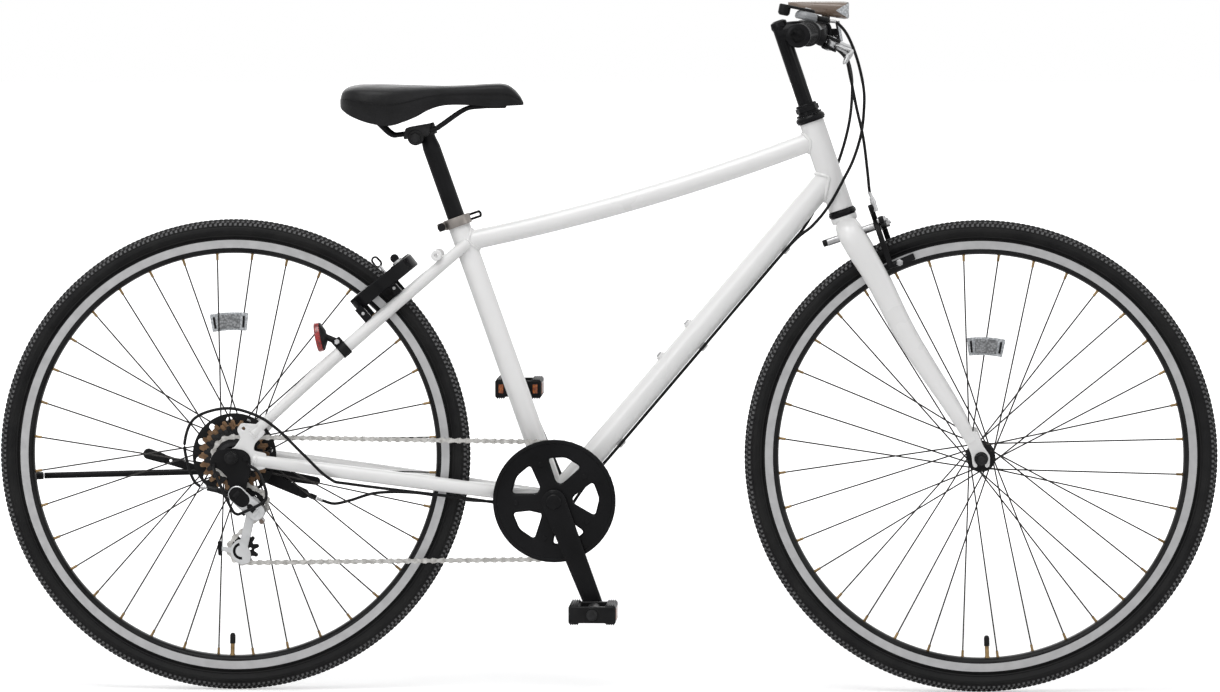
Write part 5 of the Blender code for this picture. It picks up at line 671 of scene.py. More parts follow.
def prisms(ends, index=0):
    """Many prisms at once, from an array of (prisms, 2 ends, places, xyz)."""
    count, _, places, _ = ends.shape
    sides = np.array(skin(ends[0])[1][:-2])
    quads = sides + np.arange(count)[:, None, None] * 2 * places
    caps = [list(range(start, start + places)) for start in range(0, 2 * count * places, places)]
    return ends.reshape(-1, 3), quads.reshape(-1, 4).tolist() + caps, index


def bars(starts, ends, radius, sides=6, index=0):
    """Many thin bars at once, from arrays of starts and ends."""
    heading = units(ends - starts)
    first = units(np.cross(heading, UP if abs(heading[0, 1]) > 0.9 else LEFT))
    second = np.cross(heading, first)
    t = around(sides)
    ring = first[:, None] * np.cos(t)[:, None] + second[:, None] * np.sin(t)[:, None]
    return prisms(np.stack([starts[:, None] + ring * radius, ends[:, None] + ring * radius], axis=1), index)


def lacing(axle, hub_radius, flanges):
    """The spokes' ends at the hub and at the rim, from both flanges."""
    pitch = 360.0 / SPOKES_PER_SIDE
    number = np.arange(SPOKES_PER_SIDE)
    way = np.where(number % 2, 1, -1)
    hub_ends, rim_ends = [], []
    for flange, shift in ((flanges[0], -90.0 + pitch / 4), (flanges[1], -90.0 - pitch / 4)):
        a, b = np.radians(shift + pitch * number), np.radians(shift + pitch * number + way * pitch * 3)
        y = flange + way * 0.0014
        hub_ends.append(axle + np.stack([hub_radius * np.cos(a), y, hub_radius * np.sin(a)], axis=1))
        reach = RIM_RADIUS - RIM_DEPTH + 0.001
        inward = np.full(len(b), np.sign(flange) * 0.0015)
        rim_ends.append(axle + np.stack([reach * np.cos(b), inward, reach * np.sin(b)], axis=1))
    return np.vstack(hub_ends), np.vstack(rim_ends)


HALF_HUB = mm((5.2, 38), (12.5, 38), (12.5, 34.5), (19.5, 33.5), (21, 32.5), (21, 29.7), (19.5, 28.8),
              (13.5, 26.5), (12.2, 20), (11.8, 0))
FRONT_HUB = np.vstack([HALF_HUB, HALF_HUB[-2::-1] * [1, -1]])
REAR_HUB = mm((5.2, -50.5), (16, -50.5), (16, -14), (22.8, -13.8), (24, -13), (24, -11.2), (22.5, -10.5),
              (16, -7.5), (14.2, 0), (14, 12), (16, 24), (22.5, 27.2), (24, 28), (24, 30.2), (22.5, 30.8),
              (18, 33), (18, 36), (39.5, 36), (40, 36.5), (40, 49.5), (39.5, 50), (5.2, 50))


def hub(name, body, axle, profile, hub_radius, flanges):
    """The hub with its flanges, the laced spokes with hooked heads, and the nipples at the rim."""
    starts, ends = lacing(axle, hub_radius, flanges)
    heading = units(ends - starts)
    heads = starts + LEFT * np.sign(starts[:, 1:2] - np.mean(flanges)) * 0.0012
    shapes = [
        turned(rounded(profile, 0.0008, 2), axle, LEFT, 72, True),
        bars(starts, ends, SPOKE_RADIUS, 8, 1),
        bars(heads - LEFT * 0.0012, heads + LEFT * 0.0012, 0.0017, 8, 1),
        bars(ends - heading * 0.01, ends, 0.0019, 8, 2),
        bars(ends - heading * 0.0015, ends - heading * 0.0002, 0.0026, 8, 2),
    ]
    make(name, body, shapes, [black_satin, spoke_steel, brass])


hub("front_hub", "front_wheel", FRONT_AXLE, FRONT_HUB, 0.018, (-0.031, 0.031))
hub("rear_hub", "rear_wheel", REAR_AXLE, REAR_HUB, 0.021, (-0.0125, 0.029))

# %% [markdown]
# Each wheel has a valve, whose stem comes through the rim between two nipples, and a clear
# reflector clipped to its spokes. The reflector is an arc of clear plastic with darker
# prism faces on both sides.

# %% Valves and wheel reflectors


def wheel_place(axle, radius, degrees, y=0.0):
    """A point at a radius and an angle round an axle, 90 degrees up."""
    angle = math.radians(degrees)
    return axle + side(radius * math.cos(angle), radius * math.sin(angle), y)


def valve(name, body, axle, degrees):
    """A rubber stem, a threaded brass tip and its black cap, pointing to the axle."""
    inward = unit(wheel_place(ORIGIN, -1, degrees))
    start = wheel_place(axle, RIM_RADIUS - RIM_DEPTH + 0.002, degrees)
    stem = mm((4, 0), (4, 2), (3, 4), (3, 18), (2.6, 20))
    cap = mm((3.8, 18.5), (4, 19.5), (4, 30), (3, 33), (1.5, 34))
    make(name, body, [turned(stem, start, inward, 24), turned(cap, start, inward, 24, index=1)],
         [brass, black_plastic], trim=True)


def wheel_reflector(name, body, axle, degrees, span, radius):
    """A clear body along an arc, darker prism faces on both sides, and a dark clip at each end."""
    def band(inner, outer, widen, near, far, index):
        outline = np.vstack([
            arc(flat(axle), outer, degrees - span / 2 - widen, degrees + span / 2 + widen, 24),
            arc(flat(axle), inner, degrees + span / 2 + widen, degrees - span / 2 - widen, 24),
        ])
        return plate(rounded(outline, 0.003, 3), near, far, ease=0.0008, index=index)
    shapes = [band(radius - 0.013, radius + 0.013, 0.0, -0.0045, 0.0045, 0)]
    shapes += [band(radius - 0.01, radius + 0.01, -span * 0.2, s * 0.0044, s * 0.0062, 1) for s in (-1, 1)]
    for end in (-1, 1):
        place = wheel_place(axle, radius, degrees + end * span * 0.4)
        outward = unit(place - axle)
        shapes.append(block(place, (0.003, 0.013, 0.017), np.cross(LEFT, outward), outward, 0.001, 0.0006, 2))
    make(name, body, shapes, [clear_lens, prism_mesh, black_plastic], trim=True)


valve("front_valve", "front_wheel", FRONT_AXLE, -88.0)
valve("rear_valve", "rear_wheel", REAR_AXLE, -91.0)
wheel_reflector("front_wheel_reflector", "front_wheel", FRONT_AXLE, 87.5, 18.8, 0.16)
wheel_reflector("rear_wheel_reflector", "rear_wheel", REAR_AXLE, 92.5, 15.6, 0.194)

# %% [markdown]
# The axles' nuts are hexagons with a washer face. A hexagon is a disc of six points whose corners
# are chamfered, which the slab's bevel gives.

# %% Axles


def hexagon(start, axis, radius, height, index=0, ease=0.0008):
    """A nut or bolt head: a six-sided plate along an axis."""
    first, second = square_to(unit(axis))
    return slab(disc((0, 0), radius, 6), start, first, second, 0, height, (), ease, index)


def axle_piece(name, body, centre, cones, faces):
    """A threaded axle, its cones inside the frame's ends, and a nut and a washer outside them."""
    thread = np.linspace(0, 1, 40)
    shapes = []
    for sign, cone, face in ((-1, cones[0], faces[0]), (1, cones[1], faces[1])):
        shapes.append(turned([(0.0085, face[0] - GAP), (0.0085, face[0] - 0.004), (0.007, cone),
                              (0.005, cone)],
                             centre, LEFT * sign, 32))
        start = face[1] + GAP
        shapes.append(turned([(0.01, start), (0.01, start + 0.0015), (0.006, start + 0.0015)],
                             centre, LEFT * sign, 32))
        shapes.append(hexagon(centre + LEFT * sign * (start + 0.0012), LEFT * sign, 0.0092, 0.0078))
        tip = start + 0.0085 + thread * 0.0052
        profile = [(0.0046 + 0.0003 * (k % 2), y) for k, y in enumerate(tip)] + [(0.003, tip[-1] + 0.0005)]
        shapes.append(turned(profile, centre, LEFT * sign, 24))
    shapes.append(turned([(0.0047, -cones[0] - 0.002), (0.0047, cones[1] + 0.002)], centre, LEFT, 24))
    make(name, body, shapes, [dark_steel])


axle_piece("front_axle", "steering", FRONT_AXLE, (0.0383, 0.0383), [(0.05, 0.056)] * 2)
axle_piece("rear_axle", "bicycle", REAR_AXLE, (0.0508, 0.0503), [(0.065, 0.0733), (0.065, 0.0743)])

# %% [markdown]
# ## Frame
# The frame is welded from steel tubes. Each joint has a weld bead: the small tube's circle is
# moved along its own axis until it lies on the big tube, and a rippled ring is carried along that
# curve.

# %% Tubes and welds
STAY_END = 0.0675


def weld(point, axis, radius, big_point, big_axis, big_radius, bead=0.0022, index=0):
    """A rippled bead where a small tube meets a big one: each point of the small tube's circle
    slides along its axis to distance big_radius from the big tube's axis."""
    axis, big_axis = unit(axis), unit(big_axis)
    first, second = square_to(axis)
    t = around(96)[:, None]
    start = point + (first * np.cos(t) + second * np.sin(t)) * (radius + bead * 0.25)
    gap = start - big_point
    across = axis - big_axis * np.dot(axis, big_axis)
    level = gap - (gap @ big_axis)[:, None] * big_axis
    a, b = np.dot(across, across), 2 * level @ across
    c = np.sum(level ** 2, axis=1) - (big_radius + bead * 0.1) ** 2
    root = (-b + np.sqrt(np.maximum(b ** 2 - 4 * a * c, 0.0))) / (2 * a)
    ripple = bead * (1.0 + 0.1 * np.sin(18 * t[:, 0]))
    return tube(start + root[:, None] * axis, ripple, 10, across=axis, loop=True, index=index)


def on_stay(sign, share, rise=0.0):
    """A point on the upper part of a seat stay, or a little above its middle line."""
    top, bend = seat(0.393, 0.002, sign * 0.016), rear(0.156, 0.151, sign * 0.045)
    return top + (bend - top) * share + unit(np.cross(LEFT, bend - top)) * rise


def dropout(sign):
    """A frame end cut from 5 mm plate: a slot for the axle, open downwards, and an eyelet."""
    x, z = REAR_AXLE[0], REAR_AXLE[2]
    shape = mm((-15, -14), (-5.5, -16), (-5.4, -2), (-3.6, 4), (3.6, 4), (5.4, -2), (5.5, -17), (36, -19),
               (50, -16), (51, 6), (32, 10), (34, 20), (50, 36), (40, 48), (14, 50), (8, 40), (14, 28),
               (4, 14), (-14, 10))
    outline = rounded([(x + a, z + b) for a, b in shape], 0.004, 4)
    eyelet = disc((x + 0.018, z + 0.042), 0.0026, 20)
    return plate(outline, sign * 0.065, sign * 0.07, [eyelet], 0.0007)


def cap_end(point, axis, radii):
    """A rounded end of a tube: a quarter of a circle turned about the tube's axis."""
    t = np.linspace(0, math.pi / 2 - 0.05, 7)
    return turned(np.stack([radii * np.cos(t), radii * 0.6 * np.sin(t)], axis=1), point, axis, 28)


top_start, top_end = seat(0.396), steer(0.108)
share = np.linspace(0, 1, 25)[:, None]
arch = unit(np.cross(top_end - top_start, LEFT)) * -0.011
top_line = top_start + (top_end - top_start) * share + arch * 4 * share * (1 - share)
down_end = steer(0.051)
down_axis = unit(down_end - BRACKET)
above_down = -np.cross(LEFT, down_axis)

frame_shapes = [
    turned(hoop(0.0131, 0.016, 0.02, 0.43, 0.0006, 2),
           BRACKET, SEAT_UP, 64, True),
    turned(hoop(0.0158, 0.018, 0, 0.134, 0.0006, 2),
           steer(0), STEER_UP, 64, True),
    tube(top_line, 0.0143, 40), tube([BRACKET, down_end], 0.01745, 48),
    turned(hoop(0.0171, 0.0205, -0.035, 0.035, 0.0007, 2),
           BRACKET, LEFT, 64, True),
    dropout(-1), dropout(1),
    rod(on_stay(-1, 0.33), on_stay(1, 0.33), 0.006, 24),
]
print("top tube is", round(float(np.linalg.norm(top_end - top_start)), 3), "m long")

# %% [markdown]
# The stays taper towards the wheel and end in flattened tips on the dropouts. The upper ends of
# the seat stays are closed by rounded caps beside the seat tube.

# %% Stays, lugs and guides
for sign in (-1, 1):
    lower = [BRACKET + side(-0.012, 0.002, sign * 0.024), rear(0.031, -0.004, sign * STAY_END)]
    middle = lower[0] + (lower[1] - lower[0]) * 0.55
    stay = [
        seat(0.393, 0.002, sign * 0.016), rear(0.156, 0.151, sign * 0.045),
        rear(0.058, 0.06, sign * 0.062), rear(0.029, 0.031, sign * STAY_END),
    ]
    lug = on_stay(sign, 0.18, 0.015)
    bridge = lower[0] + (lower[1] - lower[0]) * 0.13
    frame_shapes += [
        bent([lower[0], middle, lower[1]], mm((9.5, 9.5), (10.5, 10.5), (8.5, 6.4)), 10),
        bent(stay, mm((8.3, 8.3), (9.2, 9.2), (7.2, 5.8), (7.2, 5.8)), 10),
        cap_end(stay[0], stay[0] - stay[1], 0.0083),
        turned(hoop(0.003, 0.0078, 0, 0.015, 0.0007, 2), lug, LEFT * sign, 40, True),
        rod(bridge, at_side(bridge, 0), 0.007, 24),
    ]
    for point, heading, radius in (
        (lower[0], lower[1] - lower[0], 0.0098), (stay[3], stay[2] - stay[3], 0.0068),
        (lower[1], lower[0] - lower[1], 0.0076),
    ):
        first, second = square_to(unit(heading))
        t = around(60)[:, None]
        ring = point + unit(heading) * 0.004 + (first * np.cos(t) + second * np.sin(t)) * radius
        frame_shapes.append(tube(ring, 0.0019 * (1 + 0.1 * np.sin(15 * t[:, 0])), 8, unit(heading),
                                 loop=True))
for share_down in (0.418, 0.518):
    foot = BRACKET + (down_end - BRACKET) * share_down + above_down * 0.01445
    frame_shapes.append(rod(foot, foot + above_down * 0.006, 0.007, 32, 0.0007))
for share_down in (0.8, 0.5, 0.2):
    place = BRACKET + (down_end - BRACKET) * share_down - above_down * 0.02045
    frame_shapes.append(block(place, (0.012, 0.009, 0.009), down_axis, above_down, 0.002))
frame_shapes += [
    weld(top_start, top_line[1] - top_line[0], 0.0143, BRACKET, SEAT_UP, 0.016),
    weld(top_end, top_line[-2] - top_line[-1], 0.0143, steer(0), STEER_UP, 0.018),
    weld(down_end, -down_axis, 0.01745, steer(0), STEER_UP, 0.018, 0.0026),
    weld(BRACKET, down_axis, 0.01745, BRACKET, LEFT, 0.0205, 0.0026),
    weld(BRACKET, SEAT_UP, 0.016, BRACKET, LEFT, 0.0205, 0.0026),
]
make("frame", "bicycle", frame_shapes, [white_paint], 35.0)

bottle_bolts = []
for share_down in (0.418, 0.518):
    foot = BRACKET + (down_end - BRACKET) * share_down + above_down * 0.02045
    bottle_bolts.append(hexagon(foot - above_down * 0.001, above_down, 0.0046, 0.0036, 0, 0.0006))
make("bottle_bolts", "bicycle", bottle_bolts, [steel], trim=True)

# %% [markdown]
# The head tube's bearings sit in black painted cups. The fork turns in them: its oval blades
# curve out of a short domed cross-tube and taper forwards, and slotted plates hold the axle.

# %% Headset and fork


def cup(name, foot, way, radius):
    """A bearing cup with a rolled lip; way is 1 above the head tube and -1 below it."""
    outline = rounded([
        (0.0131, way * 0.01), (radius * 0.9, way * 0.01), (radius, way * 0.007), (radius, way * 0.003),
        (radius - 0.0012, way * 0.0024), (radius - 0.0012, way * GAP), (0.0155, way * GAP),
        (0.0155, -way * 0.009),
        (0.0131, -way * 0.009),
    ], 0.0007, 3)
    make(name, "bicycle", [turned(outline, foot, STEER_UP, 72, True)], [black_gloss])


cup("headset_lower_cup", steer(0), -1, 0.0205)
cup("headset_upper_cup", steer(0.134), 1, 0.0215)

nut_outline = rounded(mm((13, 144.3), (18.8, 144.3), (18.8, 147.3), (15.3, 147.8), (15.3, 160), (14.3, 161.3),
                         (11.4, 161.3), (11.4, 158.3), (13, 158.3)), 0.0006, 2)
make("headset_locknut", "steering", [
    turned(nut_outline, steer(0), STEER_UP, 64, True),
    slab(disc((0, 0), 0.0172, 8), steer(0), *square_to(STEER_UP), 0.15, 0.1575, [disc((0, 0), 0.015, 24)]),
], [black_gloss])

fork_shapes = [
    turned(mm((11.2, -40), (12.7, -40), (12.7, 158), (11.2, 158)), steer(0), STEER_UP, 56, True),
    turned(rounded(mm((12.7, -19), (18.5, -18.5), (19.5, -10.3), (12.7, -10.3)), 0.0008, 3),
           steer(0), STEER_UP, 64, True),
]
crown_y = 0.0352 * np.sin(np.linspace(-math.pi / 2, math.pi / 2, 45))
crown_line = np.stack([steer(-0.03, 0, y) for y in crown_y])
dome = np.sqrt(1.0 - (np.abs(crown_y) / 0.0354) ** 3)
fork_shapes.append(tube(crown_line, np.stack([0.0165 * dome, 0.017 * dome], axis=1), 48, STEER_AHEAD))
for sign in (-1, 1):
    fork_shapes.append(bent([
        steer(-0.024, 0, sign * 0.012), steer(-0.036, 0.002, sign * 0.03), steer(-0.06, 0.007, sign * 0.0365),
        steer(-0.112, 0.018, sign * 0.037), steer(-0.205, 0.032, sign * 0.041),
        FRONT_AXLE + side(-0.04, 0.07, sign * 0.053), FRONT_AXLE + side(-0.014, 0.024, sign * 0.053),
    ], mm((12, 16.8), (12.5, 18.5), (11.8, 19), (11, 17.2), (10, 15), (8.5, 11), (4.8, 8)), 12, 40,
                            STEER_AHEAD))
    x, z = FRONT_AXLE[0], FRONT_AXLE[2]
    tip = mm((-12, -12), (-5.5, -13), (-5.4, -2), (-3.6, 4), (3.6, 4), (5.4, -2), (5.5, -13), (12, -12),
             (13, 4), (3, 18), (-6, 40), (-28, 36), (-14, 6))
    fork_shapes.append(plate(rounded([(x + a, z + b) for a, b in tip], 0.005, 4), sign * 0.05, sign * 0.056))


def caliper_place(down, out, ahead):
    """A point of the front brake: below its pivot, to the left and ahead of it."""
    return steer(-0.039 - down, ahead, out)


bolt_front = 0.038 + 0.0083 + 0.008
fork_shapes += [
    rod(caliper_place(0, 0, 0.0165), caliper_place(0, 0, bolt_front + 0.008), 0.003, 24, index=1),
    hexagon(caliper_place(0, 0, bolt_front + GAP), STEER_AHEAD, 0.0068, 0.0055, 1),
    rod(caliper_place(0, 0, -0.0345), caliper_place(0, 0, -0.015), 0.0056, 32, 0.0006, 1),
    rod(caliper_place(0, 0, -0.0412), caliper_place(0, 0, -0.0335), 0.005, 32, 0.0008, 2),
    rod(caliper_place(0, 0, 0.0165), caliper_place(0, 0, 0.0377), 0.006, 24, index=1),
]
make("fork", "steering", fork_shapes, [white_paint, steel, black_plastic])

# %% [markdown]
# ## Handlebar
# The stem is a quill in the fork's steerer with a clamp at its front. The bar sweeps back a
# little on both sides, and everything on it is placed by its distance from the middle.

# %% Stem and bar


def bar_point(y):
    """A point of the bar's middle line, y to the left: straight first, then swept back and down."""
    share = max(0.0, (abs(y) - 0.045) / 0.245)
    return steer(0.255, 0.0537, y) + side(-0.028 * share, -0.004 * share)


def bar_axis(sign):
    """The direction of the bar's outer part, pointing outwards."""
    return unit(bar_point(sign * 0.29) - bar_point(sign * 0.045))


quill = rounded(mm((0, 95), (10, 95), (11.1, 98), (11.1, 274), (12.8, 278.5), (11.8, 286), (7, 288.5),
                   (4.5, 288.5), (4.5, 283), (0, 283)), 0.0008, 3, False)
reach = [steer(0.267, -0.006), steer(0.2655, 0.01), steer(0.261, 0.03), steer(0.255, 0.0537)]
sleeve = hoop(0.0128, 0.017, -0.018, 0.018)
stem_bolt = steer(0.2395, 0.064)
make("stem", "steering", [
    turned(quill, steer(0), STEER_UP, 64),
    bent(reach, mm((16.5, 12), (17.2, 12.8), (16.5, 13.5), (15, 15)), 8, 40),
    turned(sleeve, bar_point(0), LEFT, 64, True),
    hexagon(steer(0.2835), STEER_UP, 0.0042, 0.003, 1),
    rod(stem_bolt - LEFT * 0.011, stem_bolt + LEFT * 0.011, 0.0062, 32),
    rod(stem_bolt - LEFT * 0.0135, stem_bolt - LEFT * 0.0105, 0.0046, 24, index=1),
], [black_gloss, steel])

stations = np.concatenate([np.linspace(-0.287, -0.045, 12), np.linspace(-0.04, 0.04, 9),
                           np.linspace(0.045, 0.287, 12)])
bulge = 0.0111 + 0.0016 / (1 + np.exp((np.abs(stations) - 0.031) / 0.0016))
make("handlebar", "steering", [tube(np.stack([bar_point(y) for y in stations]), bulge, 40, STEER_AHEAD)],
     [black_satin])

# %% [markdown]
# The grips are soft rubber with a waisted profile. Fine rings run round the palm's part, and
# longer flutes cross the flange, so a hand doesn't slip. The radius is a function of two numbers,
# the place along the grip and the angle round it.

# %% Grips


def grip(name, sign):
    """Radius = profile(along) + small waves along the grip and round it."""
    end, axis = bar_point(sign * 0.29), bar_axis(sign)
    along = np.concatenate([[-0.112, -0.1118], np.linspace(-0.1105, -0.004, 214),
                            [-0.001, 0.0015, 0.0027, 0.003]])
    knots = [-0.112, -0.1118, -0.108, -0.1065, -0.104, -0.085, -0.055, -0.022, -0.012, -0.004, -0.001, 0.0015,
             0.0027, 0.003]
    radii = [0.0172, 0.0182, 0.0186, 0.0182, 0.0155, 0.016, 0.0166, 0.0157, 0.0166, 0.017, 0.017, 0.016,
             0.014, 0.012]
    base = np.interp(along, knots, radii)
    t = around(72)
    palm = ((along > -0.1) & (along < -0.014))[:, None]
    rings = np.where(palm, 0.00035 * np.sign(np.sin(along * 2 * math.pi / 0.003))[:, None], 0.0)
    pads = np.where(np.abs(np.sin(2 * t))[None, :] > 0.28, 1.0, 0.0)
    radius = base[:, None] + rings * pads
    first, second = square_to(axis)
    points = (end + axis * along[:, None])[:, None] + radius[..., None] * (
        np.cos(t)[:, None] * first + np.sin(t)[:, None] * second)
    cap = mm((16.6, 0.6), (17.2, 1), (17.2, 2.2), (15.8, 3.2))
    make(name, "steering", [
        skin(points), turned([(0.0112, -0.002), *cap, (0.0112, 0.0034)], end, axis, 48, True, 1),
        rod(end - axis * 0.004, end + axis * 0.003, 0.0116, 32, 0.001, 0),
    ], [grip_rubber, black_gloss])


grip("right_grip", -1)
grip("left_grip", 1)

# %% [markdown]
# A brake lever is a pressed blade, flat and wide towards its tip, with a small knob at the end.
# Its bracket is moulded plastic round the bar, with a barrel that adjusts the cable. The bracket's
# slot is real: two ears with a gap hold the lever's boss on its pin.

# %% Brake brackets and levers


def lever_frame(sign):
    """The pivot of a lever and the axis it turns about."""
    return bar_point(sign * 0.165) + side(0.032, -0.015), unit(side(0.42, 0.91))


def brake_bracket(name, sign):
    """A band round the bar, an arm to two ears, and the cable's barrel with its knurled ring."""
    centre, axis = bar_point(sign * 0.165), bar_axis(sign)
    pivot, pivot_axis = lever_frame(sign)
    inward = -LEFT * sign
    band = rounded(mm((11.3, -9), (15, -9), (15.8, -6), (15.8, 6), (15, 9), (11.3, 9)), 0.0008, 3)
    ears = []
    for low, high in ((-0.0092, -0.0047), (0.0047, 0.0092)):
        profile = rounded([(0, low), (0.01, low), (0.01, high), (0, high)], 0.001, 3, False)
        ears.append(turned(profile, pivot, pivot_axis, 40))
    start = pivot + side(-0.01, -0.003) + inward * 0.004
    end = pivot + side(0, -0.005) + inward * 0.034
    run = unit(end - start)
    knurl = 0.0058 + 0.0004 * (np.arange(14) % 2)
    barrel = [(0.0046, -0.004), (0.0052, 0.004), (0.005, 0.012)]
    tip = [(0.005, 0.012), *[(r, 0.0125 + 0.0004 * k) for k, r in enumerate(knurl)], (0.0048, 0.0185),
           (0.0048, 0.03), (0.004, 0.0312)]
    shapes = [
        turned(band, centre, axis, 56, True),
        bent([centre + STEER_AHEAD * 0.012, centre + (pivot - centre) * 0.45, pivot - side(0.01, -0.0045)],
             [(0.0105, 0.009), (0.01, 0.0085), (0.0092, 0.0078)], 8, 28),
        *ears, turned(barrel, start, run, 32), turned(tip, start, run, 32, index=1),
        rod(pivot - pivot_axis * 0.01, pivot + pivot_axis * 0.01, 0.003, 24, index=1),
        rod(centre - side(0.0035, 0.015), centre - side(0.0035, 0.0186), 0.0036, 24, index=1),
    ]
    make(name, "steering", shapes, [black_plastic, alloy])


def brake_lever(name, sign, body):
    """A blade carried along a hooked path: narrow at its boss, then flat, wide and thin."""
    pivot, axis = lever_frame(sign)
    route = mm((0, 4, -1.8), (18, 18, -8.2), (40, 27, -14), (65, 24, -18), (90, 20, -21), (106, 21, -22))
    path = [pivot + LEFT * sign * out + side(ahead, rise) for out, ahead, rise in route]
    sizes = mm((5.8, 4), (5.2, 4.2), (3, 6.8), (2.5, 7.8), (2.6, 7.6), (3, 5))
    boss = hoop(0.0031, 0.0075, -0.0042, 0.0042, 0.0006)
    end = path[-1]
    make(name, body, [
        turned(boss, pivot, axis, 40, True), bent(path, sizes, 12, 32, axis),
        turned(mm((0, -5.2), (2.6, -4.8), (3.2, 0), (2.6, 4.8), (0, 5.2)), end, axis, 24),
    ], [alloy])


for word, sign in (("right", -1), ("left", 1)):
    brake_bracket(f"{word}_brake_bracket", sign)
    brake_lever(f"{word}_brake_lever", sign, f"lever_{word}")

# %% [markdown]
# The shifter is a grey moulded housing on its own clamp, with a black thumb lever on top. A
# shallow round recess breaks the highlight on its cover.

# %% Shifter
SHIFT_AXIS = unit(side(0.2, 0.98))
shifter_centre, shifter_top = bar_point(-0.142), bar_point(-0.142) + side(-0.008, 0.018)
housing = rounded(mm((0, 0), (14.5, 0), (16.8, 2.2), (16.6, 7), (14.5, 10.8), (11.8, 12), (10.8, 12),
                     (10.4, 11.3), (0, 11.3)), 0.001, 4, False)
wire_start = shifter_top + SHIFT_AXIS * 0.005
wire_run = unit(side(0.032, -0.006))
ribs = [(0.0044 + 0.0005 * (k % 2), 0.017 + 0.0008 * k) for k in range(14)]
make("shifter", "steering", [
    turned(hoop(0.0113, 0.0152, -0.008, 0.008, 0.001),
           shifter_centre, bar_axis(-1), 56, True),
    bent([shifter_centre + UP * 0.01, shifter_top + UP * 0.001], [(0.0105, 0.009), (0.013, 0.011)], 6, 32),
    turned(housing, shifter_top, SHIFT_AXIS, 56),
    turned([(0.0058, 0.008), (0.0056, 0.016), *ribs, (0.004, 0.0325)], wire_start, wire_run, 32, index=1),
    rod(shifter_centre - side(0.004, 0.014), shifter_centre - side(0.004, 0.0172), 0.0034, 24, index=2),
], [grey_plastic, black_plastic, steel])

shift_pivot = shifter_top + SHIFT_AXIS * 0.0123
behind = np.cross(SHIFT_AXIS, LEFT)
lobe = shift_pivot + behind * 0.033 - SHIFT_AXIS * 0.012
thumb = rounded(mm((0, 0), (6, 0), (8.5, 3), (8.5, 15), (7, 16), (0, 16.2)),
                0.001, 4, False)
make("shift_lever", "thumb_lever", [
    slab(capsule((0, 0), (0.033, 0), 0.0105, 0.008, 24), shift_pivot, behind, LEFT, -0.004, 0, (), 0.0009),
    turned(thumb, lobe, SHIFT_AXIS, 48),
    turned(mm((0, 3.8), (4.2, 3.8), (4.6, 4.4), (3.6, 5.2), (0, 5.2)),
           shift_pivot, SHIFT_AXIS, 32, index=1),
], [black_plastic, steel])

# %% [markdown]
# The headlight is a shell with a rounded-box section that grows forwards. A superellipse gives
# that section: raising the sine and cosine to a power below 1 squares the circle. The lens is
# the same section with a bowl behind clear plastic and a lamp in its middle.

# %% Headlight
LAMP_POWER = 0.55


def lamp_ring(ahead, low, high, half, sides=56):
    """A superellipse ring: up and out are sin^p and cos^p of the angle."""
    t = 2 * math.pi * (np.arange(sides) + 0.5) / sides
    up = np.sign(np.sin(t)) * np.abs(np.sin(t)) ** LAMP_POWER * (high - low) / 2 + (high + low) / 2
    out = np.sign(np.cos(t)) * np.abs(np.cos(t)) ** LAMP_POWER * half
    return bar_point(0) + np.stack([np.full(sides, ahead), out, up], axis=1)


lamp_shell = mm((-46.5, 38.5, 41, 8), (-46, 36.2, 41.8, 11), (-38, 32.5, 42.2, 15.5), (-30, 29.5, 42.4, 20),
                (-12, 25, 42.5, 24.8), (10, 20.7, 42.5, 28), (26, 18, 42.4, 30), (36, 16.6, 42, 30.8),
                (38.5, 17.2, 41.4, 30.2))
bezel = mm((36.8, 17.2, 41.4, 30.2), (39.5, 17.4, 41.2, 30), (41.2, 18.2, 40.4, 29), (40.5, 19.2, 39.4, 27.8),
           (38.5, 19.6, 39, 27.2))
bowl = mm((39.2, 19, 39.6, 28), (34, 21.5, 37.2, 23.5), (28, 25, 33.6, 15), (25, 27.5, 31, 6))
lens = mm((39.6, 19, 39.6, 28), (40.6, 19.4, 39.2, 27.2), (41.4, 22, 36.6, 20), (41.7, 27, 31.6, 8))
shelf = bar_point(0) + side(0.008, 0.0215, 0.014)
riser = bar_point(0) + side(0.008, 0.013, 0.0233)
make("headlight", "steering", [
    skin(np.stack([lamp_ring(*ring) for ring in lamp_shell])),
    skin(np.stack([lamp_ring(*ring) for ring in bezel]), True, 1),
    skin(np.stack([lamp_ring(*ring) for ring in bowl]), index=2),
    turned(hoop(0.0129, 0.0165, 0, 0.01),
           bar_point(0) + LEFT * 0.0183, LEFT, 56, True),
    block(shelf, (0.012, 0.034, 0.006), corner=0.0015), block(riser, (0.012, 0.0095, 0.02), corner=0.0015),
    rod(bar_point(0) + side(0.03, 0.0295), bar_point(0) + side(0.0375, 0.029), 0.004, 24, 0.001, 3),
], [taupe_plastic, black_plastic, chrome, lamp_glass])
lens_side = rounded([tuple(bar_point(0)[[0, 2]] + np.array(p)) for p in
                     ((0.0225, 0.0292), (0.0416, 0.0176), (0.0416, 0.0404))], 0.0025, 5)
make("headlight_lens", "steering", [
    skin(np.stack([lamp_ring(*ring) for ring in lens])),
    *[plate(lens_side, sign * 0.029, sign * 0.0314, (), 0.0006) for sign in (-1, 1)],
], [clear_lens], trim=True)

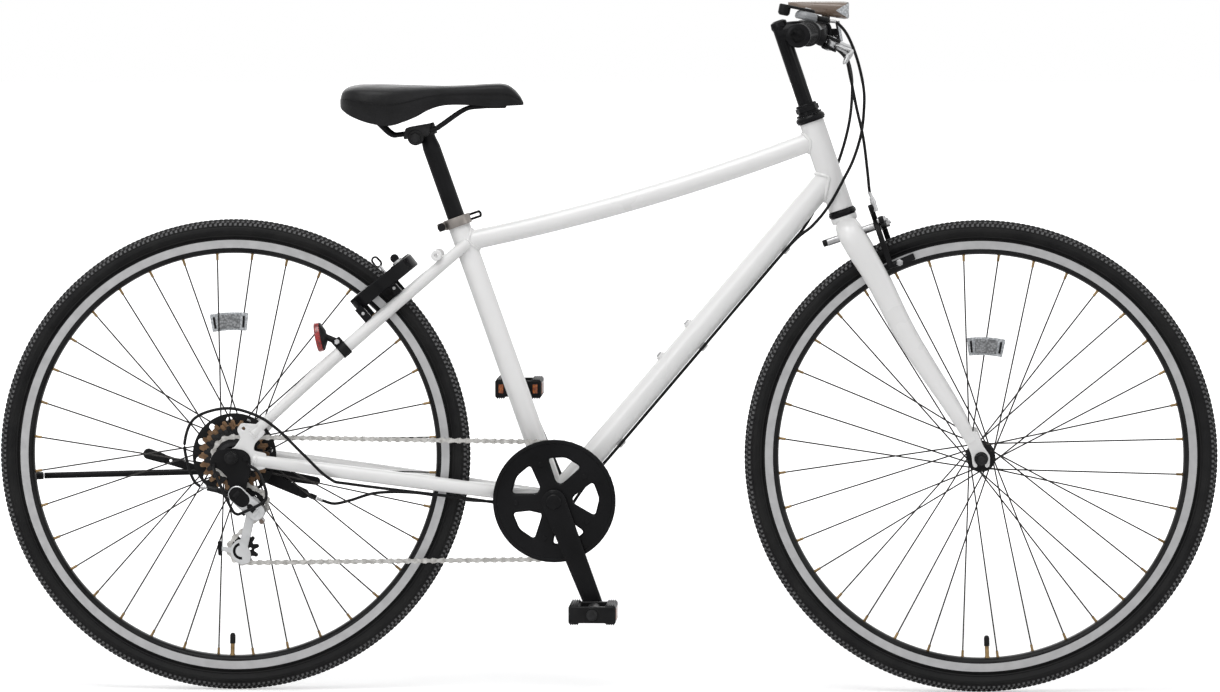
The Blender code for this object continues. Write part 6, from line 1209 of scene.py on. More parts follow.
reflector_face = unit(side(0.98, 0.17))
reflector_up = unit(np.cross(reflector_face, LEFT))
reflector_up = reflector_up if reflector_up[2] > 0 else -reflector_up
middle = bar_point(0) + side(0.0265, -0.001)
make("front_reflector", "steering", [
    slab(hoop(-0.022, 0.022, -0.0155, 0.0155, 0.003, 5), middle,
         LEFT, reflector_up, -0.0022, 0.0004, (), 0.0006),
    slab(hoop(-0.0215, 0.0215, -0.015, 0.015, 0.002, 5),
         middle, LEFT, reflector_up, 0.0003, 0.0042, (), 0.0006, 1),
    block(middle - reflector_face * 0.006, (0.01, 0.014, 0.01)),
], [black_plastic, clear_lens], trim=True)

# %% [markdown]
# ## Saddle
# The cover is padding under vinyl. Each cross-section is worked out from four numbers: how far
# back it is, its crown, its skirt and its half width. The sides pull in to the skirt, and a seam
# runs round the edge, a groove with small stitches beside it.

# %% Cover's shape
POST_TOP = 0.56
STATIONS = mm((-123.2, 55, 41, 42), (-118, 66.8, 36, 62), (-104, 73, 27.5, 78), (-78, 74.1, 18.5, 87),
              (-49, 73.8, 15, 84), (-22, 73.1, 24, 70), (0, 72.5, 35.5, 54), (27, 72.1, 43.6, 40),
              (62, 73.1, 44, 31), (97, 75, 41.5, 26.5), (114, 74.1, 42.5, 24.5), (126, 67.1, 43.2, 20.5),
              (135, 57.1, 43.5, 13), (140, 48.1, 44, 5))


def saddle(x, z, y=0.0):
    """A point of the saddle, measured from the top of the seatpost."""
    return seat(POST_TOP) + side(x, z, y)


def cover_grid(spans=10, across=40):
    """Rings of the cover: over the crown, down the bulging sides, and back under the cushion."""
    station = flow(STATIONS, spans)
    x, crown, skirt, half = (station[:, k][:, None] for k in range(4))
    half = np.maximum(half, 0.0015)
    tall = np.maximum(crown - skirt, 0.002)
    floor = crown - np.minimum(0.022, 0.6 * tall)
    s = np.linspace(-1, 1, across)[None, :]
    top_z = crown - tall * (0.06 * s ** 2 + 0.12 * np.abs(s) ** 7)
    top_y = s * 0.955 * half
    hollow = 0.0018 * np.exp(-(s / 0.28) ** 2) * np.clip((0.09 - np.abs(x + 0.03)) / 0.05, 0, 1)
    top_z = top_z - hollow
    share = np.linspace(0, 1, 12)[1:][None, :]
    side_z = crown - tall * 0.18 - tall * 0.82 * share
    bulge = 0.955 + 0.05 * np.sin(np.pi * np.minimum(share * 1.35, 1.0)) - 0.055 * share ** 3
    seam = 0.0011 * np.exp(-((share - 0.42) / 0.07) ** 2)
    side_y = bulge * half - seam
    under_z = np.concatenate([skirt, floor, floor], axis=1)
    under_y = np.concatenate([0.86 * half, 0.82 * half, 0.0 * half], axis=1)
    y = np.concatenate([top_y, side_y, under_y, -under_y[:, 1::-1], -side_y[:, ::-1]], axis=1)
    z = np.concatenate([top_z, side_z, under_z, under_z[:, 1::-1], side_z[:, ::-1]], axis=1)
    origin = saddle(0, 0)
    return np.stack([origin[0] + np.broadcast_to(x, y.shape), y, origin[2] + z], axis=-1), station


cover, station = cover_grid()
print("cover is", round(float(np.ptp(cover[..., 0])), 3), "m long and",
      round(float(np.ptp(cover[..., 1])), 3), "m wide")

# %% [markdown]
# The stitches are short thick dashes that follow the seam, about two to the centimetre. They
# are placed as one array along both sides, so they bend with the cover.

# %% Cover with its seam
seam_share = 0.42
half, crown, skirt = station[:, 3], station[:, 1], station[:, 2]
tall = crown - skirt
bulge = 0.955 + 0.05 * math.sin(math.pi * min(seam_share * 1.35, 1.0)) - 0.055 * seam_share ** 3
origin = saddle(0, 0)
line = np.stack([origin[0] + station[:, 0], bulge * half,
                 origin[2] + crown - tall * (0.18 + 0.82 * seam_share)], axis=1)[6:-8]
length = np.concatenate([[0.0], np.cumsum(np.linalg.norm(np.diff(line, axis=0), axis=1))])
marks = np.arange(0.004, length[-1] - 0.004, 0.0046)


def along_seam(distance, sign, rise):
    """Points of the seam at given distances, on the left or the right side."""
    points = np.stack([np.interp(distance, length, line[:, k]) for k in range(3)], axis=1)
    return points * np.array([1.0, sign, 1.0]) + UP * rise


stitches = [bars(along_seam(marks, sign, 0.0024), along_seam(marks + 0.003, sign, 0.0024), 0.00055, 6, 1)
            for sign in (-1, 1)]
cover_piece = make("saddle_cover", "saddle", [skin(cover), *stitches], [vinyl, black_satin],
                   60.0)

# %% [markdown]
# Under the cushion are a moulded shell and one bent wire, whose two rails sit in the clamp on the
# post. The wire's middle line is the same smooth curve that the solids use.

# %% Saddle's base, rails and post
base = STATIONS[2:-2]
floors = base[:, 1] - np.minimum(0.022, 0.6 * (base[:, 1] - base[:, 2])) - GAP
smooth_base = flow(np.stack([base[:, 0], floors, base[:, 3] * 0.76], axis=1), 6)
rings = []
for x, top, out in smooth_base:
    ring = rounded([(-out, top), (out, top), (out, top - 0.0026), (out * 0.9, top - 0.004),
                    (-out * 0.9, top - 0.004), (-out, top - 0.0026)], 0.0012, 3)
    rings.append(np.stack([origin[0] + np.full(len(ring), x), ring[:, 0], origin[2] + ring[:, 1]], axis=1))
ribs = [block(saddle(x, z, y), size) for x, z, y, size in (
    (-0.083, 0.041, -0.0345, (0.016, 0.014, 0.016)), (-0.083, 0.041, 0.0345, (0.016, 0.014, 0.016)),
    (0.104, 0.0468, 0.0, (0.02, 0.026, 0.012)),
)]
make("saddle_base", "saddle", [skin(np.stack(rings)), *ribs], [black_plastic])

RAILS = mm((-88, 38.5, 36), (-68, 17, 28), (-51, 1.5, 22), (-38, 1, 22), (-13.5, 5, 22), (11, 9, 22),
           (20, 14, 22), (55, 37.5, 19), (80, 42, 14), (102, 42.5, 9), (111, 42.5, 3))
rail_line = [saddle(x, z, -y) for x, z, y in RAILS] + [saddle(x, z, y) for x, z, y in reversed(RAILS)]
make("saddle_rails", "saddle", [bent(rail_line, 0.0035, 8, 24, UP)],
     [black_satin])

post = rounded(mm((10.7, 300), (12.7, 300), (12.7, 541), (12.2, 545), (11, 553), (10.9, 571), (10, 572),
                  (0, 572)), 0.0008, 3, False)
make("seatpost", "saddle", [turned(post, BRACKET, SEAT_UP, 64)], [black_satin])

sleeve = rounded(mm((11.3, 558), (15.2, 558), (15.6, 561), (15.6, 573), (15, 575), (11.3, 575)),
                 0.0008, 3)
bolt_place, centre = saddle(-0.0152, -0.0029), seat(0.564)
cheek = rounded([flat(p) for p in (saddle(-0.033, -0.006), saddle(0.004, 0), saddle(0.0065, 0.0175),
                                        saddle(-0.03, 0.011))], 0.004, 5)
clamp_shapes = [
    turned(sleeve, BRACKET, SEAT_UP, 56, True),
    rod(at_side(bolt_place, -0.029), at_side(bolt_place, 0.029), 0.0115, 40, 0.001),
    tube([at_side(centre, 0), at_side(bolt_place, 0)], [(0.011, 0.012)] * 2, 24),
]
for sign in (-1, 1):
    clamp_shapes.append(plate(cheek, sign * 0.016, sign * 0.0195, ease=0.0008))
    clamp_shapes.append(plate(cheek, sign * 0.0245, sign * 0.028, ease=0.0008))
    clamp_shapes.append(plate(drawn_in(cheek, 0.003), sign * 0.019, sign * 0.025))
    head = at_side(bolt_place, sign * 0.029)
    clamp_shapes.append(hexagon(head, LEFT * sign, 0.0078, 0.005, 0))
    clamp_shapes.append(rod(head, head + LEFT * sign * 0.0045, 0.004, 24))
make("saddle_clamp", "saddle", clamp_shapes, [dark_steel])

# %% [markdown]
# The collar that grips the post has a slit at the back. Its bolt is a quick-release: a black nut
# on the right, and on the left a loop of bent rod that swings out.

# %% Seat collar and its lever
collar = rounded(mm((16.3, 420), (19.8, 420), (19.8, 434), (13.6, 434), (13.6, 430.5), (16.3, 430.5)), 0.0008,
                 3)
ear = hoop(-0.007, 0.007, -0.006, 0.006, 0.002, 5)
ears = [slab(ear, seat(0.427, -0.0228), SEAT_AHEAD, SEAT_UP, *span)
        for span in ((-0.008, -0.0013), (0.0013, 0.008))]
bolt_line = seat(0.427, -0.0243)
make("seat_clamp", "bicycle", [
    turned(collar, BRACKET, SEAT_UP, 64, True), *ears,
    rod(at_side(bolt_line, -0.017), at_side(bolt_line, -0.0078), 0.0058, 14, 0.001, 1),
    rod(at_side(bolt_line, 0.007), at_side(bolt_line, 0.0125), 0.005, 32, 0.0006, 1),
], [collar_alloy, black_plastic])

clamp_pivot = seat(0.427, -0.0243, 0.0185)
route = ((0.0, -0.002), (0.02, -0.0075), (0.038, -0.007), (0.052, -0.001), (0.0575, 0.0055))
loop_line = [clamp_pivot + SEAT_AHEAD * a - LEFT * b for a, b in route]
make("seat_clamp_lever", "clamp_lever", [
    rod(clamp_pivot - SEAT_UP * 0.0055, clamp_pivot + SEAT_UP * 0.0055, 0.0055, 32, 0.0008),
    bent([p + SEAT_UP * 0.0036 for p in loop_line], 0.0018, 8, 16, SEAT_UP),
    bent([p - SEAT_UP * 0.0036 for p in loop_line], 0.0018, 8, 16, SEAT_UP),
    bent([loop_line[-1] + SEAT_UP * 0.0036, loop_line[-1] + SEAT_AHEAD * 0.0012,
          loop_line[-1] - SEAT_UP * 0.0036],
         0.0018, 6, 16, LEFT),
], [black_satin])

# %% [markdown]
# ## Drive
# A chain's links lie a half inch apart, so every wheel's pitch radius follows from its teeth:
# pitch / (2 sin(180 / teeth)). The cranks are forged black bars with a bevelled edge, and the
# guard is a black disc with five windows and a raised rim.

# %% Cranks
CHAIN_LINE, PITCH = 0.048, 0.0127
CRANK_ANGLE = math.radians(21.2)


def pitch_radius(teeth):
    """The radius on which the chain's pins lie."""
    return PITCH / (2 * math.sin(math.pi / teeth))


def crank_end(sign, y=0.0):
    """The pedal's axis; the right crank points down and a little ahead."""
    reach = side(math.sin(CRANK_ANGLE), -math.cos(CRANK_ANGLE)) * 0.165
    return BRACKET - reach * sign + LEFT * y


def crank(name, sign):
    """A capsule plate with a raised middle, its boss and cap, and the pedal's spindle."""
    end = crank_end(sign)
    arm = capsule(flat(BRACKET), flat(end), 0.0175, 0.013, 28)
    inner, outer = sign * 0.06, sign * 0.074
    boss = hoop(0.0087, 0.0155, 0.0415, 0.061)
    cap = rounded(mm((0, 73.5), (11.2, 73.5), (11.2, 75.2), (9.6, 76.4), (0, 76.6)), 0.0006, 3, False)
    spindle = rounded(mm((0, 72.5), (8.2, 72.5), (8.2, 87.7), (5.5, 87.8), (5.5, 182.2), (8.2, 182.6),
                         (7.8, 186), (0, 186)), 0.0004, 2, False)
    shapes = [
        plate(arm, inner, sign * 0.0725, (), 0.0012),
        plate(drawn_in(arm, 0.001), sign * 0.0724, sign * 0.0731, (), 0.0003),
        plate(drawn_in(arm, 0.0024), sign * 0.0725, outer, (), 0.0006),
        turned(boss, BRACKET, LEFT * sign, 56, True), turned(cap, BRACKET, LEFT * sign, 56),
        turned(spindle, at_side(end, 0), LEFT * sign, 36, index=2),
        hexagon(at_side(end, outer), LEFT * sign, 0.0088, 0.0015, 2),
    ]
    if sign > 0:
        shapes.append(turned(mm((7, -58), (8.5, -52), (8.5, 52), (8.5, 62)), BRACKET, LEFT, 40, index=2))
    make(name, "cranks", shapes, [black_gloss, alloy, dark_steel])


crank("right_crank", -1)
crank("left_crank", 1)
bearing = hoop(0.0088, 0.0195, 0.0353, 0.039, 0.0006)
make("bottom_bracket", "bicycle", [
    turned(mm((8.8, -34), (16.5, -34), (16.5, 34), (8.8, 34)), BRACKET, LEFT, 48, True),
    turned(bearing, BRACKET, LEFT, 64, True), turned([(r, -y) for r, y in bearing], BRACKET, LEFT, 64, True),
], [dark_steel])
print("crank is", round(float(np.linalg.norm(crank_end(1) - BRACKET)), 4), "m long")

# %% [markdown]
# A toothed outline is one formula: the radius swings between root and tip as the angle goes
# round, and a power of the cosine gives short flat tips and round valleys. Windows between the
# five arms are five-cornered outlines with large corner curves.

# %% Chainring, guard and sprockets


def toothed(centre, teeth, turn=0.0, per_tooth=10):
    """root + (tip - root) * smooth wave: narrow tips between the chain's rollers."""
    root, tip = pitch_radius(teeth) - 0.0041, pitch_radius(teeth) + 0.003
    t = around(teeth * per_tooth)
    wave = np.clip(0.5 + 0.85 * np.cos(teeth * (t - turn)), 0.0, 1.0)
    return spun(centre, root + (tip - root) * wave ** 0.8, t)


def windows(inner, outer, spread, corner=0.006, count=5):
    """Rounded three-sided openings between the arms, one of them in line with the crank."""
    openings = []
    for number in range(count):
        middle = CRANK_ANGLE + 2 * math.pi * number / count - math.pi / 2
        corners = [(inner, -spread * 0.4), (inner, spread * 0.4), (outer, spread), (outer * 1.04, 0.0),
                   (outer, -spread)]
        points = [(BRACKET[0] + r * math.cos(middle + a), BRACKET[2] + r * math.sin(middle + a)) for r,
                  a in corners]
        openings.append(rounded(points, corner, 6)[::-1])
    return openings


centre = flat(BRACKET)
eye = disc(centre, 0.0157, 40)
arm_bolts = []
for number in range(5):
    angle = CRANK_ANGLE + 2 * math.pi * (number + 0.5) / 5 - math.pi / 2
    place = BRACKET + side(0.056 * math.cos(angle), 0.056 * math.sin(angle), -0.0549)
    arm_bolts.append(rod(place, place - LEFT * 0.0016, 0.004, 28))
ring_shapes = [
    plate(toothed(centre, 42, math.pi / 42), -0.0465, -0.0495,
          [eye, *windows(0.027, 0.0625, math.radians(23))]),
    turned(mm((15.8, -52.3), (27, -52.3), (27, -49), (15.8, -49)), BRACKET, LEFT, 48, True),
]
make("chainring", "cranks", ring_shapes, [dark_steel])
rim_step = rounded(mm((82.8, -54.5), (83.4, -56), (88.6, -56), (89, -54.5)), 0.0005, 3)
make("chain_guard", "cranks", [
    plate(disc(centre, 0.089, 120), -0.0526, -0.055, [eye, *windows(0.0255, 0.064, math.radians(25), 0.008)],
          0.0008),
    turned(rim_step, BRACKET, LEFT, 120, True), *arm_bolts,
], [black_gloss])

sprockets = []
for number, teeth in enumerate((14, 16, 18, 20, 22, 24)):
    y = -CHAIN_LINE + 0.005 * number
    outline = toothed(flat(REAR_AXLE), teeth, 0.06 * number)
    # The two largest sprockets take the painted warm glint, the smaller four blackened steel.
    sprockets.append(plate(outline, y - 0.0009, y + 0.0009, (), 0.0002, 1 if teeth < 22 else 0))
body = rounded(mm((8.7, -50.5), (15, -50.5), (20.5, -50), (20.5, -25.8), (16.8, -19), (8.7, -19)), 0.0006, 2)
make("freewheel", "freewheel_block", [*sprockets, turned(body, REAR_AXLE, LEFT, 56, True, 1)],
     [sprocket_glint_paint, dark_steel], 30.0)

holes = []
for number in range(12):
    a = math.radians(30 * number + 8)
    holes.append(capsule((REAR_AXLE[0] + 0.04 * math.cos(a), REAR_AXLE[2] + 0.04 * math.sin(a)),
                         (REAR_AXLE[0] + 0.052 * math.cos(a), REAR_AXLE[2] + 0.052 * math.sin(a)), 0.0042,
                         0.0046, 10)[::-1])
wheel_middle = flat(REAR_AXLE)
make("spoke_protector", "rear_wheel", [
    plate(disc(wheel_middle, 0.061, 96), -0.0158, -0.0173, [disc(wheel_middle, 0.0163, 48), *holes], 0.0004),
], [black_plastic])

# %% [markdown]
# The chain follows a belt line round the wheels. Its length is walked in equal steps of one
# pitch, and at each step a pair of side plates is placed, inner and outer by turns, with a pin
# through both. All links are one set of arrays.

# %% Chain


def belt_line(circles, step=0.0006):
    """The closed line round circles given as (centre, signed radius), as close even steps."""
    count, tangents = len(circles), []
    for k in range(count):
        (start, first), (end, second) = circles[k], circles[(k + 1) % count]
        across, rise = end[0] - start[0], end[2] - start[2]
        heading = math.atan2(rise, across) - math.asin((second - first) / math.hypot(across, rise))
        outward = side(math.sin(heading), -math.cos(heading))
        tangents.append((start + outward * first, end + outward * second))
    points = []
    for k in range(count):
        (middle, radius), arrive, leave = circles[k], tangents[k - 1][1], tangents[k][0]
        first = math.atan2(arrive[2] - middle[2], arrive[0] - middle[0])
        last = math.atan2(leave[2] - middle[2], leave[0] - middle[0])
        sweep = (last - first) % (2 * math.pi) - (2 * math.pi if radius < 0 else 0.0)
        t = np.linspace(first, first + sweep, max(3, int(abs(sweep * radius) / step)))
        bend = np.stack([middle[0] + abs(radius) * np.cos(t), 0 * t, middle[2] + abs(radius) * np.sin(t)],
                        axis=1)
        after = tangents[k][1]
        run = np.linspace(0, 1, int(np.linalg.norm(after - leave) / step))[1:-1, None]
        points += [bend, at_side(leave, 0) * (1 - run) + at_side(after, 0) * run]
    return np.vstack(points)


guide = rear(0.03, -0.068)
tension = rear(0.015, -0.134)
loop = belt_line([(REAR_AXLE, pitch_radius(14)), (guide, -pitch_radius(10)), (tension, pitch_radius(10)),
                  (BRACKET, pitch_radius(42))])
closed = np.vstack([loop, loop[:1]])
walked = np.concatenate([[0.0], np.cumsum(np.linalg.norm(np.diff(closed, axis=0), axis=1))])
links = int(round(walked[-1] / PITCH / 2)) * 2
pins = np.stack([np.interp(np.arange(links) * walked[-1] / links, walked, closed[:, k]) for k in range(3)],
                axis=1)
pins[:, 1] = -CHAIN_LINE
print(links, "links,", round(walked[-1], 3), "m of chain")


def link_plates(outside, half, faces_y):
    """Side plates of every second link: a waisted figure of eight, extruded, as one array."""
    first, second = (p[(0 if outside else 1)::2] for p in (pins, np.roll(pins, -1, 0)))
    length = np.linalg.norm(second - first, axis=1)[:, None, None]
    ahead = units(second - first)
    t = np.radians(np.linspace(115, 245, 6))
    x, z, waist = half * np.cos(t), half * np.sin(t), [half * 0.52]
    x = np.concatenate([x, [0], -x, [0]])[:, None]
    z = np.concatenate([z, np.negative(waist), -z, waist])[:, None]
    share = np.repeat([0, 0.5, 1, 0.5], [6, 1, 6, 1])[:, None]
    loops = first[:, None] + ahead[:, None] * (x + share * length) + np.cross(ahead, LEFT)[:, None] * z
    return [prisms(np.stack([loops + LEFT * near, loops + LEFT * far], axis=1)) for near, far in faces_y]


make("chain", "bicycle", [
    *link_plates(True, 0.0044, ((-0.0034, -0.0025), (0.0025, 0.0034))),
    *link_plates(False, 0.0042, ((-0.0024, -0.0016), (0.0016, 0.0024))),
    bars(pins - LEFT * 0.0036, pins + LEFT * 0.0036, 0.0018, 8),
    bars(pins - LEFT * 0.0016, pins + LEFT * 0.0016, 0.0037, 10),
], [chain_steel], 30.0)

# %% [markdown]
# The pedals are moulded blocks. Two treads with raised ribs run across, end plates join them, and
# each long face holds an orange reflector in a shallow frame.

# %% Pedals


def pedal(name, sign, body):
    """A block pedal round its spindle, with ribs along the treads and four reflectors."""
    middle = crank_end(sign, sign * 0.135)
    tube_profile = hoop(0.0057, 0.0105, -0.047, 0.047, 0.001)
    shapes = [turned(tube_profile, middle, LEFT, 40, True)]
    for end in (-1, 1):
        shapes.append(block(middle + LEFT * end * 0.042, (0.066, 0.009, 0.0235), corner=0.005, ease=0.0012))
        inner_face = middle - LEFT * sign * 0.0466 + AHEAD * end * 0.025
        shapes.append(block(inner_face, (0.007, 0.0014, 0.013), corner=0.0008, ease=0.0004, index=1))
        tread = middle + AHEAD * end * 0.026
        shapes.append(block(tread, (0.0155, 0.091, 0.027), corner=0.004, ease=0.0014))
        shapes.append(block(middle + AHEAD * end * 0.011, (0.008, 0.08, 0.006), corner=0.001))
        for face in (-1, 1):
            for offset in (-0.0048, -0.0016, 0.0016, 0.0048):
                rib = tread + AHEAD * offset + UP * face * 0.0138
                shapes.append(block(rib, (0.0014, 0.086, 0.0022), corner=0.0004, ease=0.0004))
        shapes.append(block(tread + AHEAD * end * 0.0072, (0.0024, 0.056, 0.0165), corner=0.0008, ease=0.0006,
                            index=1))
    make(name, body, shapes, [black_plastic, amber_lens])


pedal("right_pedal", -1, "pedal_right")
pedal("left_pedal", 1, "pedal_left")

# %% [markdown]
# ## Derailleur
# A parallelogram link carries the cage with its two jockey wheels. The link has a bright cover
# with dark insets, and the cage's outer plate is a ring round the lower wheel.

# %% Jockey wheels and cage


def jockey(name, centre, body):
    """A ten-toothed plastic wheel with a bush and five small windows."""
    outline = toothed(flat(centre), 10, 0.2)
    small = [disc((centre[0] + 0.0105 * math.cos(a), centre[2] + 0.0105 * math.sin(a)), 0.0018, 14)[::-1]
             for a in around(5)]
    hub_profile = hoop(0.0031, 0.0062, -0.0035, 0.0035, 0.0004, 2)
    place = at_side(centre, -CHAIN_LINE)
    make(name, body, [
        plate(outline, -CHAIN_LINE - 0.0013, -CHAIN_LINE + 0.0013, small, 0.0003),
        turned(hub_profile, place, LEFT, 32, True),
    ], [black_plastic], 30.0)


jockey("guide_pulley", guide, "pulley_upper")
jockey("tension_pulley", tension, "pulley_lower")

knuckle = rear(0.038, -0.078)
link_top = rear(0.01, -0.052)
link_axis = unit(side(0.68045, 0.73279))
ring = mm((-18, 3), (-8, 14), (1, 13), (12, -5), (11, -19), (-2, -24), (-17, -13))
ring = rounded([(tension[0] + a, tension[2] + b) for a, b in ring], 0.005, 6)
arm = capsule(flat(guide), flat(tension), 0.0065, 0.0065, 24)
eye = capsule(flat(guide), flat(knuckle), 0.01, 0.0095, 24)
middle = (tension[0] - 0.002, tension[2] - 0.003)
crescent = np.vstack([arc(middle, 0.0125, 105, 275, 20), arc(middle, 0.0085, 275, 105, 20)])
tail = capsule((-0.5605, 0.218), (-0.56, 0.202), 0.003, 0.0028, 14)
tail_arm = capsule((-0.5595, 0.21), (-0.544, 0.207), 0.0032, 0.004, 14)
cage_shapes = [
    plate(arm, -0.052, -0.0535, (), 0.0003), plate(arm, -0.044, -0.0425, (), 0.0003),
    plate(crescent, -0.0535, -0.0541, (), 0.0002, 2), plate(tail, -0.052, -0.054, (), 0.0004, 2),
    plate(tail_arm, -0.0522, -0.0536, (), 0.0003),
    plate(eye, -0.0521, -0.05345, (), 0.0003), plate(ring, -0.05205, -0.05355, (), 0.0003),
]
for point in (guide, tension):
    cage_shapes.append(rod(at_side(point, -0.0531), at_side(point, -0.0429), 0.003, 24, index=1))
    cage_shapes.append(rod(at_side(point, -0.0535), at_side(point, -0.0528), 0.0052, 32, index=1))
make("derailleur_cage", "cage", cage_shapes, [alloy, dark_steel, black_gloss])

# %% [markdown]
# The link's cover is a capsule-shaped casting. Its hinge pins cross it slantwise, so it swings the
# cage in and out. The knuckle below it carries the cage's spring.

# %% Link, knuckle and bracket


def hinge_end(pivot):
    """The barrel and the pin that a hinge turns on."""
    return [rod(pivot - link_axis * 0.006, pivot + link_axis * 0.006, 0.0055, 32),
            rod(pivot - link_axis * 0.011, pivot + link_axis * 0.011, 0.0024, 20)]


top_pin, foot_pin = link_top - LEFT * 0.092, knuckle - LEFT * 0.092
cover_line = capsule(flat(top_pin), flat(foot_pin), 0.0125, 0.0125, 28)
half_way = (top_pin + foot_pin) / 2
inset = capsule(flat(top_pin), (half_way[0] - 0.006, half_way[2] + 0.0055), 0.0112, 0.0108, 28)
low_inset = capsule((half_way[0] + 0.005, half_way[2] - 0.0045), (foot_pin[0] - 0.001, foot_pin[2] + 0.001),
                    0.0042, 0.0042, 20)
make("derailleur_link", "link", [
    plate(cover_line, -0.0925, -0.0948, (), 0.001),
    plate(drawn_in(cover_line, 0.0012), -0.0946, -0.096, (), 0.001),
    plate(inset, -0.0958, -0.0964, (), 0.0002, 1), plate(low_inset, -0.0958, -0.0965, (), 0.0002, 1),
    *[slab(hoop(-0.011, 0.011, -0.0035, 0.0035, 0.001, 5),
           half_way + link_axis * s * 0.0098, unit(foot_pin - top_pin), LEFT, -0.0024, 0.0024)
      for s in (-1, 1)],
], [alloy, black_gloss])
casing = rounded(mm((0, 53.8), (9, 53.8), (11, 56), (11, 78), (10, 79.5), (0, 79.5)),
                 0.001, 4, False)
make("derailleur_knuckle", "knuckle", [
    turned(casing, at_side(knuckle, 0), -LEFT, 48, index=1),
    rod(at_side(knuckle, -0.0785), foot_pin, 0.0045, 28),
    *hinge_end(foot_pin), rod(side(-0.496, 0.252, -0.07), side(-0.496, 0.252, -0.096), 0.0036, 24, 0.0006, 2),
], [alloy, dark_steel, taupe_plastic])

x, z = REAR_AXLE[0], REAR_AXLE[2]
hanger = mm((-31, -4), (-23, 10), (0, 14), (19, 11), (28.5, 2), (28.5, -22), (24, -32), (20, -60), (0, -62),
            (-4, -30), (-18, -16), (-30, -14))
hanger = rounded([(x + a, z + b) for a, b in hanger], 0.006, 5)
stop_start, stop_end = rear(0.006, -0.052, -0.08), rear(-0.034, -0.0435, -0.08)
make("derailleur_bracket", "bicycle", [
    plate(hanger, -0.0703, -0.0733, [disc((x, z), 0.0054, 24)]),
    rod(at_side(link_top, -0.0693), top_pin, 0.0045, 28),
    hexagon(rear(0.021, -0.002, -0.073), -LEFT, 0.0048, 0.0033), *hinge_end(top_pin),
    rod(stop_start, stop_end, 0.0036, 28),
    rod(stop_start + (stop_end - stop_start) * 0.62, stop_end, 0.0041, 12, 0.0004, 1),
], [black_satin, dark_steel])

wire = mm((-24, -9, 0), (-24, -16, 3), (-19, -27, 16), (2, -69, 29), (10, -79, 29), (20, -77, 29),
          (48, -63, 29), (54, -51, 29), (49, -34, 24), (40, -19, 10), (25, -10, 0))
make("derailleur_guard", "bicycle", [bent([rear(a, b, -0.0761 - out) for a, b, out in wire], 0.0022, 8, 20)],
     [black_satin])

# %% [markdown]
# ## Hub brake and stand
# On the left side a pressed cover closes the brake drum. A fixed arm holds the cable's barrel and
# a moving arm works the brake. The side stand folds back along the wheel.

# %% Hub brake
shell = rounded(mm((9.1, 57.5), (18.1, 57.5), (20, 56), (44, 55.6), (49, 54), (49, 35), (43.5, 35),
                   (43.5, 51), (9.1, 51)), 0.001, 4)
face = 0.0578
brake_pivot = rear(0.032, -0.03, face)
barrel = (rear(0.08, -0.055, 0.0593), rear(0.113, -0.068, 0.0593))
make("drum_brake", "bicycle", [
    turned(shell, REAR_AXLE, LEFT, 96, True),
    plate(capsule((x + 0.03, z - 0.032), (x + 0.096, z - 0.061), 0.009, 0.007, 20), 0.05, 0.054),
    block(rear(0.092, -0.0595, 0.0549), (0.009, 0.0138, 0.011), corner=0.001),
    rod(barrel[0], barrel[1], 0.0036, 28),
    rod(barrel[0] + (barrel[1] - barrel[0]) * 0.72, barrel[1], 0.0041, 14),
    rod(at_side(brake_pivot, 0.0515), at_side(brake_pivot, face - GAP), 0.0085, 36),
    rod(at_side(brake_pivot, 0.0515), at_side(brake_pivot, face + 0.005), 0.0037, 28),
    *[hexagon(rear(0.034 * math.cos(a), 0.034 * math.sin(a), 0.055), LEFT, 0.0032, 0.0018)
      for a in np.radians([60, 180, 300])],
], [black_satin])

tip = brake_pivot + side(0.081, -0.013)
make("brake_arm", "hub_brake_arm", [
    plate(capsule(flat(brake_pivot), flat(tip), 0.009, 0.006, 20), face, face + 0.003,
          [disc(flat(brake_pivot), 0.0042, 24)]),
    hexagon(at_side(tip, face + 0.0028), LEFT, 0.0038, 0.0042),
    rod(at_side(tip, face - 0.002), at_side(tip, face + 0.001), 0.0038, 24),
], [black_satin])

# %% [markdown]
# The side stand turns on a pin that leans outwards, so its foot swings down and away from the
# wheel. A flat lever with a rubber cap moves it.

# %% Side stand
stand_pivot, stand_axis = rear(-0.02, -0.031, 0.09), unit(side(0, 0.17, 0.98))
stand_tip = stand_pivot + side(-0.29, -0.008)
along = stand_tip - stand_pivot
make("kickstand_bracket", "bicycle", [
    plate(capsule((x, z), flat(stand_pivot), 0.014, 0.015, 24), 0.0703, 0.0743, [disc((x, z), 0.0054, 24)],
          0.0008),
    rod(stand_pivot - stand_axis * 0.012, stand_pivot + stand_axis * 0.008, 0.0047, 28),
    rod(at_side(stand_pivot, 0.0733), at_side(stand_pivot, 0.0805), 0.01, 40),
], [black_satin])
stand_ends = hoop(0.0051, 0.0115, -0.007, 0.007)
lever_root, lever_end = stand_pivot + side(-0.036, 0), stand_pivot + side(-0.116, 0.025)
lever = capsule(flat(lever_root), flat(lever_end), 0.0055, 0.0066, 20)
lever_cap = capsule((lever_end[0] + 0.02, lever_end[2] - 0.0062), flat(lever_end), 0.007, 0.008, 20)
lever_hole = disc((lever_end[0] + 0.0325, lever_end[2] - 0.01), 0.0022, 20)[::-1]
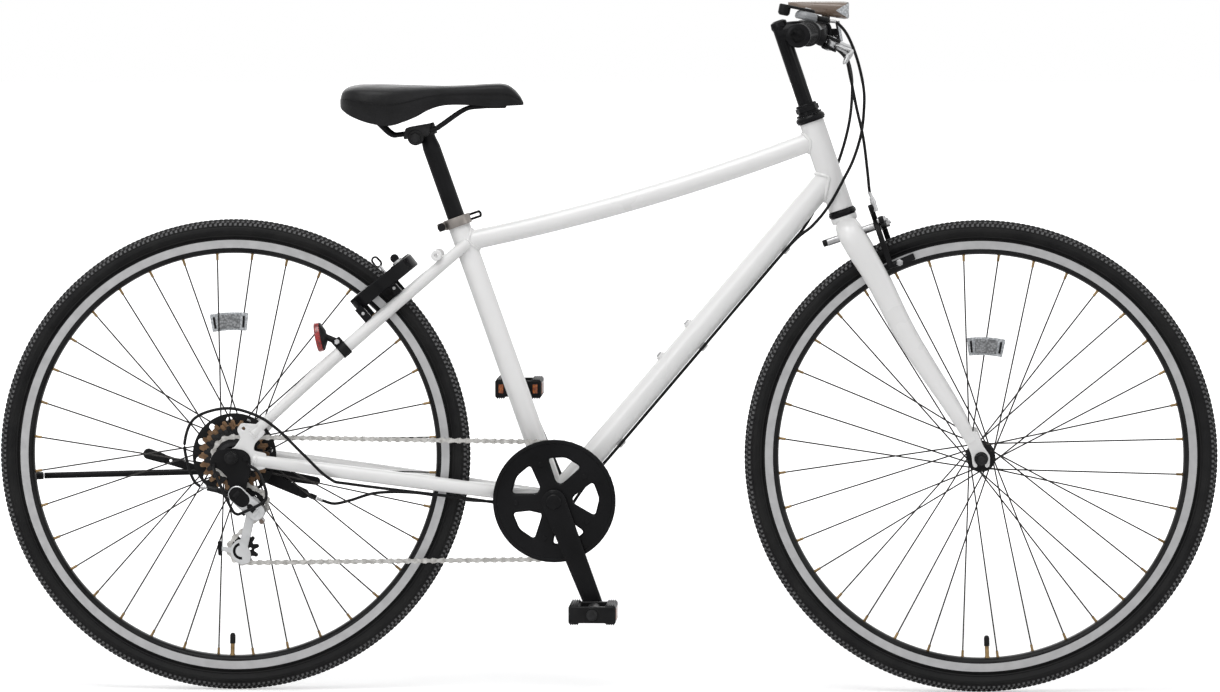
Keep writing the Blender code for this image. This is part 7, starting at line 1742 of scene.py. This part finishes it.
make("kickstand", "stand", [
    turned(stand_ends, stand_pivot, stand_axis, 48, True),
    tube([stand_pivot + side(-0.01, 0), stand_pivot + along * 0.93], 0.0046, 32),
    turned(rounded(mm((0, 0), (5.2, 0), (5.6, 3), (5.6, 16), (4.8, 18.5), (0, 18.5)), 0.001, 4, False),
           stand_pivot + along * 0.935, along, 40, index=1),
    plate(lever, 0.088, 0.092, [lever_hole], 0.0008), plate(lever_cap, 0.0865, 0.0935, (), 0.0018, 1),
], [black_gloss, black_plastic])

# %% [markdown]
# ## Front brake
# Two pressed arms turn on one bolt in front of the crown. Each bends outwards round the tyre and
# comes back to its shoe beside the rim. The arm's outline is a strip along a smooth spine.

# %% Brake arms


def caliper_arm(name, sign, body, layer):
    """A strip along a spine, an eye on the bolt, a horn for the cable, and the shoe on its stud."""
    down, out = -STEER_UP, LEFT * sign
    spine = flow(mm((0, -2), (-6, 12), (4, 26), (24, 33), (46, 31), (60, 27.5)), 6)
    heading = units(np.gradient(spine, axis=0))
    normal = np.stack([-heading[:, 1], heading[:, 0]], axis=1) * 0.0055
    outline = np.vstack([spine + normal, (spine - normal)[::-1]])
    origin = caliper_place(0, 0, 0)
    facing = np.dot(np.cross(down, out), STEER_AHEAD) > 0
    near, far = (layer, layer + 0.008) if facing else (-layer - 0.008, -layer)
    horn = {-1: (-0.028, 0.026), 1: (-0.007, -0.028)}[sign]
    eye = hoop(0.0032, 0.0085, 0, 0.008)
    shapes = [
        slab(outline, origin, down, out, near, far, (), 0.0012),
        turned(eye, caliper_place(0, 0, layer), STEER_AHEAD, 40, True),
        slab(capsule((-0.001, 0.001), horn, 0.007, 0.005, 20), origin, down, out, near + 0.0002, far - 0.0002,
             (), 0.001),
    ]
    end = origin + down * horn[0] + out * horn[1] + STEER_AHEAD * (layer + 0.004)
    if sign < 0:
        end = end + STEER_AHEAD * 0.0055
        shapes.append(rod(end - STEER_UP * 0.007, end + STEER_UP * 0.014, 0.0038, 24, index=1))
        shapes.append(rod(end + STEER_UP * 0.004, end + STEER_UP * 0.009, 0.0044, 10, index=1))
    else:
        shapes.append(hexagon(end + STEER_AHEAD * 0.003, STEER_AHEAD, 0.0044, 0.0045, 1))
        shapes.append(rod(end - STEER_AHEAD * 0.006, end, 0.004, 24, index=1))
    face = 0.014
    middle = caliper_place(0.06, sign * (face + 0.004), 0.056)
    run = FRONT_AXLE - middle
    run = unit(np.cross(unit(side(*flat(run))), LEFT))
    across = np.cross(run, LEFT)
    shapes += [
        block(middle, (0.046, 0.0072, 0.0095), run, across, 0.0015, 0.0006, 2),
        *[block(middle + run * s * 0.0225 - LEFT * sign * 0.0005, (0.001, 0.0064, 0.0096), run, across,
                0.0003, 0.0002, 0)
          for s in (-0.5, 0.0, 0.5)],
        block(middle + LEFT * sign * 0.0032, (0.044, 0.0012, 0.0088), run, across, 0.001, 0.0004, 0),
        rod(at_side(middle, sign * (face + 0.007)), at_side(middle, sign * (face + 0.024)), 0.0032, 24,
            index=1),
        hexagon(at_side(middle, sign * (face + 0.0175)), LEFT * sign, 0.0052, 0.004, 1),
        rod(caliper_place(0.06, sign * 0.0275, layer + 0.001), at_side(middle, sign * 0.0275), 0.0045, 28),
    ]
    make(name, body, shapes, [black_satin, steel, black_plastic])


caliper_arm("caliper_right_arm", -1, "caliper_right", 0.038)
caliper_arm("caliper_left_arm", 1, "caliper_left", 0.0463)

# %% [markdown]
# ## Frame lock and reflector
# The lock is a horseshoe of black sheet steel round the tyre. Its curved bolt lies drawn back
# inside, with a loop lever standing out of a slot, and the key sits on the right shoulder.

# %% Frame lock
LOCK_CENTRE = rear(0.2154, 0.249)
LOCK_DOWN = unit(side(-0.782, -0.624))
LOCK_NORMAL = np.cross(LEFT, LOCK_DOWN)
LOCK_MIDDLE, LOCK_OPENING, LEVER_ANGLE = 0.049, 28.0, 100.0


def lock_point(down, out, above=0.0):
    """A point measured down the lock's plane from its centre, to the left and above the plane."""
    return LOCK_CENTRE + LOCK_DOWN * down + LEFT * out + LOCK_NORMAL * above


def lock_band(inner, outer, first, last, low, high, ease=0.0008, index=0):
    """A part of a flat ring round the lock's centre, between two heights above its plane."""
    steps = max(6, int(abs(last - first) / 4))
    outline = np.vstack([arc((0, 0), outer, first, last, steps), arc((0, 0), inner, last, first, steps)])
    return slab(outline, LOCK_CENTRE, LOCK_DOWN, LEFT, -high, -low, (), ease, index)


LOCK_IN, LOCK_OUT, BLOCK_END = 0.04, 0.058, 112.0
room, slot = 0.0048, 0.0031
closed_end, open_end = 360.0 - LOCK_OPENING, LOCK_OPENING
lock_shapes = [lock_band(*band) for band in (
    (LOCK_IN, LOCK_OUT, BLOCK_END, closed_end - 14.0, -0.01, 0.01, 0.0016),
    (LOCK_IN, LOCK_OUT, open_end, BLOCK_END, -0.01, -room),
    (LOCK_IN, 0.0442, open_end, BLOCK_END, -0.0052, 0.01),
    (0.0538, LOCK_OUT, open_end, BLOCK_END, -0.0052, 0.01),
    (0.044, LOCK_MIDDLE - slot, open_end, BLOCK_END, room, 0.01, 0.0003),
    (LOCK_MIDDLE + slot, 0.054, open_end, BLOCK_END, room, 0.01, 0.0003),
    (LOCK_MIDDLE - slot, LOCK_MIDDLE + slot, LEVER_ANGLE + 6.0, BLOCK_END, room, 0.01, 0.0003),
    (LOCK_IN, LOCK_OUT, closed_end - 14.0, closed_end, -0.01, -room),
    (LOCK_IN, 0.0442, closed_end - 14.0, closed_end, -0.0052, 0.01),
    (0.0538, LOCK_OUT, closed_end - 14.0, closed_end, -0.0052, 0.01),
    (LOCK_IN, LOCK_OUT, closed_end - 14.0, closed_end, room, 0.01, 0.001),
    (0.0415, 0.0565, 118.0, 200.0, 0.0098, 0.0116, 0.001),
    (0.0415, 0.0565, 290.0, 318.0, 0.0098, 0.0106, 0.0006, 1),
)]
key_foot = lock_point(-0.038, -0.022, 0.01)
key_up = LOCK_NORMAL
lock_shapes += [
    rod(key_foot - key_up * 0.001, key_foot + key_up * 0.0035, 0.0078, 36, 0.0008, 1),
    slab(capsule((0, 0.0035), (0, 0.008), 0.005, 0.0062, 20), key_foot, LOCK_DOWN, key_up, -0.0024, 0.0024,
         (), 0.0009),
]
for sign in (-1, 1):
    for share in (0.5, 0.74):
        stay = on_stay(sign, share)
        lift = np.dot(LOCK_CENTRE - stay, LOCK_NORMAL) - 0.01 + 0.005
        low = on_stay(sign, share, 0.0092 * (0.9 + 0.1 * share) + GAP) + LEFT * 0.003 * sign
        high = on_stay(sign, share, lift) + LEFT * 0.003 * sign
        upward = unit(high - low)
        lock_shapes.append(block((low + high) / 2, (0.012, 0.009, float(np.linalg.norm(high - low))),
                                 -np.cross(upward, LEFT), upward, 0.0005, 0.0006))
        lock_shapes.append(rod((low + high) / 2, (low + high) / 2 + LEFT * sign * 0.0062, 0.0024, 20, 0.0004,
                               1))
make("ring_lock", "bicycle", lock_shapes, [black_gloss, steel])

bolt_arc = arc((0, 0), LOCK_MIDDLE, 30, 108, 40)
stem_place = (LOCK_MIDDLE * math.cos(math.radians(LEVER_ANGLE)),
              LOCK_MIDDLE * math.sin(math.radians(LEVER_ANGLE)))
loop = capsule((0, 0.028), (0, 0.034), 0.0065, 0.006, 20)
make("lock_bolt", "bolt", [
    tube([lock_point(a, b) for a, b in bolt_arc], [0.003] + [0.0042] * 39, 28, LOCK_NORMAL),
    rod(lock_point(*stem_place), lock_point(*stem_place, 0.025), 0.0024, 20),
    slab(loop, lock_point(*stem_place), LOCK_DOWN, LOCK_NORMAL, -0.0022, 0.0022,
         [capsule((0, 0.028), (0, 0.034), 0.0036, 0.0032, 16)[::-1]], 0.001, 1),
], [chrome, black_plastic])

# %% [markdown]
# The rear reflector is a red moulding full of tiny corner prisms on a black cone. It stands on
# a small bracket clamped to the right seat stay.

# %% Rear reflector
lens_middle = rear(0.123, 0.173, -0.045)
lens_axis = unit(side(-0.983, -0.183))
cone = rounded(mm((0, -14), (8.5, -14), (20.5, -8), (20.5, -5.8), (0, -5.8)), 0.001, 4, False)
glass = rounded(mm((0, -6.2), (21.3, -6.2), (21.5, 0.2), (19.8, 1.8), (0, 2.2)), 0.001, 4, False)
stay_top, link_start = on_stay(-1, 0.97, 0.019), on_stay(-1, 0.97, 0.015)
stay_low = on_stay(-1, 0.97, 0.0092 + GAP)
upward = unit(stay_top - stay_low)
make("rear_reflector", "bicycle", [
    turned(cone, lens_middle, lens_axis, 64), turned(glass, lens_middle, lens_axis, 64, index=1),
    block((stay_low + stay_top) / 2, (0.014, 0.01, float(np.linalg.norm(stay_top - stay_low))),
          -np.cross(upward, LEFT),
          upward, 0.001),
    rod(link_start, lens_middle - lens_axis * 0.01, 0.0045, 28),
    turned(hoop(0.0095, 0.0112, -0.007, 0.007, 0.0006),
           on_stay(-1, 0.97), on_stay(-1, 1) - on_stay(-1, 0), 48, True),
    hexagon(stay_top - upward * 0.0045, -LEFT, 0.0042, 0.0075, 2),
], [black_plastic, red_lens, steel])

# %% [markdown]
# ## Cables
# A cable's housing is a smooth sleeve of plastic over wound steel. Both of its ends are held, so
# it keeps the bend that its stiffness gives. Each end has a bright ferrule where the wire enters.
# The front brake's cable turns with the bars. The other two leave the bars and are clipped to the
# frame; they stand fixed in place without a body.

# %% Cables
BARS_TO_FRAME = ("steering", "bicycle", (0.355, 0.0, 0.93), (0.325, 0.0, 0.7))


def cable(name, body, route):
    """A round housing along a smooth curve, with a ferrule at each end."""
    line = flow([side(x, z, y) for x, z, y in route], 8)
    shapes = [tube(line, 0.0022, 18, UP)]
    for first, second in ((line[0], line[6]), (line[-1], line[-7])):
        shapes.append(rod(first, first + unit(second - first) * 0.009, 0.0026, 20, 0.0004, 1))
    make(name, body, shapes, [black_plastic, steel])


cable("shift_cable", BARS_TO_FRAME, mm(
    (323.2, 974.9, -142), (333, 972.5, -140.5), (348, 955, -125), (362, 920, -95), (371, 880, -65),
    (372, 850, -42), (368, 812, -32), (357, 775, -28), (343, 746, -26), (322, 708, -20), (298, 678, -11),
    (258.7, 642.2, -7.1), (139.5, 501.4, -7.1), (20.2, 360.6, -7.1), (-31.5, 299.7, -7.1), (-54.8, 265.9, -8),
    (-64.5, 257.8, -9), (-77, 255.6, -9), (-89, 259.2, -10), (-142, 271, -20), (-202, 282, -34),
    (-365, 303, -53), (-400, 313, -68), (-438, 350, -80.5), (-473, 384, -80.5), (-505, 405, -80.5),
    (-548, 415, -81), (-593, 401, -81), (-608, 367, -81), (-604, 335, -80.5), (-595.5, 311, -80),
    (-585.6, 301.7, -80), (-576.8, 299.8, -80)))
cable("rear_brake_cable", BARS_TO_FRAME, mm(
    (326.8, 937.6, 130), (330, 937, 120.5), (345, 922, 92), (353, 895, 68), (354, 862, 46), (350, 825, 33),
    (340, 785, 26), (325, 745, 24.5), (305, 708, 20), (285, 674, 12), (258.7, 642.2, 7.1),
    (139.5, 501.4, 7.1), (20.2, 360.6, 7.1), (-31.5, 299.7, 7.1), (-54.8, 265.9, 8), (-64.5, 257.8, 9),
    (-77, 255.6, 9), (-89, 259.2, 10), (-142, 271, 21), (-215, 275, 38), (-284, 284, 48), (-340, 283, 55),
    (-378, 272, 58.5), (-402, 266.8, 59.3), (-419.5, 271.3, 59.3), (-428, 274.7, 59.3)))
cable("front_brake_cable", "steering", mm(
    (326.6, 937.64, -130.66), (330, 937, -120.5), (345.5, 921, -94), (352, 895, -68), (361, 850, -55),
    (371, 805, -46), (377, 757, -35), (379.9, 728.7, -26.3), (383, 719.3, -26)))

# %% [markdown]
# ## Floor and light
# The bicycle stands in a white studio. Big soft lamps hang above and beside it, and the world is
# white to the camera and in reflections only, so the object itself isn't lit too strongly.

# %% Floor, world and lamps
floor_mesh = bpy.data.meshes.new("floor")
floor_mesh.from_pydata([(-30, -12, 0), (30, -12, 0), (30, 60, 0), (-30, 60, 0)], [], [(0, 1, 2, 3)])
floor = bpy.data.objects.new("floor", floor_mesh)
bpy.context.scene.collection.objects.link(floor)
paper = finish("studio_floor", (0.93, 0.93, 0.93), 0.9)
nodes, links = paper.node_tree.nodes, paper.node_tree.links
lift, add, path = (nodes.new(f"ShaderNode{kind}") for kind in ("Emission", "AddShader", "LightPath"))
where, far, away = (nodes.new(f"ShaderNode{kind}") for kind in ("TexCoord", "VectorMath", "MapRange"))
far.operation = "LENGTH"
links.new(where.outputs["Object"], far.inputs[0])
links.new(far.outputs["Value"], away.inputs["Value"])
for key, value in (("From Min", 1.2), ("From Max", 3.5), ("To Min", 0.42), ("To Max", 1.0)):
    away.inputs[key].default_value = value
seen_lift = nodes.new("ShaderNodeMath")
seen_lift.operation = "MULTIPLY"
links.new(path.outputs["Is Camera Ray"], seen_lift.inputs[0])
links.new(away.outputs["Result"], seen_lift.inputs[1])
links.new(seen_lift.outputs[0], lift.inputs["Strength"])
links.new(nodes["Principled BSDF"].outputs["BSDF"], add.inputs[0])
links.new(lift.outputs["Emission"], add.inputs[1])
links.new(add.outputs["Shader"], nodes["Material Output"].inputs["Surface"])
floor_mesh.materials.append(paper)

world = bpy.data.worlds.new("studio")
bpy.context.scene.world = world
world.use_nodes = True
nodes, links = world.node_tree.nodes, world.node_tree.links
sky, glow, mix = nodes["Background"], nodes.new("ShaderNodeBackground"), nodes.new("ShaderNodeMixShader")
path, seen, any_seen = (nodes.new(f"ShaderNode{kind}") for kind in ("LightPath", "Math", "Math"))
seen.operation = any_seen.operation = "MAXIMUM"
links.new(path.outputs["Is Camera Ray"], seen.inputs[0])
links.new(path.outputs["Is Glossy Ray"], seen.inputs[1])
links.new(seen.outputs[0], any_seen.inputs[0])
links.new(path.outputs["Is Transmission Ray"], any_seen.inputs[1])
links.new(any_seen.outputs[0], mix.inputs["Fac"])
sky.inputs["Color"].default_value = (0.43, 0.43, 0.435, 1.0)
glow.inputs["Color"].default_value = (1.0, 1.0, 1.0, 1.0)
links.new(sky.outputs["Background"], mix.inputs[1])
links.new(glow.outputs["Background"], mix.inputs[2])
links.new(mix.outputs["Shader"], nodes["World Output"].inputs["Surface"])


def lamp(name, place, aim, size, power):
    """A square soft box at a place, pointing at another."""
    data = bpy.data.lights.new(name, "AREA")
    data.shape, data.size, data.energy = "SQUARE", size, power
    item = bpy.data.objects.new(name, data)
    bpy.context.scene.collection.objects.link(item)
    z = unit(np.array(place) - np.array(aim))
    x = unit(np.cross(UP, z))
    item.matrix_world = placed(x, np.cross(z, x), z, place)
    print(f"{name}: {power} W at {place}")


lamp("top_box", (-0.6, -1.4, 3.6), (0.0, 0.0, 0.4), 2.4, 58.0)
lamp("front_box", (-2.4, -3.8, 2.2), (0.0, 0.0, 0.5), 1.8, 21.0)
lamp("side_box", (3.4, -1.6, 1.4), (0.3, 0.0, 0.5), 1.6, 8.0)
lamp("back_box", (-0.8, 3.6, 2.4), (0.0, 0.0, 0.5), 2.2, 17.0)

# %% [markdown]
# The colours are shown as they are written, without a film look.

# %% View
scene = bpy.context.scene
scene.view_settings.view_transform = "Standard"
